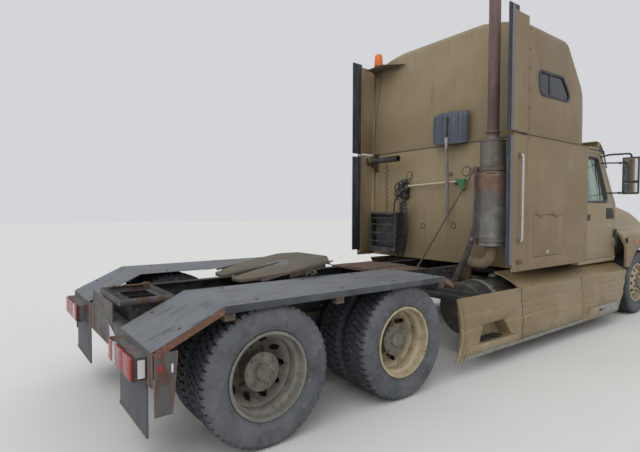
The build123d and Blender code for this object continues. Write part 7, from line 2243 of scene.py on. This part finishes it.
@dataclass
class CabTrim:
    """Doors' rubbers, handles and vents, mirrors' glass, windscreen surround and wipers."""

    half_w: float = 1060.0
    belt_z: float = 1690.0
    lean: float = 70.0 / 765.0
    window: tuple[Pair, ...] = ((1560, 1735), (2300, 1735), (2065, 2365), (1560, 2365))

    def leaned(self, form: Form, way: float) -> Form:
        """Moves a flat form, drawn round y = 0, on to the leaning side of the cab."""
        return form.shaped(
            lambda spot: (
                spot.x, way * (spot.y + self.half_w - self.lean * max(0.0, spot.z - self.belt_z)), spot.z
            )
        )

    def door(self, side: str, way: float) -> None:
        """Dresses one door.

        Args:
            side: Name of the side.
            way: 1 on the left and -1 on the right.
        """
        body = f"door_{side}"
        loop = rounded(list(self.window), [40.0, 60.0, 60.0, 40.0], 8)
        rubber = Form().plate([grown(loop, 13), grown(loop, -13)], side_place(-2), 13.0, 4.0)
        rubber.bar((2036, -12, 1740), (2052, -4, 2360))
        self.leaned(rubber, way).piece(f"door_window_rubber_{side}", STRIP_RUBBER, body, "rubber", smooth=45)
        handle = Form().plate([box_loop((1520, 1470), (1700, 1560), 22)], side_place(0.5), 4.0, 1.2)
        handle.plate([box_loop((1540, 1500), (1672, 1532), 12)], side_place(12), 9.0, 3.0)
        handle.bar((1545, 0, 1504), (1560, 10, 1528)).bar((1652, 0, 1504), (1667, 10, 1528))
        handle.turned([(11, 0), (12, 4), (8, 6), (0, 6)], (1688, 2, 1515), LEFTWARD, 18)
        handle.plate([box_loop((2226, 1493), (2446, 1652), 12)], side_place(1.5), 6.0, 1.5)
        for row in range(9):
            z = 1506 + row * 16.5
            handle.bar((2236, 3, z), (2436, 9, z + 8), Matrix.Rotation(0.35, 3, "X"))
        self.leaned(handle, way).piece(
            f"door_handle_{side}", MOULDED_BLACK, body, "black_plastic", round_by=1.0
        )
        crease = Form()
        for z, out in ((1385.0, 5.0), (1050.0, 5.0)):
            section = [(z + 20, -1), (z + 8, out), (z - 8, out), (z - 20, -1)]
            crease.skin(
                [[(x, o if 1490 < x < 2455 else -2, h) for h, o in section] for x in (1476, 1500, 2440, 2466)]
            )
        self.leaned(crease, way).piece(f"door_creases_{side}", TAN_ENAMEL, body, "body_paint", smooth=60)

    def mirror(self, side: str, way: float) -> None:
        """Glass of one mirror head, flat above and domed below, and the clamps of its arms."""
        glass = Form()
        for low, high in ((2030.0, 2352.0), (1868.0, 2010.0)):
            glass.plate([box_loop((1242, low), (1424, high), 22)], cross_place(2283.5), 4.0, 1.0)
        clamps = Form()
        for z in (1870.0, 2300.0):
            clamps.turned(
                [(10, -16), (16, -14), (16, 14), (10, 16)], (2325, 1190, z), LEFTWARD, 18, closed=True
            )
        clamps.tube(
            arc_route([(2140, 1001, 2390), (2250, 1080, 2424), (2322, 1332, 2424), (2322, 1332, 2366)], 40),
            13, 12
        )
        for form, name, finish, slot in (
            (glass, "mirror_glass", SILVERED, "glass"),
            (clamps, "mirror_clamps", MOULDED_BLACK, "black_plastic"),
        ):
            if way < 0:
                form.shaped(lambda spot: (spot.x, -spot.y, spot.z))
            form.piece(f"{name}_{side}", finish, f"door_{side}", slot, smooth=40)

    def edges(self) -> None:
        """Black gutter over each door, and the seal between the cab and the back of the hood."""
        form = Form().tube(
            arc_route(
                [(1356, 1066, 2455), (2080, 1064, 2462), (2215, 1016, 2420), (2330, 1010, 2240)], 120
            ), 9, 10
        )
        form.plate(
            [rounded([(2486, 1100), (2566, 1060), (2566, 1250), (2520, 1345), (2486, 1345)], 16, 4)],
            side_place(1085), 26.0, 5.0
        )
        for z in range(1110, 1330, 24):
            form.tube([(2490, 1087, z), (2562, 1087, z)], 5, 8)
        form.mirrored().piece("cab_edge_seals", STRIP_RUBBER, "chassis", "rubber", smooth=50)

    def screen(self) -> None:
        """Rubber round the windscreen, its middle post, and the two wipers."""
        foot_out, foot_in = (2566, 958, 1762), (2656, 14, 1762)
        head_in, head_out = (2262, 14, 2472), (2176, 890, 2472)
        rubber = Form().tube(arc_route([head_in, head_out, foot_out, foot_in], 30), 9, 10)
        rubber.tube([foot_in, head_in], 11, 10)
        rubber.mirrored().piece("windscreen_rubbers", STRIP_RUBBER, "chassis", "rubber", smooth=60)
        wipers = Form()
        for start, end in (((2640, 300, 1772), (2420, 240, 2180)), ((2640, -300, 1772), (2420, -360, 2180))):
            wipers.turned([(24, 0), (22, 14), (0, 18)], start, (0.8, 0, 0.6), 20)
            wipers.tube([start, end], 6, 8)
            tip = Vector(end)
            wipers.tube([tuple(tip + Vector((10, -90, -60))), tuple(tip + Vector((6, 190, 70)))], 6, 6)
        wipers.piece("wipers", MOULDED_BLACK, "chassis", "black_plastic")

    def build(self) -> None:
        """Dresses both sides and the windscreen."""
        for side, way in SIDES:
            self.door(side, way)
            self.mirror(side, way)
        self.edges()
        self.screen()


@dataclass
class HoodTrim:
    """Grille mesh, lamp bowls, indicators, latches, arch edges and side markers of the hood."""

    arch: tuple[float, float, float] = (3210.0, 486.0, 584.0)
    lamp_y: tuple[float, ...] = (800.0, 985.0)

    def front(self) -> None:
        """Mesh behind the grille bars, the lamps' bowls and rings, and the indicators."""
        mesh = Form()
        for y in range(-400, 401, 25):
            mesh.tube([(4276, y, 862), (4262, y, 1040), (4166, y, 1386)], 2.2, 6)
        for step in range(18):
            share = step / 17
            z = 870 + 510 * share
            x = 4275 - 14 * min(1.0, share * 2.8) - 96 * max(0.0, share - 0.36) / 0.64
            mesh.tube([(x, -405, z), (x, 405, z)], 2.2, 6)
        mesh.piece("grille_mesh", MOULDED_BLACK, "hood", "black_plastic")
        bowls, rings, ambers = Form(), Form(), Form()
        for y in self.lamp_y:
            spot, _ = touch("headlamps", (4800.0, y, 1040.0), BACKWARD)
            mouth = (spot[0] - 16, y, 1040.0)
            bowls.turned(
                [(78, 0), (74, -12), (58, -44), (34, -64), (14, -70), (0, -70)], mouth, FORWARD, 32
            )
            bowls.turned([(9, -68), (9, -34), (5, -28), (0, -28)], mouth, FORWARD, 14)
            rings.turned([(78, -4), (90, -4), (90, 3), (78, 3)], mouth, FORWARD, 32, closed=True)
        spot, _ = touch("headlamps", (4050.0, 1600.0, 1040.0), RIGHTWARD)
        ambers.plate([box_loop((3990, 965), (4080, 1115), 14)], side_place(spot[1] - 22), 14.0, 4.0)
        bowls.mirrored().piece("headlamp_bowls", SILVERED, "hood", "bright_steel", smooth=40)
        rings.mirrored().piece("headlamp_rings", MOULDED_BLACK, "hood", "black_plastic", smooth=40)
        ambers.mirrored().piece("indicator_lenses", AMBER_LENS, "hood", "beacon_plastic", smooth=40)

    def sides(self) -> None:
        """Rolled arch edges, black latches and the side markers."""
        x, z, reach = self.arch
        route = []
        for step in range(25):
            angle = math.radians(33 + 114 * step / 24)
            route.append((x + reach * math.cos(angle), 1213.0, z + reach * math.sin(angle)))
        roll = Form().tube(route, 11, 12)
        roll.mirrored().piece("hood_arch_rolls", TAN_ENAMEL, "hood", "body_paint", smooth=60)
        latch = Form()
        for _, way in SIDES:
            spot, _ = touch("hood", (2640.0, way * 1500, 1150.0), (0, -way, 0))
            latch.bar((2622, spot[1] - 4, 1090), (2658, spot[1] + 4, 1210))
            latch.tube(
                [
                    (2640, spot[1] + way * 9, 1110), (2640, spot[1] + way * 16, 1160),
                    (2640, spot[1] + way * 9, 1200)
                ],
                9, 10
            )
            latch.tube([(2606, spot[1] + way * 12, 1204), (2674, spot[1] + way * 12, 1204)], 8, 10)
        latch.piece("hood_latches", MOULDED_BLACK, "hood", "black_plastic", round_by=1.5, smooth=45)
        markers = Form()
        for _, way in SIDES:
            spot, out = touch("hood", (3000.0, way * 1500, 1150.0), (0, -way, 0))
            markers.turned([(34, -2), (32, 9), (20, 15), (0, 17)], spot, out, 24)
        markers.piece("hood_markers", AMBER_LENS, "hood", "beacon_plastic", smooth=50)

    def build(self) -> None:
        """Makes every piece of the hood."""
        self.front()
        self.sides()


@dataclass
class BumperTrim:
    """Fog lamps, tow eyes, bolts and tread plates of the bumper."""

    def build(self) -> None:
        """Makes the pieces, each set on the bumper's own face."""
        lamps, rims, fixings = Form(), Form(), Form()
        for _, way in SIDES:
            spot, out = touch("bumper", (4900.0, way * 1010, 470.0), BACKWARD)
            lamps.turned([(62, -6), (62, 3), (50, 8), (0, 11)], spot, out, 32)
            rims.turned([(62, -8), (76, -8), (78, 4), (70, 10), (62, 6)], spot, out, 32, closed=True)
            fixings.turned(
                [(18, -14), (30, -14), (30, 14), (18, 14)],
                (4366, way * 560, 470), LEFTWARD, 24, closed=True
            )
            for y in (250.0, 700.0, 860.0):
                for z in (320.0, 630.0):
                    spot, out = touch("bumper", (4900.0, way * y, z), BACKWARD)
                    fixings.bolts([(spot[0] - 6, spot[1], spot[2])], out, 13, 6, 20)
        lamps.piece("fog_lamp_lenses", CLEAR_LENS, "chassis", "clear_lens", smooth=40)
        rims.piece("fog_lamp_rims", MOULDED_BLACK, "chassis", "black_plastic", smooth=40)
        fixings.piece("bumper_fixings", ZINC_FASTENER, "chassis", "bright_steel", smooth=40)
        step = Form().plate(
            [
                box_loop((4010, 1020), (4120, 1172), 12),
                *(circle(7, (x, y), 10) for x in range(4030, 4110, 22) for y in range(1044, 1160, 22))
            ],
            flat_place(677), 4.0, 1.0,
        )
        step.mirrored().piece("bumper_treads", MILL_ALUMINIUM, "chassis", "bright_steel")


@dataclass
class ChassisKit:
    """Deck boards, rail bolts, air bags, brake chambers, air tanks, fuel tank straps and pipes."""

    axles: tuple[float, float] = (-2200.0, -3520.0)
    boards: tuple[tuple[float, float, float], ...] = ((-450, -155, 22), (-155, 185, 30), (185, 450, 18))

    def deck(self) -> None:
        """Boards behind the sleeper, each a little bowed, with sawn ends and nails."""
        form, nails = Form(), Form()
        for number, (low, high, thick) in enumerate(self.boards):
            rows = []
            for step in range(13):
                x = -1683 + 646 * step / 12
                bow = 1.6 * math.sin(step * 0.9 + number * 2)
                top = 932.3 + thick + 1.6 + bow
                rows.append([
                    (x, low + 1, 933), (x, low - 0.4 + bow * 0.3, top - 4),
                    (x, low + 3, top), (x, (low + high) / 2, top + 1.2),
                    (x, high - 3, top), (x, high - 0.6 + bow * 0.3, top - 4), (x, high - 1, 933),
                ])
            form.skin(rows).cap(rows[0]).cap(rows[-1])
            nails.bolts(
                [(x, y, 934.5 + thick) for x in (-1620, -1360, -1100) for y in (low + 50, high - 50)],
                UPWARD, 6, 2.5, 8
            )
        form.piece("deck_boards", DECK_BOARD, "chassis", "rusty_steel", smooth=30)
        nails.piece("deck_nails", RUSTED_PLATE, "chassis", "rusty_steel")

    def rails(self) -> None:
        """Bolt heads where brackets meet the rails, and the pipes clipped along them."""
        bolts = Form()
        for x in (
            -4120, -3980, -3660, -3380, -2860, -2340, -2060, -1790,
            -1180, -640, -180, 560, 1150, 1700, 2200, 2760, 3500, 4000
        ):
            for dx in (-45, 45):
                bolts.bolts([(x + dx, 432.5, z) for z in (715, 800, 885)], LEFTWARD, 13, 12)
        bolts.mirrored().piece("rail_bolts", CAST_STEEL, "chassis", "cast_steel")
        pipes = Form()
        for y, z in ((318, 850), (304, 826)):
            pipes.tube([(-4150, y, z), (-2600, y, z + 6), (-1100, y, z - 4), (1400, y, z)], 8, 8)
        pipes.mirrored().piece("rail_pipes", HOSE_NYLON, "chassis", "rubber")

    def springs(self) -> None:
        """Bellows over the air bags, brake chambers, dampers and the two air tanks."""
        bags, cans, dampers = Form(), Form(), Form()
        for x in self.axles:
            bag = [
                (96, 402), (112, 412), (121, 440), (124, 480), (119, 512),
                (119, 520), (125, 552), (125, 600), (119, 640), (100, 658)
            ]
            bags.turned(bag, (x - 460, 420, 0), UPWARD, 40)
            bags.turned(
                [(119, 514), (124, 510), (124, 522), (119, 518)],
                (x - 460, 420, 0), UPWARD, 40, closed=True
            )
            cans.turned(
                [
                    (0, 0), (40, 0), (76, 8), (82, 16), (82, 60), (90, 62),
                    (90, 72), (82, 74), (82, 128), (70, 142), (0, 146)
                ],
                (x + 232, 330, 640), (-1, 0, -0.25), 32,
            )
            cans.tube([(x + 110, 330, 606), (x + 40, 330, 560)], 11, 8)
            dampers.tube([(x - 250, 474, 470), (x - 300, 466, 640)], 28, 16)
            dampers.tube([(x - 300, 466, 640), (x - 330, 462, 720)], 20, 14)
        bags.mirrored().piece("air_bag_bellows", STRIP_RUBBER, "chassis", "rubber", smooth=45)
        cans.mirrored().piece("brake_chambers", CHASSIS_PAINT, "chassis", "frame_paint", smooth=40)
        dampers.mirrored().piece("dampers", CHASSIS_PAINT, "chassis", "frame_paint", smooth=40)
        tanks = Form()
        for x in (-2900.0, -4080.0):
            tanks.turned(
                [(0, -260), (60, -258), (92, -240), (96, -225), (96, 225), (92, 240), (60, 258), (0, 260)],
                (x, 0, 560), LEFTWARD, 36
            )
            for y in (-150, 150):
                tanks.turned(
                    [(97, -14), (100, -13), (100, 13), (97, 14)], (x, y, 560), LEFTWARD, 36, closed=True
                )
                tanks.bar((x - 8, y - 14, 655), (x + 8, y + 14, 720))
        tanks.piece("air_tanks", CHASSIS_PAINT, "chassis", "frame_paint", smooth=40)

    def fuel(self) -> None:
        """Straps and caps of the fuel tanks, and the radiator's core."""
        form = Form()
        for x in (-620.0, 480.0):
            form.turned(
                [(291, -30), (294, -28), (294, 28), (291, 30)], (x, 820, 540), FORWARD, 64, closed=True
            )
            form.bolts([(x, 1010, 762)], (0, 0.6, 0.8), 12, 30)
        form.turned([(58, 0), (58, 26), (52, 34), (0, 36)], (-180, 760, 822), (0, -0.2, 1), 28)
        form.mirrored().piece("tank_straps", MILL_ALUMINIUM, "chassis", "tank_aluminium", smooth=40)
        core = Form()
        for row in range(34):
            core.bar((3921, -330, 905 + row * 14.5), (3930, 330, 911 + row * 14.5))
        core.piece("radiator_core", SOILED_TANK, "chassis", "tank_aluminium")

    def build(self) -> None:
        """Makes every piece of the chassis."""
        self.deck()
        self.rails()
        self.springs()
        self.fuel()


@dataclass
class Cabin:
    """Seats with padded cushions, the mattress on its board, and the instrument panel."""

    seat_y: float = 480.0
    pressure: float = 4.0
    cap: float = 14.0
    frames: int = 20

    def pad(
        self, form: Form, name: str, finish: Finish, voxel: float = 13.0
    ) -> bpy.types.Object:
        """Swells a closed form into a stuffed pad.

        Args:
            form: The slack shape, a little smaller than the pad.
            name: Name of the piece.
            finish: Its cover.
            voxel: Size of the even mesh that is swollen, in millimetres.

        Returns:
            The padded piece.
        """
        made = form.piece(name, finish, "chassis", "trim_fabric", smooth=70)
        remesh = made.modifiers.new("even", "REMESH")
        remesh.mode = "VOXEL"
        remesh.voxel_size = voxel * MM
        self.apply(made)
        slack = [vert.co.copy() for vert in made.data.vertices]
        cloth = made.modifiers.new("stuffing", "CLOTH")
        cloth.settings.use_pressure = True
        cloth.settings.uniform_pressure_force = self.pressure
        cloth.settings.effector_weights.gravity = 0.0
        cloth.point_cache.frame_end = self.frames
        for number in range(1, self.frames + 1):
            bpy.context.scene.frame_set(number)
        self.apply(made)
        bpy.context.scene.frame_set(1)
        for vert, start in zip(made.data.vertices, slack):
            moved = vert.co - start
            if moved.length > self.cap * MM:
                vert.co = start + moved.normalized() * self.cap * MM
        finer = made.modifiers.new("finer", "SUBSURF")
        finer.levels = finer.render_levels = 1
        self.apply(made)
        made.data.shade_smooth()
        return made

    def apply(self, piece: bpy.types.Object) -> None:
        """Keeps what the modifiers make of a piece, and takes the modifiers off."""
        graph = bpy.context.evaluated_depsgraph_get()
        result = bpy.data.meshes.new_from_object(piece.evaluated_get(graph))
        piece.modifiers.clear()
        piece.data = result

    def sew(self, piece: bpy.types.Object, lines: tuple[float, ...], along: Axis, depth: float = 7.0) -> None:
        """Presses sewn channels into a pad.

        Args:
            piece: The pad.
            lines: Stations of the channels in millimetres.
            along: Axis that the stations are measured on.
            depth: Depth of each channel in millimetres.
        """
        normals = [vert.normal.copy() for vert in piece.data.vertices]
        for vert, out in zip(piece.data.vertices, normals):
            near = min(abs(vert.co[along.value] / MM - line) for line in lines)
            vert.co -= out * depth * MM * math.exp(-((near / 9.0) ** 2))

    def seats(self) -> None:
        """Pedestal with its folds, frame, side tube and padded cushions of both seats."""
        frames = Form()
        for _, way in SIDES:
            y = way * self.seat_y
            frames.bar((1415, y - 180, 996), (1690, y + 180, 1060)).bar(
                (1450, y - 140, 1060), (1650, y + 140, 1240)
            )
            for row in range(5):
                frames.bar((1440, y - 150, 1070 + row * 34), (1660, y + 150, 1088 + row * 34))
            frames.bar((1405, y - 235, 1262), (1815, y + 235, 1300))
            frames.tube([(1395, y + way * 236, 1330), (1760, y + way * 236, 1335)], 16, 12)
            frames.bar((1222, y - 205, 1420), (1262, y + 205, 1900), Matrix.Rotation(-0.12, 3, "Y"))
        frames.piece(
            "seat_frames", MOULDED_BLACK, "chassis", "black_plastic",
            round_by=8.0, smooth=45, replaces=("seats",)
        )
        for side, way in SIDES:
            y = way * self.seat_y
            cushion = Form().bar((1425, y - 228, 1318), (1822, y + 228, 1400))
            self.sew(
                self.pad(cushion, f"seat_cushion_{side}", SEAT_CLOTH), (y - 110, y + 110), Axis.ACROSS
            )
            back = Form().bar(
                (1330, y - 222, 1412), (1400, y + 222, 1830)
            ).bar((1336, y - 150, 1830), (1396, y + 150, 2010))
            back.shaped(lambda spot: (spot.x - 0.17 * (spot.z - 1400), spot.y, spot.z))
            self.sew(self.pad(back, f"seat_back_{side}", SEAT_CLOTH), (y - 110, y + 110), Axis.ACROSS)

    def berth(self) -> None:
        """Board and quilted mattress of the bunk."""
        board = Form().bar((-248, -1166, 1602), (518, 1166, 1640))
        board.piece("bunk_board", SAWN_BOARD, "chassis", "trim_fabric", round_by=3.0, replaces=("bunk",))
        mattress = Form().bar((-232, -1150, 1660), (540, 1150, 1792))
        padded = self.pad(mattress, "bunk_mattress", TICKING, 20.0)
        self.sew(padded, tuple(range(-1000, 1001, 250)), Axis.ACROSS, 9.0)

    def panel(self) -> None:
        """Dials of the instrument panel, with their rims."""
        dials, rims = Form(), Form()
        for y in (340.0, 480.0, 620.0):
            spot, out = touch("dashboard", (1500.0, y + 0.1, 1600.0), (1, 0, -0.05))
            dials.turned([(0, 1), (40, 1), (42, 0)], spot, out, 28)
            rims.turned([(42, -1), (48, -1), (48, 7), (42, 7)], spot, out, 28, closed=True)
        dials.piece("dials", PALE_STRIP, "chassis", "bright_steel")
        rims.piece("dial_rims", MOULDED_BLACK, "chassis", "black_plastic", smooth=40)

    def build(self) -> None:
        """Makes every piece inside the cab."""
        self.seats()
        self.berth()
        self.panel()


# Finish of each CAD node that stays in view, by the start of its name, and the bevel on its edges
# in millimetres.
NODE_FINISHES: tuple[tuple[str, Finish | Clear, float], ...] = (
    ("axles", CAST_STEEL, 0.0),
    ("bumper", TAN_ENAMEL, 4.0),
    ("cab_floor", BOX_STEEL, 0.0),
    ("cab_glass", CAB_GLASS, 0.0),
    ("cab_pillars", TAN_ENAMEL, 2.0),
    ("cab_roof", TAN_ENAMEL, 2.0),
    ("crossmembers", CHASSIS_PAINT, 2.0),
    ("dashboard", MOULDED_BLACK, 3.0),
    ("door_glass", CAB_GLASS, 0.0),
    ("door_", TAN_ENAMEL, 2.0),
    ("engine", CAST_STEEL, 4.0),
    ("extender_rubbers", STRIP_RUBBER, 1.5),
    ("fenders", FENDER_ENAMEL, 1.5),
    ("fifth_wheel_base", CAST_STEEL, 3.0),
    ("fifth_wheel_plate", COUPLING_TOP, 3.0),
    ("frame_rails", CHASSIS_PAINT, 2.0),
    ("grab_handles", POLISHED_TUBE, 0.0),
    ("headlamps", CLEAR_LENS, 1.5),
    ("hood", TAN_ENAMEL, 0.0),
    ("knuckle", CAST_STEEL, 2.0),
    ("luggage_door", TAN_ENAMEL, 2.0),
    ("mirror_", MOULDED_BLACK, 3.0),
    ("mud_flaps", FLAP_RUBBER, 1.0),
    ("rear_beam", BEAM_ENAMEL, 1.5),
    ("side_extenders", TAN_ENAMEL, 2.0),
    ("skirts", SKIRT_ENAMEL, 2.0),
    ("sleeper", TAN_ENAMEL, 2.0),
    ("suspension", CAST_STEEL, 2.0),
    ("tanks", SOILED_TANK, 0.0),
)


def dress_nodes() -> None:
    """Gives every CAD node that is still shown its material, smooth curves and soft edges."""
    for name, node in sorted(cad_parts.items()):
        if node.hide_render:
            continue
        found = [row for row in NODE_FINISHES if name.startswith(row[0])]
        if not found:
            log.warning("no finish for %s", name)
            continue
        _, finish, width = max(found, key=lambda row: len(row[0]))
        node.data.materials.clear()
        node.data.materials.append(finish.material())
        node.data.shade_smooth()
        node.data.set_sharp_from_angle(angle=math.radians(32))
        if width:
            weld = node.modifiers.new("weld", "WELD")
            weld.merge_threshold = 0.00005
            soften(node, width)


def main() -> None:
    """Builds each part of the vehicle in order and dresses the CAD nodes that stay."""
    logging.basicConfig(level=logging.INFO, format="%(message)s")
    Viewpoint().build()
    AirLines().build()
    Studio().build()
    tyre, wheel = Tyre(), DiscWheel()
    for axle, x in (("front_drive", -2200.0), ("rear_drive", -3520.0)):
        for side, way in SIDES:
            hubs = [(x, way * y, 486.0) for y in (748.0, 1078.0)]
            tyre.build(f"{axle}_tyre_pair_{side}", hubs, f"{axle}_wheel_{side}", f"{axle}_tyres_{side}")
            enamel, slot = (CREAM_WHEEL, "cream_rim") if axle == "front_drive" else (GREY_WHEEL, "grey_rim")
            wheel.build_twin(
                f"{axle}_wheel_{side}", x, way, f"{axle}_wheel_{side}", f"{axle}_rims_{side}", enamel, slot
            )
    for side, way in SIDES:
        hub = (3210.0, way * 1040.0, 486.0)
        tyre.build(f"steer_wheel_tyre_{side}", [hub], f"steer_wheel_{side}", f"steer_tyre_{side}")
        wheel.build_steer(f"steer_wheel_{side}", 3210.0, way, f"steer_wheel_{side}", f"steer_rim_{side}")
    for assembly in (
        SideSkirts(), Exhaust(), RearWallKit(), RearEnd(), Coupling(),
        SleeperTrim(), CabTrim(), HoodTrim(), BumperTrim(),
        ChassisKit(), Cabin(),
    ):
        log.info("building %s", type(assembly).__name__)
        assembly.build()
    dress_nodes()


if __name__ == "__main__":
    main()
